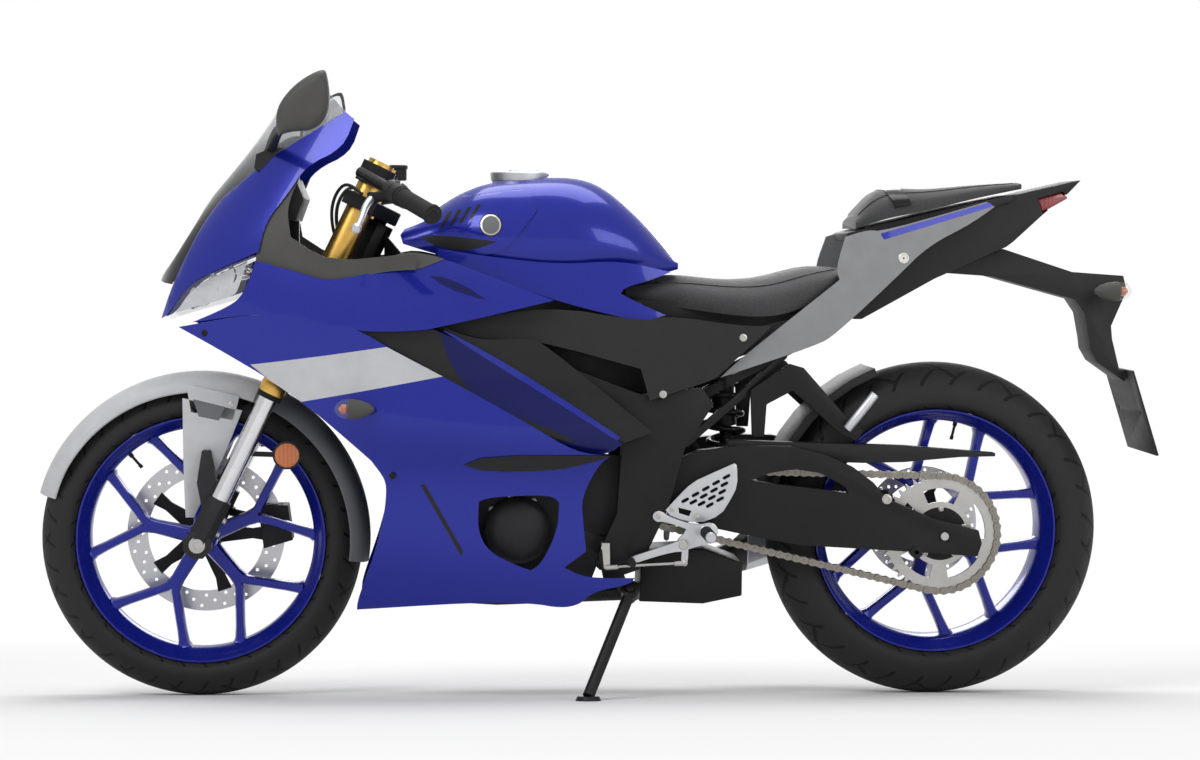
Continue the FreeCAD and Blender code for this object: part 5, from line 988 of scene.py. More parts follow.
def spoke(shape, axle, angle, branch, spread, reach, hub):
    """One forked arm, its faces crowned and its stem dished."""
    turn = Matrix.Rotation(-math.radians(angle), 4, "Y")
    stem = sizes().spoke_stem / 2
    thick = sizes().spoke_branch / 2
    half = sizes().spoke_depth / 2

    def bar(line, widths, depths):
        """One arm of the fork along its line, as wide and deep as given at each point."""
        rings = []
        for index, (x, z) in enumerate(line):
            before = Vector(line[max(index - 1, 0)])
            after = Vector(line[min(index + 1, len(line) - 1)])
            run = (after - before).normalized()
            across = Vector((-run.y, 0.0, run.x)) * widths[index]
            deep = Vector((0.0, depths[index], 0.0))
            places = [Vector((x, 0.0, z)) + across * a + deep * b for a, b in SPOKE_SECTION]
            rings.append([axle + turn @ place for place in places])
        shape.loft(rings, "wheel")

    bar([(hub * 0.72, 0.0), (hub, 0.0), (branch * 0.8, 0.0), (branch, 0.0)],
        [stem * 1.5, stem * 1.15, stem, stem * 1.25], [half * 1.25, half * 1.1, half, half])
    for side in (-1, 1):
        tip = polar(reach, side * spread)
        root = (branch * 1.02, side * 0.009)
        line = [(branch * 0.86, side * 0.003), root]
        line += [(root[0] + (tip[0] - root[0]) * s, root[1] + (tip[1] - root[1]) * s)
                 for s in (0.35, 0.7, 0.92, 1.0)]
        bar(line, [thick * 0.9, thick, thick, thick, thick * 1.15, thick * 1.6],
            [half * 0.95, half, half, half, half, half * 1.3])


def make_rims():
    """The cast wheels: rim, five forked spokes and hub, with the seals and the valve."""
    ends = (("front", FRONT_AXLE, 0.043, 0.030, 0.045, 95.0, 0.112, 21.5),
            ("rear", REAR_AXLE, 0.056, 0.042, 0.060, 41.0, 0.100, 22.5))
    for end, axle, half, hub, hub_half, first, branch, spread in ends:
        shape = Shape()
        edge = [(half, 0.2302), (half, 0.2270), (half - 0.004, 0.2235), (half - 0.011, 0.2200),
                (half - 0.020, 0.2130), (half - 0.026, 0.2085), (0.012, 0.2072)]
        lip = [(half - 0.0035, 0.2304)]
        well = [(half - 0.0055, 0.2262), (half - 0.012, 0.2225), (half - 0.020, 0.2165), (0.0, 0.2145)]
        outer = lip + edge
        profile = outer + [(-y, r) for y, r in reversed(outer)] + [(-y, r) for y, r in well[:3]] + well[::-1]
        shape.hoop(profile, axle, "wheel", 120)
        for index in range(5):
            spoke(shape, axle, first + 72 * index, branch, math.radians(spread), 0.2095, hub)
        barrel = [(-hub_half, 0.0105), (-hub_half, hub * 0.80), (-hub_half + 0.004, hub * 0.92),
                  (-hub_half * 0.45, hub * 0.98), (0.0, hub * 0.9), (hub_half * 0.45, hub * 0.98),
                  (hub_half - 0.004, hub * 0.92), (hub_half, hub * 0.80), (hub_half, 0.0105)]
        shape.turned(barrel, axle, (0, 1, 0), "wheel", 56)
        seal = [(0.0, 0.0105), (0.0, 0.019), (0.0012, 0.0195), (0.0016, 0.0185), (0.0016, 0.0105)]
        for side in (-1, 1):
            shape.turned([(side * (hub_half + reach), radius) for reach, radius in seal], axle, (0, 1, 0),
                         "rubber", 40)
        middle = math.radians(first + 36)
        valve = axle + Vector((math.cos(middle), 0, math.sin(middle))) * 0.209
        shape.turned([(0.0, 0.0045), (0.008, 0.0042), (0.010, 0.0026), (0.028, 0.0026), (0.029, 0.0035),
                      (0.036, 0.0033)], valve, axle - valve, "rubber", 16)
        shape.finish(end + "_wheel_casting", end + "_wheel", [end + "_rim"], angle=42)


# The axes of the plates that stand along the bike
SIDE_PLANE = (Vector((1, 0, 0)), Vector((0, 0, 1)))


def make_discs():
    """The drilled brake discs on their five-armed carriers, with the buttons between them."""
    ends = (("front", FRONT_AXLE, 0.149, 0.057, 0.110, (0.009, 0.019, 0.029), 0.045, 0.0305),
            ("rear", REAR_AXLE, 0.110, 0.084, 0.078, (0.007, 0.016, 0.0245), 0.060, 0.040))
    for end, axle, radius, side, inner, rows, hub_half, boss in ends:
        shape = Shape()
        centre = axle + Vector((0, side, 0))
        holes = []
        for row, gap in enumerate(rows):
            for index in range(20):
                middle = polar(inner + gap, 2 * math.pi * (index + 0.4 * row) / 20)
                holes.append(circle(sizes().disc_hole / 2, 10, middle))
        shape.plate(circle(radius - 0.0005, 120), [circle(inner, 96)] + holes, centre, SIDE_PLANE, 0.0043,
                    end + "_disc")
        arms = []
        for index in range(5):
            a = 2 * math.pi * index / 5
            for da, reach in ((-0.52, boss * 1.12), (-0.11, inner * 0.80), (-0.12, inner * 1.04),
                              (0.12, inner * 1.04), (0.11, inner * 0.80), (0.52, boss * 1.12)):
                arms.append(polar(reach, a + da))
        shape.plate(arms, [circle(boss * 0.62, 36)], centre - Vector((0, 0.0002, 0)), SIDE_PLANE, 0.0040,
                    "black")
        shape.turned([(hub_half - side, boss * 0.6), (hub_half - side, boss), (0.0, boss * 1.1),
                      (0.0015, boss * 0.9), (0.0015, boss * 0.6)], centre, (0, 1, 0), "black", 48)
        shape.finish(end + "_brake_disc", end + "_wheel", [end + "_disc"], angle=30)
        buttons = bolt_circle(centre + Vector((0, 0.0016, 0)), inner * 0.985, 5, 0.0, 1)
        bolts(end + "_disc_buttons", buttons, 0.0062, 0.0020, "steel", end + "_wheel")


# The chain's pitch, the rear chain wheel's teeth and pitch radius, and the chain's side distance
PITCH = 0.015875
CHAIN_TEETH = 43
CHAIN_RADIUS = PITCH / (2 * math.sin(math.pi / CHAIN_TEETH))
CHAIN_SIDE = Vector((0.0, -0.095, 0.0))


def chain_run():
    """An even number of places along the chain's closed line, about a pitch apart."""
    front = beside(at(582.0, 481.0, CHAIN_SIDE.y), 0.0)
    small = 0.0358
    large = CHAIN_RADIUS
    span = Vector((REAR_AXLE.x - front.x, REAR_AXLE.z - front.z))
    base = math.atan2(span.y, span.x)
    tilt = math.asin((large - small) / span.length)
    straight = math.sqrt(span.length ** 2 - (large - small) ** 2)
    upper = base + math.pi / 2 + tilt
    lower = base - math.pi / 2 - tilt
    wrap = large * (upper - lower)
    length = 2 * straight + small * (2 * math.pi - (upper - lower)) + wrap
    links = 2 * round(length / (2 * PITCH))
    spots = []
    for index in range(links):
        run = length * index / links
        if run < straight:
            centre, reach, angle, past = front, small, upper, run
        elif run < straight + wrap:
            centre, reach, angle, past = REAR_AXLE, large, upper - (run - straight) / large, 0.0
        elif run < 2 * straight + wrap:
            centre, reach, angle, past = REAR_AXLE, large, lower, run - straight - wrap
        else:
            centre, reach, angle, past = front, small, lower - (run - 2 * straight - wrap) / small, 0.0
        out = Vector((math.cos(angle), 0, math.sin(angle)))
        ahead = Vector((math.sin(angle), 0, -math.cos(angle)))
        spots.append(centre + out * reach + ahead * past + CHAIN_SIDE)
    return spots


def link_item(side, wide):
    """A chain link about the origin: two waisted plates and its pins, along X with the pins along Z."""
    shape = Shape()
    outline = []
    for end in (1, -1):
        for step in range(7):
            a = math.radians(-75 + 150 * step / 6)
            outline.append((end * (PITCH / 2 + 0.0072 * math.cos(a)), end * 0.0072 * math.sin(a)))
        outline.append((0.0, end * 0.0049))
    for level in (-side, side):
        rings = [[Vector((x, y, level + d)) for x, y in outline] for d in (-0.0009, 0.0009)]
        shape.loft(rings, None)
    for end in (1, -1):
        centre = Vector((end * PITCH / 2, 0, 0))
        shape.turned([(-wide, 0.0024), (-wide + 0.0006, 0.0030), (wide - 0.0006, 0.0030), (wide, 0.0024)],
                     centre, (0, 0, 1), None, 10)
        shape.turned([(-side + 0.001, 0.0049), (side - 0.001, 0.0049)], centre, (0, 0, 1), None, 14)
    return shape.plain("link")


def make_chain():
    """The chain's links in two widths by turns, and the toothed rear chain wheel with its nuts."""
    spots = chain_run()
    middles = [((here + after) / 2, (0, -1, 0), (after - here).normalized())
               for here, after in zip(spots, spots[1:] + spots[:1])]
    outer = repeated("chain_outer_links", link_item(0.0068, 0.0084), middles[0::2], "nickel", "chassis")
    repeated("chain_inner_links", link_item(0.0047, 0.0060), middles[1::2], "nickel", "chassis")
    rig.replaces(outer, "chain")
    teeth = []
    for index in range(CHAIN_TEETH):
        a = 2 * math.pi * index / CHAIN_TEETH
        for da, rise in ((-0.042, -0.0045), (-0.022, 0.0006), (-0.009, 0.0046), (0.009, 0.0046),
                         (0.022, 0.0006), (0.042, -0.0045)):
            teeth.append(polar(CHAIN_RADIUS + rise, a + da))
    holes = [circle(0.0445, 48)]
    for index in range(5):
        a = 2 * math.pi * index / 5 + 0.3
        outer_arc = [polar(0.086, a - 0.42 + 0.84 * step / 5) for step in range(6)]
        inner_arc = [polar(0.060, a + 0.42 - 0.84 * step / 5) for step in range(6)]
        holes.append(outer_arc + inner_arc)
    shape = Shape()
    centre = REAR_AXLE + CHAIN_SIDE
    shape.plate(teeth, holes, centre, SIDE_PLANE, 0.0058, "steel")
    shape.turned([(0.0035, 0.010), (0.0035, 0.050), (-0.0035, 0.050), (-0.006, 0.046), (-0.034, 0.044),
                  (-0.0345, 0.010)], centre, (0, -1, 0), "black", 56)
    shape.finish("rear_chain_wheel", "rear_wheel", ["rear_sprocket"], angle=30)
    nuts = bolt_circle(centre - Vector((0, 0.0035, 0)), 0.0465, 5, 0.3, -1)
    bolts("chain_wheel_nuts", nuts, 0.0040, 0.005, "steel", "rear_wheel")


def make_axles():
    """The two spindles."""
    for end, axle, half in (("front", FRONT_AXLE, 0.1185), ("rear", REAR_AXLE, 0.1400)):
        shape = Shape()
        shape.turned([(-half, 0.0055), (-half, 0.0072), (-half + 0.001, 0.0079), (half - 0.001, 0.0079),
                      (half, 0.0072), (half, 0.0055)], axle, (0, 1, 0), "steel", 32)
        shape.finish(end + "_spindle", FRAME["nodes"][end + "_axle"]["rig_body"], [end + "_axle"], angle=30)


# Fork and cockpit


def make_fork():
    """The fork: chromed legs in gold outer tubes, their seals, the cast feet and the two crowns."""
    for side in (-FORK_SIDE, FORK_SIDE):
        name = "left" if side < 0 else "right"
        start = FRONT_AXLE + Vector((0, side, 0))
        leg = Shape()
        leg.turned([(0.0925, 0.0182), (0.357, 0.0182)], start, FORK_UP, "chrome", 48)
        leg.finish(name + "_fork_leg", "steering", ["fork_legs"] if side < 0 else (), angle=30)
        tube = Shape()
        low = 0.308
        high = low + 0.470
        tube.turned([(low, 0.0190), (low, 0.0235), (low + 0.004, 0.0246), (low + 0.018, 0.0246),
                     (low + 0.020, 0.0238), (low + 0.024, 0.0238), (low + 0.028, 0.0248),
                     (high - 0.010, 0.0248), (high - 0.007, 0.0240), (high - 0.0005, 0.0240)], start,
                    FORK_UP, "gold", 56)
        tube.turned([(high - 0.002, 0.0225), (high - 0.0006, 0.0218), (high - 0.0006, 0.010),
                     (high - 0.002, 0.008)], start, FORK_UP, "black", 40)
        tube.turned([(low - 0.010, 0.0185), (low - 0.010, 0.0225), (low - 0.001, 0.0232), (low, 0.0185)],
                    start, FORK_UP, "rubber", 48)
        tube.finish(name + "_fork_tube", "steering", ["fork_outer_tubes"] if side < 0 else (), angle=30)
    dress("fork_bottoms", "cast", 0.002, 50)
    dress("fork_crowns", "black", 0.0025, 50)
    clamp = [(FRONT_AXLE + FORK_UP * rise + Vector((0, side, 0)) + FORK_BACK * 0.0225, FORK_BACK)
             for side in (-FORK_SIDE, FORK_SIDE) for rise in (0.030, 0.058)]
    bolts("fork_clamp_bolts", clamp, 0.0048, 0.006, "steel", "steering")
    head = (FRONT_AXLE + Vector((0, -0.1172, 0)), (0, -1, 0), (1, 0, 0))
    repeated("front_axle_head", bolt_item(0.0120, 0.0035), [head], "steel", "steering")


def make_reflectors():
    """The round orange reflectors in their rims, on stays from the fork."""
    spot = at(292.6, 450.6, -0.106)
    for side in (-1, 1):
        centre = beside(spot, side * 0.106)
        out = Vector((0, side, 0))
        shape = Shape()
        shape.turned([(-0.0088, 0.0245), (-0.0088, 0.0258), (-0.001, 0.0259), (-0.0002, 0.0250),
                      (-0.0002, 0.0225), (-0.003, 0.0222)], centre, out, "plastic", 48)
        shape.turned([(-0.0035, 0.0224), (-0.0010, 0.0224), (-0.0003, 0.0205), (-0.0002, 0.0001)], centre,
                     out, "orange", 48)
        shape.finish(("left" if side < 0 else "right") + "_reflector", "steering", (), angle=30)
    stay = Shape()
    seat = along_fork(spot.z + 0.010) + FORK_BACK * 0.0188
    low = FORK_UP * 0.005
    lens = beside(spot, 0.0)
    corners = [lens - low, lens + low, seat + low, seat - low]
    for side in (-1, 1):
        stay.loft([moved(corners, side * 0.100), moved(corners, side * 0.094)], "black")
    stay.finish("reflector_stays", "steering", ["fork_reflectors"], angle=30, bevel=0.001)


BAR_END = at(435.6, 202.1, -0.352)
BAR_ROOT = at(398.9, 186.8, -0.234)


def make_bars():
    """The bars with their ribbed grips, levers, switches and hoses, and the brake's reservoir."""
    dress("handlebars", "black", 0.0012, 50)
    inward = (BAR_ROOT - BAR_END).normalized()
    for side in (-1, 1):
        name = "left" if side < 0 else "right"
        end = beside(BAR_END, side * -BAR_END.y)
        run = beside(inward, side * -inward.y)
        grip = Shape()
        stations = [(0.0005, 0.0115), (0.0005, 0.0168), (0.003, 0.0180), (0.006, 0.0180), (0.007, 0.0158)]
        ribs = sizes().grip_ribs
        for index in range(ribs):
            base = 0.010 + index * 0.0988 / ribs
            stations += [(base, 0.0158), (base + 0.0012, 0.0154), (base + 0.0022, 0.0154),
                         (base + 0.0032, 0.0158)]
        stations += [(0.1105, 0.0158), (0.112, 0.0178), (0.1175, 0.0178), (0.1178, 0.0115)]
        grip.turned(stations, end, run, "rubber", 40)
        grip.finish(name + "_grip", "steering", ["grips"] if side < 0 else (), angle=28)
        lever = Shape()
        start = end + run * 0.1190
        lever.turned([(0.0, 0.0118), (0.0, 0.0185), (0.002, 0.0192), (0.020, 0.0192), (0.0205, 0.0184),
                      (0.0215, 0.0184), (0.022, 0.0192), (0.042, 0.0192), (0.044, 0.0180), (0.044, 0.0118)],
                     start, run, "plastic", 36)
        pivot = at(376.0, 193.0, -0.210)
        ball = at(360.6, 216.6, -0.332)
        pivot = beside(pivot, side * -pivot.y)
        ball = beside(ball, side * -ball.y)
        lever.tube([start + run * 0.022, (start + run * 0.022 + pivot) / 2, pivot], 0.0115, "black", 20,
                   [0.0125, 0.0105, 0.0095])
        lever.turned([(-0.009, 0.0088), (-0.0085, 0.0094), (0.0085, 0.0094), (0.009, 0.0088)], pivot,
                     (0, 0.25, 1), "black", 28)
        way = spline([pivot, pivot.lerp(ball, 0.30) + Vector((-0.003, 0, 0.001)), pivot.lerp(ball, 0.7),
                      ball], 16)
        lever.tube(way, 0.006, "alloy", 16, [0.0074 - 0.0022 * i / 15 for i in range(16)])
        along = (ball - pivot).normalized()
        lever.turned([(-0.0085, 0.004), (-0.006, 0.0076), (-0.002, 0.0093), (0.002, 0.0093), (0.006, 0.0072),
                      (0.0082, 0.003)], ball, along, "alloy", 24)
        buttons = start + run * 0.030
        lever.turned([(0.017, 0.0045), (0.0215, 0.0045), (0.0222, 0.0038)], buttons, (0.35, -side * 0.1, 0.9),
                     "red" if side > 0 else "grey", 18)
        lever.turned([(0.016, 0.006), (0.0205, 0.006), (0.021, 0.0052)], buttons - run * 0.016, (0.6, 0, 0.8),
                     "grey", 18)
        lever.finish(name + "_lever_and_switches", "steering", ["levers"] if side < 0 else (), angle=32)
        plug = Shape()
        plug.turned([(-0.0002, 0.0072), (-0.0002, 0.0108), (0.004, 0.0110)], end + run * 0.0004, run,
                    "steel", 32, ends=False)
        plug.finish(name + "_bar_mouth", "steering", angle=30)
    cable = Shape()
    line = [at(366, 190, -0.196), at(357, 184, -0.176), at(345, 187, -0.130), at(337, 206, -0.100),
            at(338, 230, -0.086), at(345, 252, -0.062)]
    cable.tube(spline(line, 60), 0.0030, "rubber", 14)
    cable.tube(spline([beside(point, -point.y) for point in line], 60), 0.0034, "rubber", 14)
    cable.finish("control_hoses", "steering", angle=60)
    reservoir = Shape()
    root = at(401, 186, 0.150)
    reservoir.turned([(0.0, 0.014), (0.002, 0.0165), (0.022, 0.0165), (0.023, 0.0185), (0.028, 0.0185),
                      (0.030, 0.0165)], root - Vector((0.0, 0.0, 0.012)), (0, 0, 1), "plastic", 36)
    reservoir.finish("brake_reservoir", "steering", angle=32)


def make_fender():
    """The front fender: a crowned hoop over the tyre with side plates down the fork."""
    inner = FRONT_AXLE.z + 0.012
    half = 0.066
    rings = []
    share = spline([(-1.0, 1.0), (-0.86, 0.42), (-0.5, 0.1), (0.0, 0.0), (0.5, 0.1), (0.86, 0.42),
                    (1.0, 1.0)], 33)
    for step in range(61):
        angle = math.radians(164 - 172 * step / 60)
        out = Vector((math.cos(angle), 0, math.sin(angle)))
        close = min(1.0, 0.30 + 0.16 * step, 0.42 + 0.10 * (60 - step))
        outer_line, inner_line = [], []
        for y_share, drop_share in share:
            y = half * y_share * (0.62 + 0.38 * close)
            reach = inner + 0.003 - drop_share * 0.034
            outer_line.append(FRONT_AXLE + out * reach + Vector((0, y, 0)))
            inner_line.append(FRONT_AXLE + out * (reach - 0.003) + Vector((0, y * 0.96, 0)))
        rings.append(outer_line + inner_line[::-1])
    shape = Shape()
    shape.loft(rings, "silver")
    outer = 0.0717
    plate = drawn(rounded([(190, 396), (249, 408), (228, 460), (212, 492), (201, 514), (193, 514),
                           (191, 470)], 2, 60), -outer)
    web = drawn(rounded([(194, 382), (246, 394), (240, 418), (198, 410)], 1), -outer)
    for side in (-1, 1):
        shape.loft([moved(plate, side * y) for y in (outer, outer - 0.003)], "silver")
        shape.loft([moved(web, side * y) for y in (outer, 0.058)], "silver")
    made = shape.finish("front_fender_shell", "steering", ["front_fender"], angle=36, bevel=0.0007)
    foot = at(190, 520, 0.0)
    # The hoop behind the fork is tinted dark grey: painted shade.
    tint(made, "grey", lambda p: abs(p.y) < 0.0665 and p.x > -0.69 + 0.45 * (p.z - foot.z))
    slot = Shape()
    dark = drawn(rounded([(200.7, 397), (232, 404.5), (226, 418), (206, 414)], 1), -outer)
    for side in (-1, 1):
        slot.loft([moved(dark, side * y) for y in (outer + 0.0003, outer - 0.001)], "grey")
    slot.finish("fender_slots", "steering", angle=30)
    places = both_sides([at(214.4, 451.7, -0.0718), at(206, 477, -0.0718), at(238, 402, -0.0718)])
    bolts("fender_bolts", places, 0.0042, 0.0030, "steel", "steering")


NOSE = [
    ((166, 340), (420, 340), [(0, 0), (0.05, 0.28), (0.16, 0.50), (0.38, 0.80), (0.65, 0.95), (1, 1.0)]),
    ((164, 316), (420, 312), [(0, 0), (0.04, 0.26), (0.14, 0.50), (0.38, 0.82), (0.65, 0.97), (1, 1.0)]),
    ((170, 282), (420, 268), [(0, 0), (0.04, 0.28), (0.15, 0.55), (0.40, 0.86), (0.70, 0.97), (1, 0.98)]),
    ((215, 208), (430, 200), [(0, 0), (0.06, 0.36), (0.20, 0.62), (0.45, 0.84), (0.75, 0.92), (1, 0.90)]),
    ((262, 150), (440, 140), [(0, 0), (0.08, 0.36), (0.26, 0.60), (0.50, 0.74), (0.75, 0.78), (1, 0.76)]),
    ((300, 92), (460, 92), [(0, 0), (0.10, 0.30), (0.30, 0.48), (0.55, 0.58), (0.80, 0.60), (1, 0.60)]),
]
SIDES = [
    ((150, 232), (640, 262), [(0, 0.40), (0.2, 0.73), (0.4, 0.765), (0.6, 0.683), (0.8, 0.588), (1, 0.512)]),
    ((150, 316), (660, 316), [(0, 0.36), (0.2, 0.82), (0.4, 0.96), (0.6, 0.98), (0.8, 0.90), (1, 0.82)]),
    ((150, 366), (660, 372), [(0, 0.42), (0.2, 0.80), (0.4, 0.98), (0.6, 1.00), (0.8, 0.93), (1, 0.84)]),
    ((330, 441), (660, 446), [(0, 0.86), (0.2, 0.95), (0.4, 0.99), (0.6, 0.98), (0.8, 0.92), (1, 0.86)]),
    ((330, 458), (660, 458), [(0, 0.80), (0.2, 0.88), (0.4, 0.92), (0.6, 0.91), (0.8, 0.86), (1, 0.82)]),
    ((330, 530), (660, 530), [(0, 0.72), (0.2, 0.82), (0.4, 0.88), (0.6, 0.88), (0.8, 0.84), (1, 0.80)]),
    ((330, 604), (660, 604), [(0, 0.50), (0.2, 0.60), (0.4, 0.68), (0.6, 0.72), (0.8, 0.74), (1, 0.74)]),
]
COVERS = [
    ((430, 296), (780, 300), [(0, 0.98), (0.3, 1.0), (0.6, 0.92), (0.8, 0.86), (1, 0.84)]),
    ((430, 334), (780, 334), [(0, 1.06), (0.3, 1.06), (0.6, 0.98), (0.8, 0.92), (1, 0.88)]),
    ((430, 396), (780, 396), [(0, 1.12), (0.3, 1.12), (0.6, 1.04), (0.8, 0.96), (1, 0.90)]),
]
TAIL = [
    ((700, 190), (1020, 186), [(0, 0.92), (0.5, 0.80), (0.8, 0.66), (1, 0.52)]),
    ((700, 250), (1020, 220), [(0, 1.10), (0.5, 1.00), (0.8, 0.80), (1, 0.60)]),
    ((700, 330), (1020, 290), [(0, 1.30), (0.5, 1.14), (0.8, 0.90), (1, 0.66)]),
    ((700, 380), (1020, 360), [(0, 1.34), (0.5, 1.10), (0.8, 0.90), (1, 0.66)]),
]
COWL_LINE = [(169.6, 318.9), (180.5, 284.2), (204.3, 234.3), (228.2, 199.6), (249.8, 182.3), (275.9, 158.4),
             (349.6, 112.9), (358.3, 119.4), (347.4, 146.8), (311.5, 164.4), (295.4, 188.8), (271.5, 219),
             (265, 247.3), (260.7, 249.5), (210.8, 273.3), (193.5, 286.3), (176.1, 314.5)]
SCREEN_LINE = [(168, 284), (215.1, 207), (260.7, 150), (278, 118), (334.4, 97), (349.6, 112.9),
               (275.9, 158.4), (249.8, 182.3), (228.2, 199.6), (204.3, 234.3), (180.5, 284.2)]
BOWL_LINE = [(184, 312), (198, 290), (216, 277), (254, 258), (245, 286), (240, 293), (202, 305)]
LAMP_LINE = [(176.1, 316), (193.5, 286.5), (213, 272.5), (262, 250.5), (250, 289), (243, 296.5), (200, 309.5),
             (180, 318)]
TRIM_LINE = [(306.9, 172), (297, 186), (270, 221), (263, 247), (262, 258.5), (306, 268), (327, 274.6),
             (349, 273.6), (391, 264.6), (430, 263), (427.2, 247.4), (406.3, 248.7), (333, 256.6),
             (296.4, 233), (292, 204)]
TRIM_TAIL_LINE = [(400, 249.6), (415.5, 247.3), (436.9, 251.2), (446.5, 254.2), (438.3, 257.2),
                  (422.6, 263.2), (400, 264.6)]
UPPER_LINE = [(200, 318), (236, 301), (250, 289), (262, 256), (306, 267), (328, 274), (349, 272.5),
              (391, 263), (415, 250), (446, 253.5), (492, 270.5), (554, 293.2), (443, 318), (422, 322),
              (367, 323.3), (348.7, 318), (296.4, 308.9), (254.6, 307.6)]
SIDE_LINE = [(186.6, 323.3), (254.6, 307.6), (296.4, 308.9), (348.7, 318), (367, 323.3), (393.2, 339),
             (445.5, 366.4), (533, 414), (577, 441.5), (611.8, 445.4), (467, 454.8), (377.4, 453.5),
             (376.2, 451.2), (329.3, 409.6), (297, 385.5), (273, 369.5), (222, 341)]
LOWER_LINE = [(377.4, 453.5), (467, 454.8), (611.8, 445.4), (601, 452), (582.4, 487), (585, 513.8),
              (587.7, 540.5), (566.3, 556.6), (587.7, 567.3), (636, 567.3), (630.6, 574), (595.7, 580.7),
              (582.4, 594), (563.6, 598), (534, 592.8), (472.5, 592.8), (362, 602), (362.7, 591.4),
              (378.8, 545.9), (388, 508.4), (390.8, 484.3), (389.5, 469.6)]
WINDOW_LINE = [(481.9, 491), (494, 486.4), (552.9, 484.3), (561, 492.3), (559.6, 519), (544.8, 551.3),
               (534, 559.3), (520.7, 555.3), (491.3, 540.5), (480.5, 519)]
DUCT_LINE = [(350, 315), (443.6, 314), (622.7, 433.5), (610, 444), (575, 448), (533, 420), (400, 352),
             (362, 334)]
SHADE_LINE = [(366, 322.5), (440, 322.5), (446, 332), (450, 350), (468, 378), (500, 400), (545, 416),
              (576, 430), (560, 432), (520, 414), (470, 387), (420, 359), (385, 340)]
LIP_LINE = [(445, 322), (450, 323), (500, 350), (560, 387), (620, 427), (618, 431), (556, 392), (497, 356)]
SKIRT = [
    ((420, 228), (700, 232), [(0, 0.70), (0.25, 0.93), (0.5, 1.01), (0.75, 0.92), (1, 0.50)]),
    ((420, 246), (700, 248), [(0, 0.84), (0.25, 0.99), (0.5, 1.03), (0.75, 0.97), (1, 0.62)]),
    ((420, 276), (700, 276), [(0, 0.96), (0.25, 1.05), (0.5, 1.06), (0.75, 1.02), (1, 0.76)]),
    ((420, 300), (700, 300), [(0, 1.02), (0.25, 1.09), (0.5, 1.09), (0.75, 1.05), (1, 0.84)]),
    ((420, 322), (700, 322), [(0, 1.04), (0.25, 1.12), (0.5, 1.12), (0.75, 1.08), (1, 0.90)]),
]
SKIRT_LINE = [(440, 246), (500, 254), (560, 260), (620, 256), (668, 268), (650, 275), (624, 282), (619, 288),
              (640, 299), (664, 309.5), (641, 316), (600, 306.5), (554, 294.5), (500, 275), (440, 254)]
FRAME_COVER_LINE = [(443.6, 318.7), (480.3, 332.5), (528.6, 330.2), (542.3, 333.7), (652.5, 423.2),
                    (627, 432.4), (622.7, 433.5)]
SIDE_COVER_LINE = [(443.6, 319), (547, 299), (641, 315.3), (666.3, 309.6), (737.5, 319.9), (768, 320),
                   (718, 366.6), (713, 371.8), (649, 392.2), (640, 361.2), (533, 331.4), (480, 332.5)]
STRIPE_LINES = [[(257, 357.3), (330.4, 346.8), (390.6, 337.7), (306.9, 392.6), (275.5, 371.7)],
                [(390.6, 337.7), (445.5, 366.4), (306.9, 392.6)]]
TAIL_LINE = [(838.7, 234), (861, 227), (874.8, 228.9), (998.8, 194.4), (964.4, 220.3), (919.6, 242.6),
             (888.6, 273.6), (830, 328.7), (812.8, 339), (718.1, 370.7), (738.8, 351), (833.5, 275.4),
             (830, 263.3)]


# Half widths of the bodywork where its shares are 1, and the thickness of its walls
NOSE_HALF = 0.205
FAIRING_HALF = 0.226
TAIL_HALF = 0.108
TANK_HALF = 0.142
SEAT_HALF = 0.122
PILLION_HALF = 0.092
WALL = 0.003
# Points round an arched section, and sections along the form
TANK_GRID = (61, 64)
SEAT_GRID = (49, 56)


def nose_piece(name, outline, finish, half_width, nodes, far=0.02):
    """A piece of the nose: the left half cut from the skin, mirrored and joined at the middle."""
    part = skin_part(NOSE, half_width, WALL, outline, far=far)
    shape = Shape().add(part, finish)
    middle = [face for face in shape.mesh.faces if all(abs(vert.co.y) < 2e-5 for vert in face.verts)]
    bmesh.ops.delete(shape.mesh, geom=middle, context="FACES")
    shape.mirrored()
    bmesh.ops.remove_doubles(shape.mesh, verts=shape.mesh.verts[:], dist=5e-5)
    return shape.finish(name, "chassis", nodes, angle=38, merge=5e-5)


def side_piece(name, rows, half_width, outline, finish, nodes, holes=(), extra=(), near=-0.46, wall=WALL):
    """A panel and its twin on the right, with inlays that stand a hair proud of it."""
    shape = Shape().add(skin_part(rows, half_width, wall, outline, holes, near), finish)
    for line, coat, proud in extra:
        shape.add(skin_part(rows, half_width + proud, 0.0010 + proud, line, (), near), coat)
    shape.mirrored()
    return shape.finish(name, "chassis", nodes, angle=38)


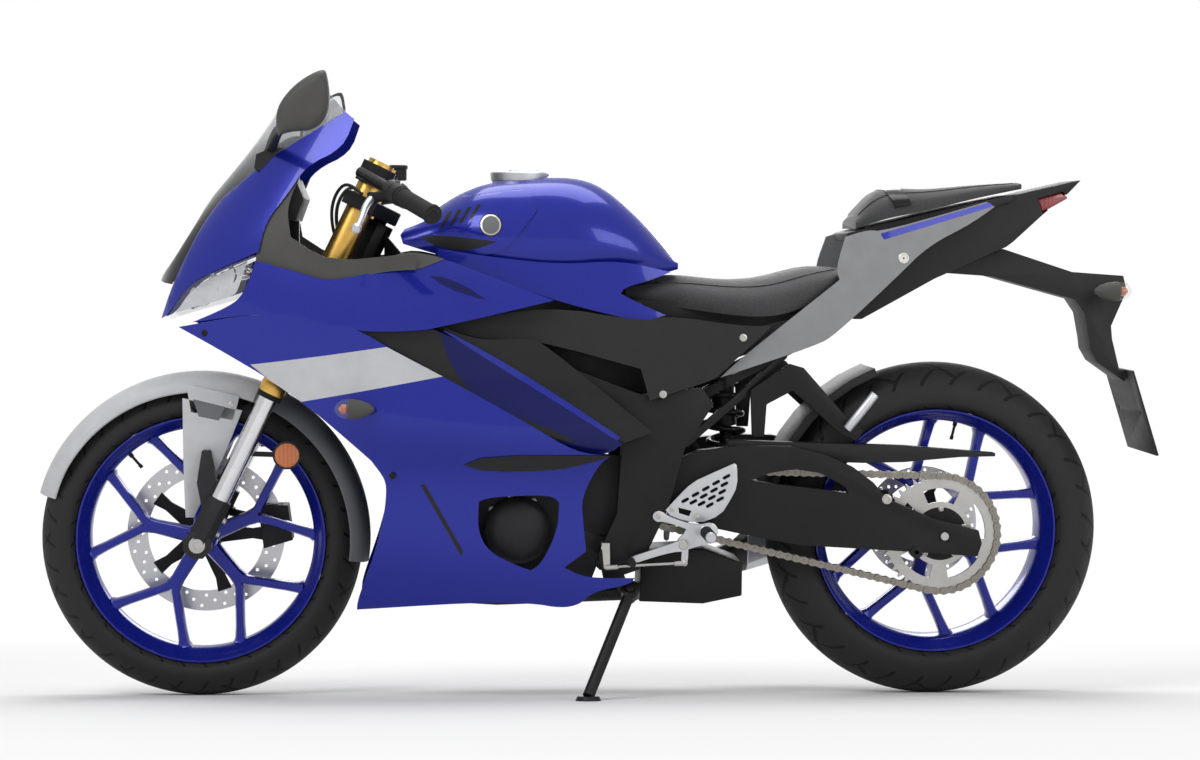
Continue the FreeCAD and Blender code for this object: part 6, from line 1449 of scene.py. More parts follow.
def make_nose():
    """The cowl, the screen, the cockpit's inner trim and the lamps with their bowls and lenses."""
    nose_piece("front_cowl_shell", rounded(COWL_LINE, 2), "body", NOSE_HALF, ["front_cowl"])
    nose_piece("windscreen_sheet", rounded(SCREEN_LINE, 2), "screen", NOSE_HALF, ["windscreen"])
    nose_piece("cockpit_inner_trim", rounded(TRIM_LINE, 2), "trim", NOSE_HALF - WALL - 0.0024,
               ["cockpit_trim"], far=0.0)
    lens = skin_part(NOSE, NOSE_HALF, WALL, rounded(LAMP_LINE, 2))
    Shape().add(lens, "lens").mirrored().finish("headlight_lenses", "chassis", ["headlights"], angle=38)
    bowl = skin_part(NOSE, 0.180, 0.004, rounded(BOWL_LINE, 2))
    lamps = Shape().add(bowl, "chrome")
    aim = Vector((-0.86, -0.45, 0.06)).normalized()
    for u, v, side, size in ((203, 298, -0.075, 0.021), (222, 285, -0.104, 0.024), (240, 273, -0.128, 0.017)):
        centre = at(u, v, side)
        lamps.turned([(-0.016, size * 0.25), (-0.012, size * 0.6), (-0.004, size * 0.9), (0.004, size),
                      (0.0045, size * 0.95), (-0.003, size * 0.84), (-0.010, size * 0.5),
                      (-0.013, size * 0.2)], centre, aim, "chrome", 40)
        lamps.turned([(-0.012, size * 0.22), (0.000, size * 0.22), (0.003, size * 0.10)], centre, aim,
                     "lens", 20)
    lamps.mirrored()
    lamps.finish("headlight_reflectors", "chassis", angle=38)


def make_fairings():
    """The fairings with their stripes, slots and liners, the covers and the screws that hold them; the liners'
    darkened blue and black inlay are painted shade.
    """
    # The scoop inlay takes the darkened liner blue: painted shade in the intake.
    scoop = rounded([(432, 269.5), (446, 270.5), (468, 279), (488, 292), (474, 289), (450, 281)], 1)
    side_piece("upper_fairing_shells", SIDES, FAIRING_HALF, rounded(UPPER_LINE), "body", ["upper_fairings"],
               extra=[(scoop, "liner", 0.0003)])
    side_piece("cockpit_trim_tails", SIDES, FAIRING_HALF + 0.0015, rounded(TRIM_TAIL_LINE, 1), "trim", [],
               wall=0.0025)
    stripes = [(line, "silver", 0.0004) for line in STRIPE_LINES]
    side_piece("side_fairing_shells", SIDES, FAIRING_HALF, rounded(SIDE_LINE), "body", ["side_fairings"],
               extra=stripes)
    slit = rounded([(424.3, 475), (428.5, 474), (467, 541), (464.5, 545)], 1)
    slider = rounded([(467, 454.3), (488.6, 444.6), (601, 444.6), (611.8, 446), (593, 452), (558.2, 460),
                      (488.6, 461.5)], 1)
    side_piece("lower_fairing_shells", SIDES, FAIRING_HALF, rounded(LOWER_LINE), "body", ["lower_fairings"],
               holes=[rounded(WINDOW_LINE)], extra=[(slit, "gloss", 0.0003), (slider, "plastic", 0.0016)])
    # The liner's darkened blue and the gloss black inlay within SHADE_LINE are painted shade in the duct.
    side_piece("duct_liners", SIDES, 0.206, rounded(DUCT_LINE), "liner", ["fairing_liners"],
               extra=[(rounded(SHADE_LINE), "gloss", 0.0004), (rounded(LIP_LINE), "body", 0.0012)])
    side_piece("tank_skirts", SKIRT, TANK_HALF, rounded(SKIRT_LINE), "body", [], near=-0.30)
    side_piece("frame_cover_shells", SIDES, 0.198, rounded(FRAME_COVER_LINE), "gloss", ["frame_covers"])
    side_piece("side_cover_shells", COVERS, 0.165, rounded(SIDE_COVER_LINE), "plastic", ["side_covers"])
    spots = [seen("lower_fairings", 580, 575), seen("lower_fairings", 400, 560),
             seen("lower_fairings", 397, 466), seen("side_fairings", 212, 328),
             seen("side_fairings", 560, 438), seen("upper_fairings", 380, 300)]
    bolts("fairing_screws", twins(spots), 0.0050, 0.0022, "black", "chassis")
    spots = [seen("side_covers", 740, 331), seen("frame_covers", 626.5, 420.3), seen("side_covers", 662, 386)]
    bolts("cover_screws", twins(spots), 0.0056, 0.0026, "steel", "chassis")


TANK = [(438, 212, 262, 0.70, 0.66), (470, 192, 272, 0.92, 0.80), (530, 181, 286, 1.0, 0.86),
        (590, 185, 291, 0.96, 0.80), (640, 224, 279.5, 0.72, 0.62), (672, 262, 270.5, 0.46, 0.44)]
TANK_NOSE = (398, 229, 262, 0.62, 0.62)
TANK_COVER_LINE = [(403.4, 235), (413.8, 221.2), (441.3, 199.4), (528.6, 187.9), (537.7, 207.4),
                   (512.5, 239.5), (501, 248.7), (457.4, 257), (430, 250.5), (406, 243)]
SEAT = [(621.6, 286.5, 297, 0.50, 0.48), (660, 277, 305, 0.66, 0.66), (709, 280, 312, 0.92, 0.90),
        (760, 277, 314, 1.0, 0.98), (800, 268, 300, 0.98, 0.94), (829, 268.5, 276, 0.86, 0.84)]
PILLION = [(842, 221, 231, 0.80, 0.80), (868, 194, 222, 0.98, 0.96), (900, 192, 215, 1.0, 0.98),
           (950, 189, 203, 0.90, 0.88), (1003, 185.5, 192, 0.62, 0.60)]
FILLER = at(520.0, 181.0, 0.0)


def tank_form(stations, grown=0.0):
    """The tank's form through its stations, grown outwards, as a plain object."""
    return Shape().loft(arched(stations, TANK_HALF + grown, *TANK_GRID), None).plain("tank")


def tank_patch(outline, low, high):
    """A patch over the tank's left side within a pixel outline, between two distances from its form."""
    stations = [TANK_NOSE] + TANK
    shell = carved(tank_form(stations, high), tank_form(stations, low), "DIFFERENCE")
    return carved(shell, sight(outline, -2.0 * TANK_HALF, -0.5 * TANK_HALF), "INTERSECT")


def make_tank():
    """The tank with the filler's well, its covers, and the slots and discs let into them."""
    well = Shape().turned([(-0.0105, 0.0566), (0.03, 0.0566)], FILLER, (0, 0, 1), None, 72)
    shape = Shape().add(carved(tank_form(TANK), well.plain("well"), "DIFFERENCE"), "body")
    shape.turned([(-0.0101, 0.0564), (-0.0099, 0.050), (-0.0099, 0.034), (-0.0101, 0.030)], FILLER, (0, 0, 1),
                 "alloy", 64)
    shape.turned([(-0.0099, 0.0335), (-0.0096, 0.030), (-0.0096, 0.022), (-0.0100, 0.020)], FILLER, (0, 0, 1),
                 "gloss", 48)
    shape.finish("tank_shell", "chassis", ["fuel_tank"], angle=36)
    cover = Shape().add(tank_patch(rounded(TANK_COVER_LINE, 2), 0.001, 0.001 + WALL), "body")
    cover.mirrored().finish("tank_cover_shells", "chassis", ["tank_covers"], angle=38)
    inlays = Shape()
    for index in range(4):
        u = 441 + index * 9.5
        line = [(u, 229 - index * 3.6), (u + 4.0, 227.5 - index * 3.6), (u + 13.0, 211 - index * 2.6),
                (u + 9.0, 211.5 - index * 2.6)]
        inlays.add(tank_patch(line, WALL, 0.0043), "gloss")
    lower = rounded([(422, 236), (452, 233.5), (498, 238), (470, 249), (440, 246)], 2)
    inlays.add(tank_patch(lower, WALL, 0.0043), "plastic")
    for radius, proud, finish in ((11.2, 0.0045, "gloss"), (10.0, 0.0050, "steel"), (8.5, 0.0053, "grey")):
        inlays.add(tank_patch(circle(radius, 40, (491.8, 222)), WALL, proud), finish)
    inlays.mirrored().finish("tank_cover_inlays", "chassis", angle=38)


def make_cap():
    """The fuel cap with its flap, keyhole and ring of screws."""
    up = (0, 0, 1)
    shape = Shape()
    shape.turned([(-0.0086, 0.030), (-0.0086, 0.0545), (0.002, 0.0556), (0.0055, 0.0556), (0.0078, 0.0535),
                  (0.0088, 0.048), (0.0088, 0.036), (0.0072, 0.0345), (0.0072, 0.0002)], FILLER, up,
                 "alloy", 72)
    shape.turned([(0.0070, 0.0335), (0.0089, 0.0325), (0.0089, 0.0002)], FILLER, up, "steel", 56)
    flap = [FILLER + Vector((0.004 + x * 0.030, y * 0.0105, 0.0089)) for x, y in circle(1.0, 28)]
    shape.loft([flap, [point + Vector((0, 0, 0.0009)) for point in flap]], "alloy")
    keyhole = FILLER + Vector((-0.008, 0, 0.0089))
    shape.turned([(0.0005, 0.0052), (0.0014, 0.0052), (0.0014, 0.0002)], keyhole, up, "gloss", 24)
    shape.finish("fuel_cap_lid", "cap", ["fuel_cap"], angle=30)
    spots = [polar(0.0435, 2 * math.pi * index / 5 + 0.5) for index in range(5)]
    bolts("fuel_cap_bolts", [(FILLER + Vector((x, y, 0.0086)), up) for x, y in spots], 0.0028, 0.0016,
          "steel", "cap")


def make_seats():
    """Crowned cushions with piped seams over their bases, and the pillion's strap."""
    for name, stations, half, node in (("rider_cushion", SEAT, SEAT_HALF, "rider_seat"),
                                       ("pillion_cushion", PILLION, PILLION_HALF, "pillion_seat")):
        rings = arched(stations, half, *SEAT_GRID)
        made = Shape().loft(rings, "seat").finish(name, "chassis", [node], angle=60)
        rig.padded(made, fill=0.6)
        seam = Shape()
        for share in (0.205, 0.795):
            row = int(round(share * (SEAT_GRID[0] - 1)))
            seam.tube([points[row] for points in rings[2:-2]], sizes().piping / 2, "gloss", 8)
        seam.finish(name + "_piping", "chassis", angle=60)
    top = SEAT_GRID[0] // 2
    over, under = [[points[3:-3] for points in arched(PILLION, PILLION_HALF + grown, *SEAT_GRID)
                    if 0.580 < points[top].x < 0.616] for grown in (0.0070, -0.001)]
    rise = Vector((0, 0, 0.0012))
    rings = [[point + rise for point in outer] + inner[::-1] for outer, inner in zip(over, under)]
    Shape().loft(rings, "gloss").finish("pillion_strap", "chassis", angle=50)


def make_tail():
    """The tail's panels with their stripe and lock, the tail light, the hanger and its lamp."""
    stripe = [(873, 230.6), (988.5, 198.6), (983.3, 204.8), (876.5, 236.4)]
    # The tail panels' darker silver finish is painted shade.
    side_piece("tail_panel_shells", TAIL, TAIL_HALF, rounded(TAIL_LINE), "shaded_silver", ["tail_panels"],
               extra=[(stripe, "body", 0.0004)], near=-0.22)
    dress("tail_unit", "plastic", 0.003, 40, segments=3)
    dress("tail_light", "red", 0.004, 40, segments=3)
    dress("plate_hanger", "plastic", 0.0015, 40)
    point, aim = seen("tail_panels", 895.5, 254.7)
    point += aim * 0.0035
    lock = Shape()
    lock.turned([(-0.002, 0.0105), (0.0012, 0.0105), (0.0018, 0.0095), (0.0018, 0.0072), (0.0008, 0.0068),
                 (0.0008, 0.0002)], point, aim, "steel", 32)
    lock.turned([(0.0007, 0.0018), (0.0013, 0.0018), (0.0013, 0.0002)], point, aim, "gloss", 12)
    lock.finish("tail_lock", "chassis", angle=30)
    capsule = Shape()
    end = at(1113, 284.8, 0.0)
    capsule.turned([(-0.030, 0.004), (-0.028, 0.009), (-0.020, 0.0115), (0.020, 0.0115), (0.028, 0.009),
                    (0.030, 0.004)], end - Vector((0.010, 0.0, 0.0)), (0, 1, 0), "lens", 24)
    capsule.finish("plate_lamp", "chassis", angle=40)


def make_indicators():
    """Four bullet lamps on short stalks: the front ones look forward and the rear ones back."""
    shape = Shape()
    shell = [(0.0, 0.0040), (0.010, 0.0112), (0.024, 0.0160), (0.038, 0.0180), (0.0455, 0.0182)]
    lens = [(0.0456, 0.0178), (0.056, 0.0168), (0.065, 0.0122), (0.0700, 0.0050), (0.0706, 0.0002)]
    bulb = [(0.0457, 0.0060), (0.050, 0.0090), (0.058, 0.0085), (0.063, 0.0030)]
    front = at(379.0, 398.0, -0.2195)
    rear = at(1077.0, 288.5, -0.0423)
    for spot, inner, reach, way in ((front, 0.2155, 0.0340, -1), (rear, 0.0423, 0.0460, 1)):
        for side in (-1, 1):
            centre = beside(spot, side * (inner + reach))
            for profile, finish, sides in ((shell, "trim", 36), (lens, "lens", 36), (bulb, "orange", 24)):
                shape.turned(profile, centre, (way, 0, 0), finish, sides)
            root = Vector((spot.x + way * 0.030, side * inner, spot.z))
            shape.turned([(0.0, 0.0105), (reach * 0.4, 0.0080), (reach * 0.7, 0.0085)], root, (0, side, 0),
                         "rubber", 24)
    shape.finish("indicator_lamps", "chassis", ["indicators"], angle=34)


MIRROR_LINE = [(283.5, 95.5), (301.9, 73.9), (326.8, 60.2), (332.2, 65.2), (335.5, 99.9), (321.4, 120.5),
               (295.4, 121.6), (284.5, 125.9), (281.3, 115)]
MIRROR_FOOT_LINE = [(261, 170), (263, 156), (276, 151), (296, 149), (301, 155), (285, 166), (268, 173)]


def make_mirrors():
    """Mirror heads with crowned backs on bent stalks, with their feet on the cowl."""
    outline = drawn(rounded(MIRROR_LINE, 3, 75), -0.345)
    middle = sum(outline, Vector()) / len(outline)
    foot = drawn(rounded(MIRROR_FOOT_LINE, 1), -0.10)
    knee = at(290, 118, -0.345)
    base = at(276, 154, -0.082)
    shape = Shape()
    glass = Shape()
    for side in (-1, 1):
        rings = []
        for reach, share in ((0.3302, 0.93), (0.3302, 0.98), (0.3325, 1.0), (0.3400, 1.0), (0.3490, 0.95),
                             (0.3560, 0.82), (0.3595, 0.60)):
            rings.append(moved([middle + (point - middle) * share for point in outline], side * reach))
        shape.loft(rings, "trim")
        shape.loft([moved(foot, side * y) for y in (0.112, 0.070)], "plastic")
        start = beside(base, side * 0.082)
        end = beside(knee, side * 0.340)
        bend = start.lerp(end, 0.55) + Vector((0.0, 0.0, 0.012))
        shape.tube(spline([start, bend, end], 18), 0.0095, "plastic", 16,
                   [0.0108 - 0.0022 * index / 17 for index in range(18)])
        small = [middle + (point - middle) * 0.88 for point in outline]
        glass.loft([moved(small, side * y) for y in (0.3298, 0.3312)], "mirror")
    shape.finish("mirror_shells", "chassis", ["mirrors"], angle=38)
    glass.finish("mirror_glasses", "chassis", angle=30)


def make_frame():
    """The frame, the castings, the calipers and the stands, which keep their own CAD shapes."""
    edge = sizes().bracket_edge
    for name, finish, bevel, angle, segments in (
            ("frame", "black", edge * 1.5, 50, 2), ("pillion_brackets", "black", edge, 50, 2),
            ("swingarm", "black", sizes().casting_edge, 50, 3), ("chain_guard", "plastic", edge, 40, 2),
            ("rear_mudguard", "plastic", 0.0012, 36, 2), ("front_caliper", "cast", edge * 1.6, 40, 3),
            ("rear_caliper", "cast", edge * 1.6, 40, 3), ("side_stand", "black", edge, 50, 2),
            ("pillion_footrest_left", "alloy", edge, 50, 2), ("pillion_footrest_right", "alloy", edge, 50, 2),
            ("instrument_panel", "plastic", 0.003, 40, 3)):
        dress(name, finish, bevel, angle, segments)
    spots = [seen("swingarm", 883.7, 490.4), seen("swingarm", 840, 478)]
    bolts("frame_bolts", twins(spots), 0.0075, 0.0045, "steel", "chassis")


GUARD_LINE = [(665.8, 500.7), (676, 489), (691.5, 473), (712, 463.5), (733, 454), (735.6, 456),
              (736.3, 476.6), (729, 491), (720.2, 505.3), (698.4, 514), (672, 507.5)]
GUARD_SIDE = 0.166
PEDAL_SIDE = 0.1733
BRACKET_LINE = [(654, 503.5), (659, 501), (664, 503), (668, 506.5), (686, 513.0), (698, 515.2), (712, 512),
                (718.5, 519), (716, 529), (707, 534.5), (696, 537), (686, 540.5), (678, 538), (677.5, 530.5),
                (683.5, 525), (686.5, 519.5), (676, 515.5), (663, 512), (657, 512.5), (653, 508.5)]
LEVER_LINE = [(682, 529.5), (687.5, 531.5), (688.5, 536), (688, 552), (684.8, 555.6), (681.5, 552),
              (682, 541), (674, 541.5), (658, 545.5), (634, 553.4), (629.5, 551), (630.5, 547), (652, 540),
              (668, 534.5)]


def slot_line(u, v, long, wide, slope):
    """A slot with round ends about a pixel, as an outline."""
    along = Vector((math.cos(slope), math.sin(slope)))
    line = []
    for end in (1, -1):
        middle = Vector((u, v)) + along * (end * (long - wide) / 2)
        for step in range(5):
            a = slope + math.radians(-90 + 45 * step) + (0 if end > 0 else math.pi)
            line.append(tuple(middle + Vector((math.cos(a), math.sin(a))) * (wide / 2)))
    return line


def make_footrests():
    """Slotted heel guards on their brackets, the shift lever with its rod and the footrests."""
    slots = []
    for row, count in enumerate((5, 4, 3, 2)):
        for index in range(count):
            u = 684.9 + 8.1 * row + 10.1 * index
            v = 490.8 + 1.55 * row - 5.85 * index
            slots.append(slot_line(u, v, 8.6, 3.2, math.radians(-29)))
    slots.append([(678.3, 497.9), (691.3, 501.2), (689.0, 506.6), (679.0, 503.6)])
    shape = Shape()
    shape.plate(flat(rounded(GUARD_LINE, 1, 60), -GUARD_SIDE), [flat(line, -GUARD_SIDE) for line in slots],
                Vector((0, -GUARD_SIDE + 0.0025, 0)), SIDE_PLANE, 0.0048, "alloy")
    shape.plate(flat(rounded(BRACKET_LINE, 2, 60), -GUARD_SIDE), [], Vector((0, -GUARD_SIDE + 0.0055, 0)),
                SIDE_PLANE, 0.0090, "alloy")
    shape.mirrored()
    shape.finish("heel_guards", "chassis", ["footrest_brackets"], angle=34, bevel=0.0006, segments=2)
    pegs = Shape()
    root = at(705.3, 521.4, -0.1663)
    toe = at(631.8, 550.0, -PEDAL_SIDE)
    pivot = at(683.5, 534.7, -PEDAL_SIDE)
    arm = at(684.8, 552.3, -PEDAL_SIDE)
    lever = drawn(rounded(LEVER_LINE, 1, 60), -PEDAL_SIDE)
    for side in (-1, 1):
        out = Vector((0, side, 0))
        start = beside(root, side * 0.1663)
        pegs.turned([(0.0, 0.012), (0.006, 0.012), (0.008, 0.0098), (0.090, 0.0098), (0.0915, 0.0085)], start,
                    out, "alloy", 32)
        for index in range(9):
            pegs.turned([(0.0, 0.0096), (0.0008, 0.0112), (0.0038, 0.0112), (0.0046, 0.0096)],
                        start + out * (0.012 + index * 0.0085), out, "rubber", 28)
        pegs.turned([(0.0, 0.0058), (0.008, 0.0058), (0.009, 0.0069), (0.044, 0.0069), (0.0455, 0.006)],
                    beside(toe, side * PEDAL_SIDE), out, "rubber", 24)
        pegs.loft([moved(lever, side * y) for y in (0.1703, 0.1765)], "alloy")
        pegs.turned([(0.0, 0.0088), (0.0085, 0.0088), (0.0095, 0.0078)], beside(pivot, side * 0.1690), out,
                    "steel", 28)
        pegs.turned([(0.0, 0.0055), (0.006, 0.0055), (0.0068, 0.0045)], beside(arm, side * PEDAL_SIDE), out,
                    "steel", 20)
    pegs.finish("footrests_and_levers", "chassis", ["foot_controls"], angle=34)
    rod = Shape()
    low = at(609.0, 557.0, -PEDAL_SIDE)
    near = beside(arm, -0.1775)
    far = beside(low, -0.1775)
    rod.tube([near, near.lerp(low, 0.5) + Vector((0, 0, 0.0005)), far], 0.0024, "steel", 14)
    for end, other in ((near, far), (far, near)):
        rod.turned([(-0.004, 0.0046), (0.018, 0.0046), (0.020, 0.003)], end, other - end, "steel", 18)
    shift = drawn([(603, 533), (611, 533), (611.5, 556), (609, 560), (605.5, 558)], -PEDAL_SIDE)
    rod.loft([moved(shift, -0.1745), moved(shift, -0.1685)], "steel")
    shaft = beside(at(606.6, 537.4, -PEDAL_SIDE), -0.1765)
    rod.turned([(0.0, 0.0075), (0.010, 0.0075), (0.014, 0.006), (0.050, 0.006)], shaft, (0, 1, 0),
               "steel", 24)
    rod.finish("shift_rod", "chassis", angle=34)
    places = drawn([(671.5, 499.7), (696.2, 507.6), (658.6, 507.0)], -GUARD_SIDE)
    bolts("guard_bolts", both_sides(places), 0.0042, 0.0030, "steel", "chassis")


def make_shock():
    """The coil spring over its damper, with seats, collars and the hose beside it."""
    top = at(718.0, 362.1, 0.0)
    low = at(728.0, 476.9, 0.0)
    along = (low - top).normalized()
    length = (low - top).length
    shape = Shape()
    shape.turned([(0.0, 0.0120), (0.003, 0.0148), (0.020, 0.0148), (0.022, 0.030), (0.025, 0.0382),
                  (0.030, 0.0382), (0.032, 0.024), (0.060, 0.0215), (0.120, 0.0215), (0.122, 0.012),
                  (length - 0.054, 0.012), (length - 0.052, 0.0382), (length - 0.047, 0.0382),
                  (length - 0.045, 0.024), (length - 0.022, 0.0148), (length - 0.003, 0.0148),
                  (length, 0.0120)], top, along, "black", 48)
    first, last = 0.0355, length - 0.0575
    across = along.cross(Vector((0, 1, 0))).normalized()
    turns = sizes().spring_turns
    coil = []
    for step in range(24 * turns + 1):
        share = step / (24 * turns)
        angle = 2 * math.pi * turns * share
        radial = across * math.cos(angle) + Vector((0, 1, 0)) * math.sin(angle)
        coil.append(top + along * (first + (last - first) * share) + radial * 0.0328)
    shape.tube(coil, sizes().spring_wire / 2, "gloss", 14)
    shape.finish("spring_and_damper", "chassis", ["shock_absorber"], angle=42)
    hose = Shape()
    line = drawn([(717, 417), (704, 420), (693, 427), (691.5, 437), (697, 449), (702, 462)], -0.030)
    hose.tube(spline(line, 40), 0.0052, "rubber", 16)
    hose.finish("breather_hose", "chassis", angle=60)


SHROUD_LINE = [(402, 252), (440, 257), (500, 273), (554, 290), (640, 298), (640, 330), (560, 332), (470, 326),
               (402, 292)]
THROTTLE_LINE = [(540, 332), (560, 338), (640, 364), (650, 392), (640, 410), (604, 396), (556, 358)]
COVER_LINE = [(556, 452), (612, 446), (640, 456), (648, 476), (640, 506), (612, 528), (570, 530), (556, 520)]
TRAY_LINE = [(840, 232), (868, 224), (900, 216.5), (950, 204.5), (1003, 193.5), (1003, 200), (950, 216),
             (900, 229), (868, 238), (842, 240)]
UNDERTRAY_LINE = [(622, 296), (700, 300), (770, 288), (828, 274), (828, 298), (772, 322), (700, 328),
                  (640, 318)]


def make_engine():
    """The engine and its covers with their screws, the radiator, the exhaust, the fins and the shrouds."""
    edge = sizes().casting_edge
    dress("engine", "cast", edge * 1.3, 36, segments=3)
    dress("engine_covers", "cast", edge, 46, segments=3)
    dress("radiator", "black", 0.002, 36)
    silencer = at(700, 560, 0.15)
    made = dress("exhaust", "black", 0.002, 50)
    tint(made, "alloy", lambda p: p.y > 0.130 and p.x > silencer.x - 0.10)
    centre, _ = seen("engine_covers", 520, 520)
    rim = bolt_circle(beside(centre, -0.1188), 0.056, 8, 0.2, -1)
    bolts("cover_rim_bolts", twins(rim), 0.0042, 0.004, "steel", "chassis")
    fins = Shape()
    for index in range(9):
        v = 358 + index * 8.2
        rear = 505 + index * 4.5
        front = 446 - index * 2.4
        slope = index * 0.2
        fins.slab([(front, v), (rear, v - 5.0 + slope), (rear, v - 3.0 + slope), (front, v + 2.0)], -0.1075,
                  0.1075, "cast")
    fins.finish("cylinder_fins", "chassis", angle=30)
    inner = Shape()
    inner.slab(rounded(SHROUD_LINE, 1), -0.118, 0.118, "plastic")
    inner.slab(rounded(UNDERTRAY_LINE, 1), -0.088, 0.088, "plastic")
    inner.slab(rounded(THROTTLE_LINE, 1), -0.090, 0.090, "plastic")
    inner.slab(rounded(COVER_LINE, 2, 60), -0.117, -0.1055, "cast")
    inner.slab(rounded(TRAY_LINE, 1), -0.076, 0.076, "plastic")
    inner.finish("inner_shrouds", "chassis", angle=30, bevel=0.002)


def make_floor():
    """A pale floor that fades to white far out, so that no horizon shows."""
    reach = 60.0
    plane = bpy.data.meshes.new("floor")
    plane.from_pydata([(-reach, -reach, 0), (reach, -reach, 0), (reach, reach, 0), (-reach, reach, 0)], [],
                      [(0, 1, 2, 3)])
    made = Finish("Studio floor", tuple(colours().floor), 0.7)
    paths = made.node("LightPath").outputs
    shown = made.num(paths["Is Camera Ray"])
    shown = shown.math("MAXIMUM", shown, made.num(paths["Is Glossy Ray"]))
    shown = shown.math("MAXIMUM", shown, made.num(paths["Is Transmission Ray"]))
    along, side, _ = made.axes()
    away = along.math("SQRT", along * along + side * side)
    fade = ((away - 1.5) * 0.55).clamped() * shown
    made.set(Base_Color=made.mix(fade, tuple(colours().floor), (0.0, 0.0, 0.0)))
    made.set(Emission_Color=made.mix(fade, (0.0, 0.0, 0.0), (1.0, 1.0, 1.0)), Emission_Strength=1.0)
    made.set(Specular_IOR_Level=0.0)
    plane.materials.append(made.material)
    ground = bpy.data.objects.new("floor", plane)
    bpy.context.scene.collection.objects.link(ground)
    return ground


def make_stage():
    """The floor, a white world that lights softly, four soft lamps and the camera."""
    scene = bpy.context.scene
    world = bpy.data.worlds.new("Studio")
    world.use_nodes = True
    scene.world = world
    tree = world.node_tree
    paths = tree.nodes.new("ShaderNodeLightPath").outputs
    shown = Num(tree, paths["Is Camera Ray"])
    shown = shown.math("MAXIMUM", shown, Num(tree, paths["Is Transmission Ray"]))
    shown = shown.math("MAXIMUM", shown, Num(tree, paths["Is Glossy Ray"]) * 0.55)
    level = shown * 0.60 + 0.40
    background = tree.nodes["Background"]
    background.inputs["Color"].default_value = (1.0, 1.0, 1.0, 1.0)
    tree.links.new(level.socket, background.inputs["Strength"])
    middle = Vector((0.0, 0.05, 0.55))
    power = sizes().lamp_power
    lamps = (("key", (-2.6, -3.4, 3.6), 2.6, 2.2, 1.15), ("fill", (3.2, -3.6, 1.8), 3.0, 1.8, 0.55),
             ("top", (0.2, 0.4, 4.2), 3.6, 2.2, 0.95), ("back", (0.5, 4.0, 2.4), 3.0, 2.0, 0.70))
    stage = [make_floor()]
    for name, place, wide, high, share in lamps:
        light = bpy.data.lights.new(name, "AREA")
        light.shape = "RECTANGLE"
        light.size = wide
        light.size_y = high
        light.energy = power * share
        lamp = bpy.data.objects.new(name, light)
        scene.collection.objects.link(lamp)
        lamp.location = place
        lamp.rotation_euler = (middle - Vector(place)).to_track_quat("-Z", "Y").to_euler()
        stage.append(lamp)
    camera = bpy.data.cameras.new("camera")
    camera.sensor_width = 36.0
    camera.lens = camera.sensor_width * FOCAL / (2 * MIDDLE[0])
    view = bpy.data.objects.new("camera", camera)
    scene.collection.objects.link(view)
    view.location = Vector((-0.300, -4.34, 0.26))
    target = STAND @ at(600, 380, 0.0)
    view.rotation_euler = (target - view.location).to_track_quat("-Z", "Y").to_euler()
    scene.camera = view
    scene.view_settings.view_transform = "Standard"
    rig.stage(*stage)


def length(name, description, default, low, high):
    """A size in metres for the sidebar."""
    return bpy.props.FloatProperty(name=name, description=description, default=default, min=low, max=high,
                                   subtype="DISTANCE", unit="LENGTH", precision=4)


def whole(name, description, default, low, high):
    """A number of turns, ribs or grooves for the sidebar."""
    return bpy.props.IntProperty(name=name, description=description, default=default, min=low, max=high)


def colour(name, description, default):
    """A linear colour for the sidebar."""
    return bpy.props.FloatVectorProperty(name=name, description=description, default=default, min=0.0,
                                         max=1.0, size=3, subtype="COLOR")


class SportBikeSizes(bpy.types.PropertyGroup):
    """Sizes and counts of the bike's dressed pieces"""

    spoke_stem: length("Spoke stem", "Width of a wheel spoke near the hub", 0.025, 0.015, 0.040)
    spoke_branch: length("Spoke branch", "Width of a spoke's two branches near the rim", 0.017, 0.010, 0.025)
    spoke_depth: length("Spoke depth", "How deep the spokes are along the axle", 0.0296, 0.015, 0.040)
    disc_hole: length("Disc hole", "Diameter of the holes in the brake discs", 0.0064, 0.003, 0.009)
    tread_depth: length("Tread depth", "How deep the grooves of the tyres look", 0.0035, 0.001, 0.006)
    casting_edge: length("Casting edge", "Rounding of the castings' edges", 0.003, 0.0005, 0.005)
    bracket_edge: length("Bracket edge", "Rounding of the brackets' edges", 0.0015, 0.0005, 0.003)
    spring_wire: length("Spring wire", "Thickness of the shock absorber's spring wire", 0.0118, 0.006, 0.014)
    piping: length("Seat piping", "Thickness of the seats' piped seams", 0.0032, 0.001, 0.006)
    spring_turns: whole("Spring turns", "Turns of the shock absorber's spring", 4, 3, 7)
    grip_ribs: whole("Grip ribs", "Ribs round each handlebar grip", 26, 8, 40)
    front_grooves: whole("Front grooves", "Long grooves round the front tyre", 18, 8, 30)
    rear_grooves: whole("Rear grooves", "Long grooves round the rear tyre", 16, 8, 30)
    lamp_power: bpy.props.FloatProperty(name="Lamp power", description="Power of the studio lamps in watts",
                                        default=100.0, min=20.0, max=300.0, unit="POWER")


class SportBikeColours(bpy.types.PropertyGroup):
    """Colours of the bike's finishes and of the floor"""

    lacquer: colour("Lacquer", "Darker tone of the blue metallic lacquer", (0.006, 0.011, 0.180))
    silver: colour("Silver", "Silver of the fender, the stripes and the tail", (0.47, 0.475, 0.49))
    black: colour("Black", "Black of the frame, the mouldings and the swingarm", (0.015, 0.015, 0.016))
    gold: colour("Gold", "Anodised tone of the fork's outer tubes", (0.72, 0.44, 0.11))
    seat: colour("Seat", "Tone of the seat covers", (0.042, 0.042, 0.044))
    indicator: colour("Indicator", "Orange of the indicators and reflectors", (0.60, 0.14, 0.012))
    tail_lens: colour("Tail lens", "Red of the tail light", (0.33, 0.004, 0.008))
    floor: colour("Floor", "Pale floor of the studio", (0.80, 0.80, 0.80))


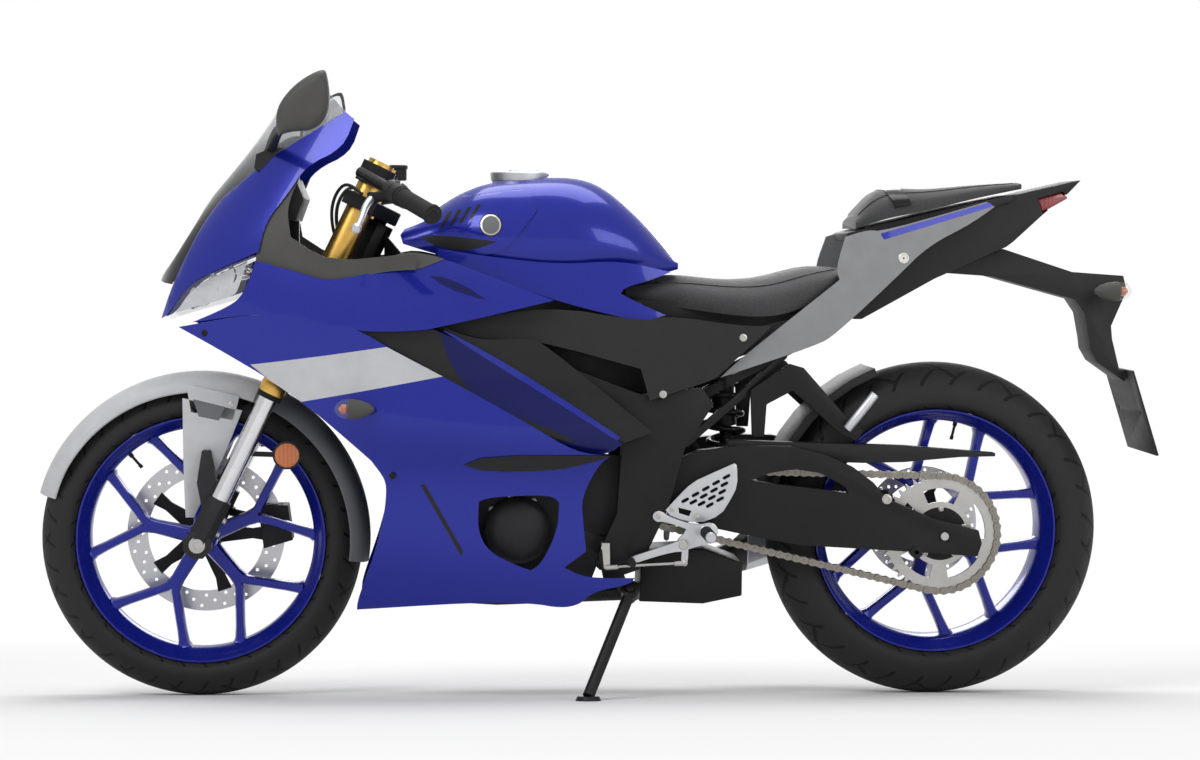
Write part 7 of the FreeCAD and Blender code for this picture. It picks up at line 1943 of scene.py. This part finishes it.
class SPORT_BIKE_OT_finishes(bpy.types.Operator):
    """Build the lacquers, metals, plastics and lenses from the sidebar's colours"""

    bl_idname = "sport_bike.finishes"
    bl_label = "Finishes"

    def execute(self, context):
        FINISH.update(finishes())
        return {"FINISHED"}


class SPORT_BIKE_OT_tyres(bpy.types.Operator):
    """Make the two tyres with their beads and sidewalls"""

    bl_idname = "sport_bike.tyres"
    bl_label = "Tyres"

    def execute(self, context):
        make_tyres()
        return {"FINISHED"}


class SPORT_BIKE_OT_wheels(bpy.types.Operator):
    """Make the cast wheels with their forked spokes, and the spindles"""

    bl_idname = "sport_bike.wheels"
    bl_label = "Wheels"

    def execute(self, context):
        make_rims()
        make_axles()
        return {"FINISHED"}


class SPORT_BIKE_OT_brakes(bpy.types.Operator):
    """Make the drilled brake discs on their carriers"""

    bl_idname = "sport_bike.brakes"
    bl_label = "Brakes"

    def execute(self, context):
        make_discs()
        return {"FINISHED"}


class SPORT_BIKE_OT_chain(bpy.types.Operator):
    """Make the chain's links and the toothed rear chain wheel"""

    bl_idname = "sport_bike.chain"
    bl_label = "Chain"

    def execute(self, context):
        make_chain()
        return {"FINISHED"}


class SPORT_BIKE_OT_fork(bpy.types.Operator):
    """Make the fork's legs, gold outer tubes, clamps and reflectors"""

    bl_idname = "sport_bike.fork"
    bl_label = "Fork"

    def execute(self, context):
        make_fork()
        make_reflectors()
        return {"FINISHED"}


class SPORT_BIKE_OT_bars(bpy.types.Operator):
    """Make the bars with their grips, levers, switches and hoses"""

    bl_idname = "sport_bike.bars"
    bl_label = "Handlebars"

    def execute(self, context):
        make_bars()
        return {"FINISHED"}


class SPORT_BIKE_OT_fender(bpy.types.Operator):
    """Make the crowned front fender, its hoop dark grey behind the fork as painted shade"""

    bl_idname = "sport_bike.fender"
    bl_label = "Front fender"

    def execute(self, context):
        make_fender()
        return {"FINISHED"}


class SPORT_BIKE_OT_nose(bpy.types.Operator):
    """Make the cowl, the screen, the cockpit trim and the headlights"""

    bl_idname = "sport_bike.nose"
    bl_label = "Nose"

    def execute(self, context):
        make_nose()
        return {"FINISHED"}


class SPORT_BIKE_OT_fairings(bpy.types.Operator):
    """Make the side fairings, their liners with painted shade, and the covers"""

    bl_idname = "sport_bike.fairings"
    bl_label = "Fairings"

    def execute(self, context):
        make_fairings()
        return {"FINISHED"}


class SPORT_BIKE_OT_tank(bpy.types.Operator):
    """Make the tank's shell, its covers and the fuel cap"""

    bl_idname = "sport_bike.tank"
    bl_label = "Tank"

    def execute(self, context):
        make_tank()
        make_cap()
        return {"FINISHED"}


class SPORT_BIKE_OT_seats(bpy.types.Operator):
    """Make the two padded seats with their piping"""

    bl_idname = "sport_bike.seats"
    bl_label = "Seats"

    def execute(self, context):
        make_seats()
        return {"FINISHED"}


class SPORT_BIKE_OT_tail(bpy.types.Operator):
    """Make the tail panels, the tail light and the plate hanger"""

    bl_idname = "sport_bike.tail"
    bl_label = "Tail"

    def execute(self, context):
        make_tail()
        return {"FINISHED"}


class SPORT_BIKE_OT_lamps(bpy.types.Operator):
    """Make the four indicators with their clear lenses"""

    bl_idname = "sport_bike.lamps"
    bl_label = "Indicators"

    def execute(self, context):
        make_indicators()
        return {"FINISHED"}


class SPORT_BIKE_OT_mirrors(bpy.types.Operator):
    """Make the two mirrors and their glasses"""

    bl_idname = "sport_bike.mirrors"
    bl_label = "Mirrors"

    def execute(self, context):
        make_mirrors()
        return {"FINISHED"}


class SPORT_BIKE_OT_frame(bpy.types.Operator):
    """Dress the frame, the swingarm, the stand and the calipers"""

    bl_idname = "sport_bike.frame"
    bl_label = "Frame"

    def execute(self, context):
        make_frame()
        return {"FINISHED"}


class SPORT_BIKE_OT_footrests(bpy.types.Operator):
    """Make the heel guards, the footrests and the shift lever"""

    bl_idname = "sport_bike.footrests"
    bl_label = "Footrests"

    def execute(self, context):
        make_footrests()
        return {"FINISHED"}


class SPORT_BIKE_OT_shock(bpy.types.Operator):
    """Make the coil spring and its damper"""

    bl_idname = "sport_bike.shock"
    bl_label = "Shock absorber"

    def execute(self, context):
        make_shock()
        return {"FINISHED"}


class SPORT_BIKE_OT_engine(bpy.types.Operator):
    """Dress the engine, the radiator, the exhaust and the inner shrouds"""

    bl_idname = "sport_bike.engine"
    bl_label = "Engine"

    def execute(self, context):
        make_engine()
        return {"FINISHED"}


class SPORT_BIKE_OT_stage(bpy.types.Operator):
    """Set up the floor, the lamps and the camera"""

    bl_idname = "sport_bike.stage"
    bl_label = "Stage"

    def execute(self, context):
        make_stage()
        return {"FINISHED"}


OPERATORS = (
    SPORT_BIKE_OT_finishes,
    SPORT_BIKE_OT_tyres,
    SPORT_BIKE_OT_wheels,
    SPORT_BIKE_OT_brakes,
    SPORT_BIKE_OT_chain,
    SPORT_BIKE_OT_fork,
    SPORT_BIKE_OT_bars,
    SPORT_BIKE_OT_fender,
    SPORT_BIKE_OT_nose,
    SPORT_BIKE_OT_fairings,
    SPORT_BIKE_OT_tank,
    SPORT_BIKE_OT_seats,
    SPORT_BIKE_OT_tail,
    SPORT_BIKE_OT_lamps,
    SPORT_BIKE_OT_mirrors,
    SPORT_BIKE_OT_frame,
    SPORT_BIKE_OT_footrests,
    SPORT_BIKE_OT_shock,
    SPORT_BIKE_OT_engine,
    SPORT_BIKE_OT_stage,
)


class SPORT_BIKE_PT_main(bpy.types.Panel):
    """The bike's steps, sizes and colours"""

    bl_idname = "SPORT_BIKE_PT_main"
    bl_label = "Sport bike"
    bl_space_type = "VIEW_3D"
    bl_region_type = "UI"
    bl_category = "Sport bike"

    def draw(self, context):
        layout = self.layout
        for title, group in (("Sizes", sizes()), ("Colours", colours())):
            box = layout.box()
            box.label(text=title)
            for key in group.__annotations__:
                box.prop(group, key)
        column = layout.column(align=True)
        for operator in OPERATORS:
            column.operator(operator.bl_idname)


CLASSES = (SportBikeSizes, SportBikeColours, *OPERATORS, SPORT_BIKE_PT_main)


def register():
    """Registers the classes and gives the scene the sidebar's values."""
    for item in CLASSES:
        bpy.utils.register_class(item)
    bpy.types.Scene.sport_bike_sizes = bpy.props.PointerProperty(type=SportBikeSizes)
    bpy.types.Scene.sport_bike_colours = bpy.props.PointerProperty(type=SportBikeColours)


def unregister():
    """Takes back what register did."""
    del bpy.types.Scene.sport_bike_colours
    del bpy.types.Scene.sport_bike_sizes
    for item in reversed(CLASSES):
        bpy.utils.unregister_class(item)


def main():
    """Registers the classes, makes every piece in order and keeps the two boxes' sizes."""
    register()
    for operator in OPERATORS:
        group, name = operator.bl_idname.split(".")
        getattr(getattr(bpy.ops, group), name)()
    boxes = {"cad": [list(corner) for corner in CAD_BOX], "visual": [list(corner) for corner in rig.bounds()]}
    with open("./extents.json", "w") as file:
        json.dump(boxes, file)


if __name__ == "__main__":
    main()
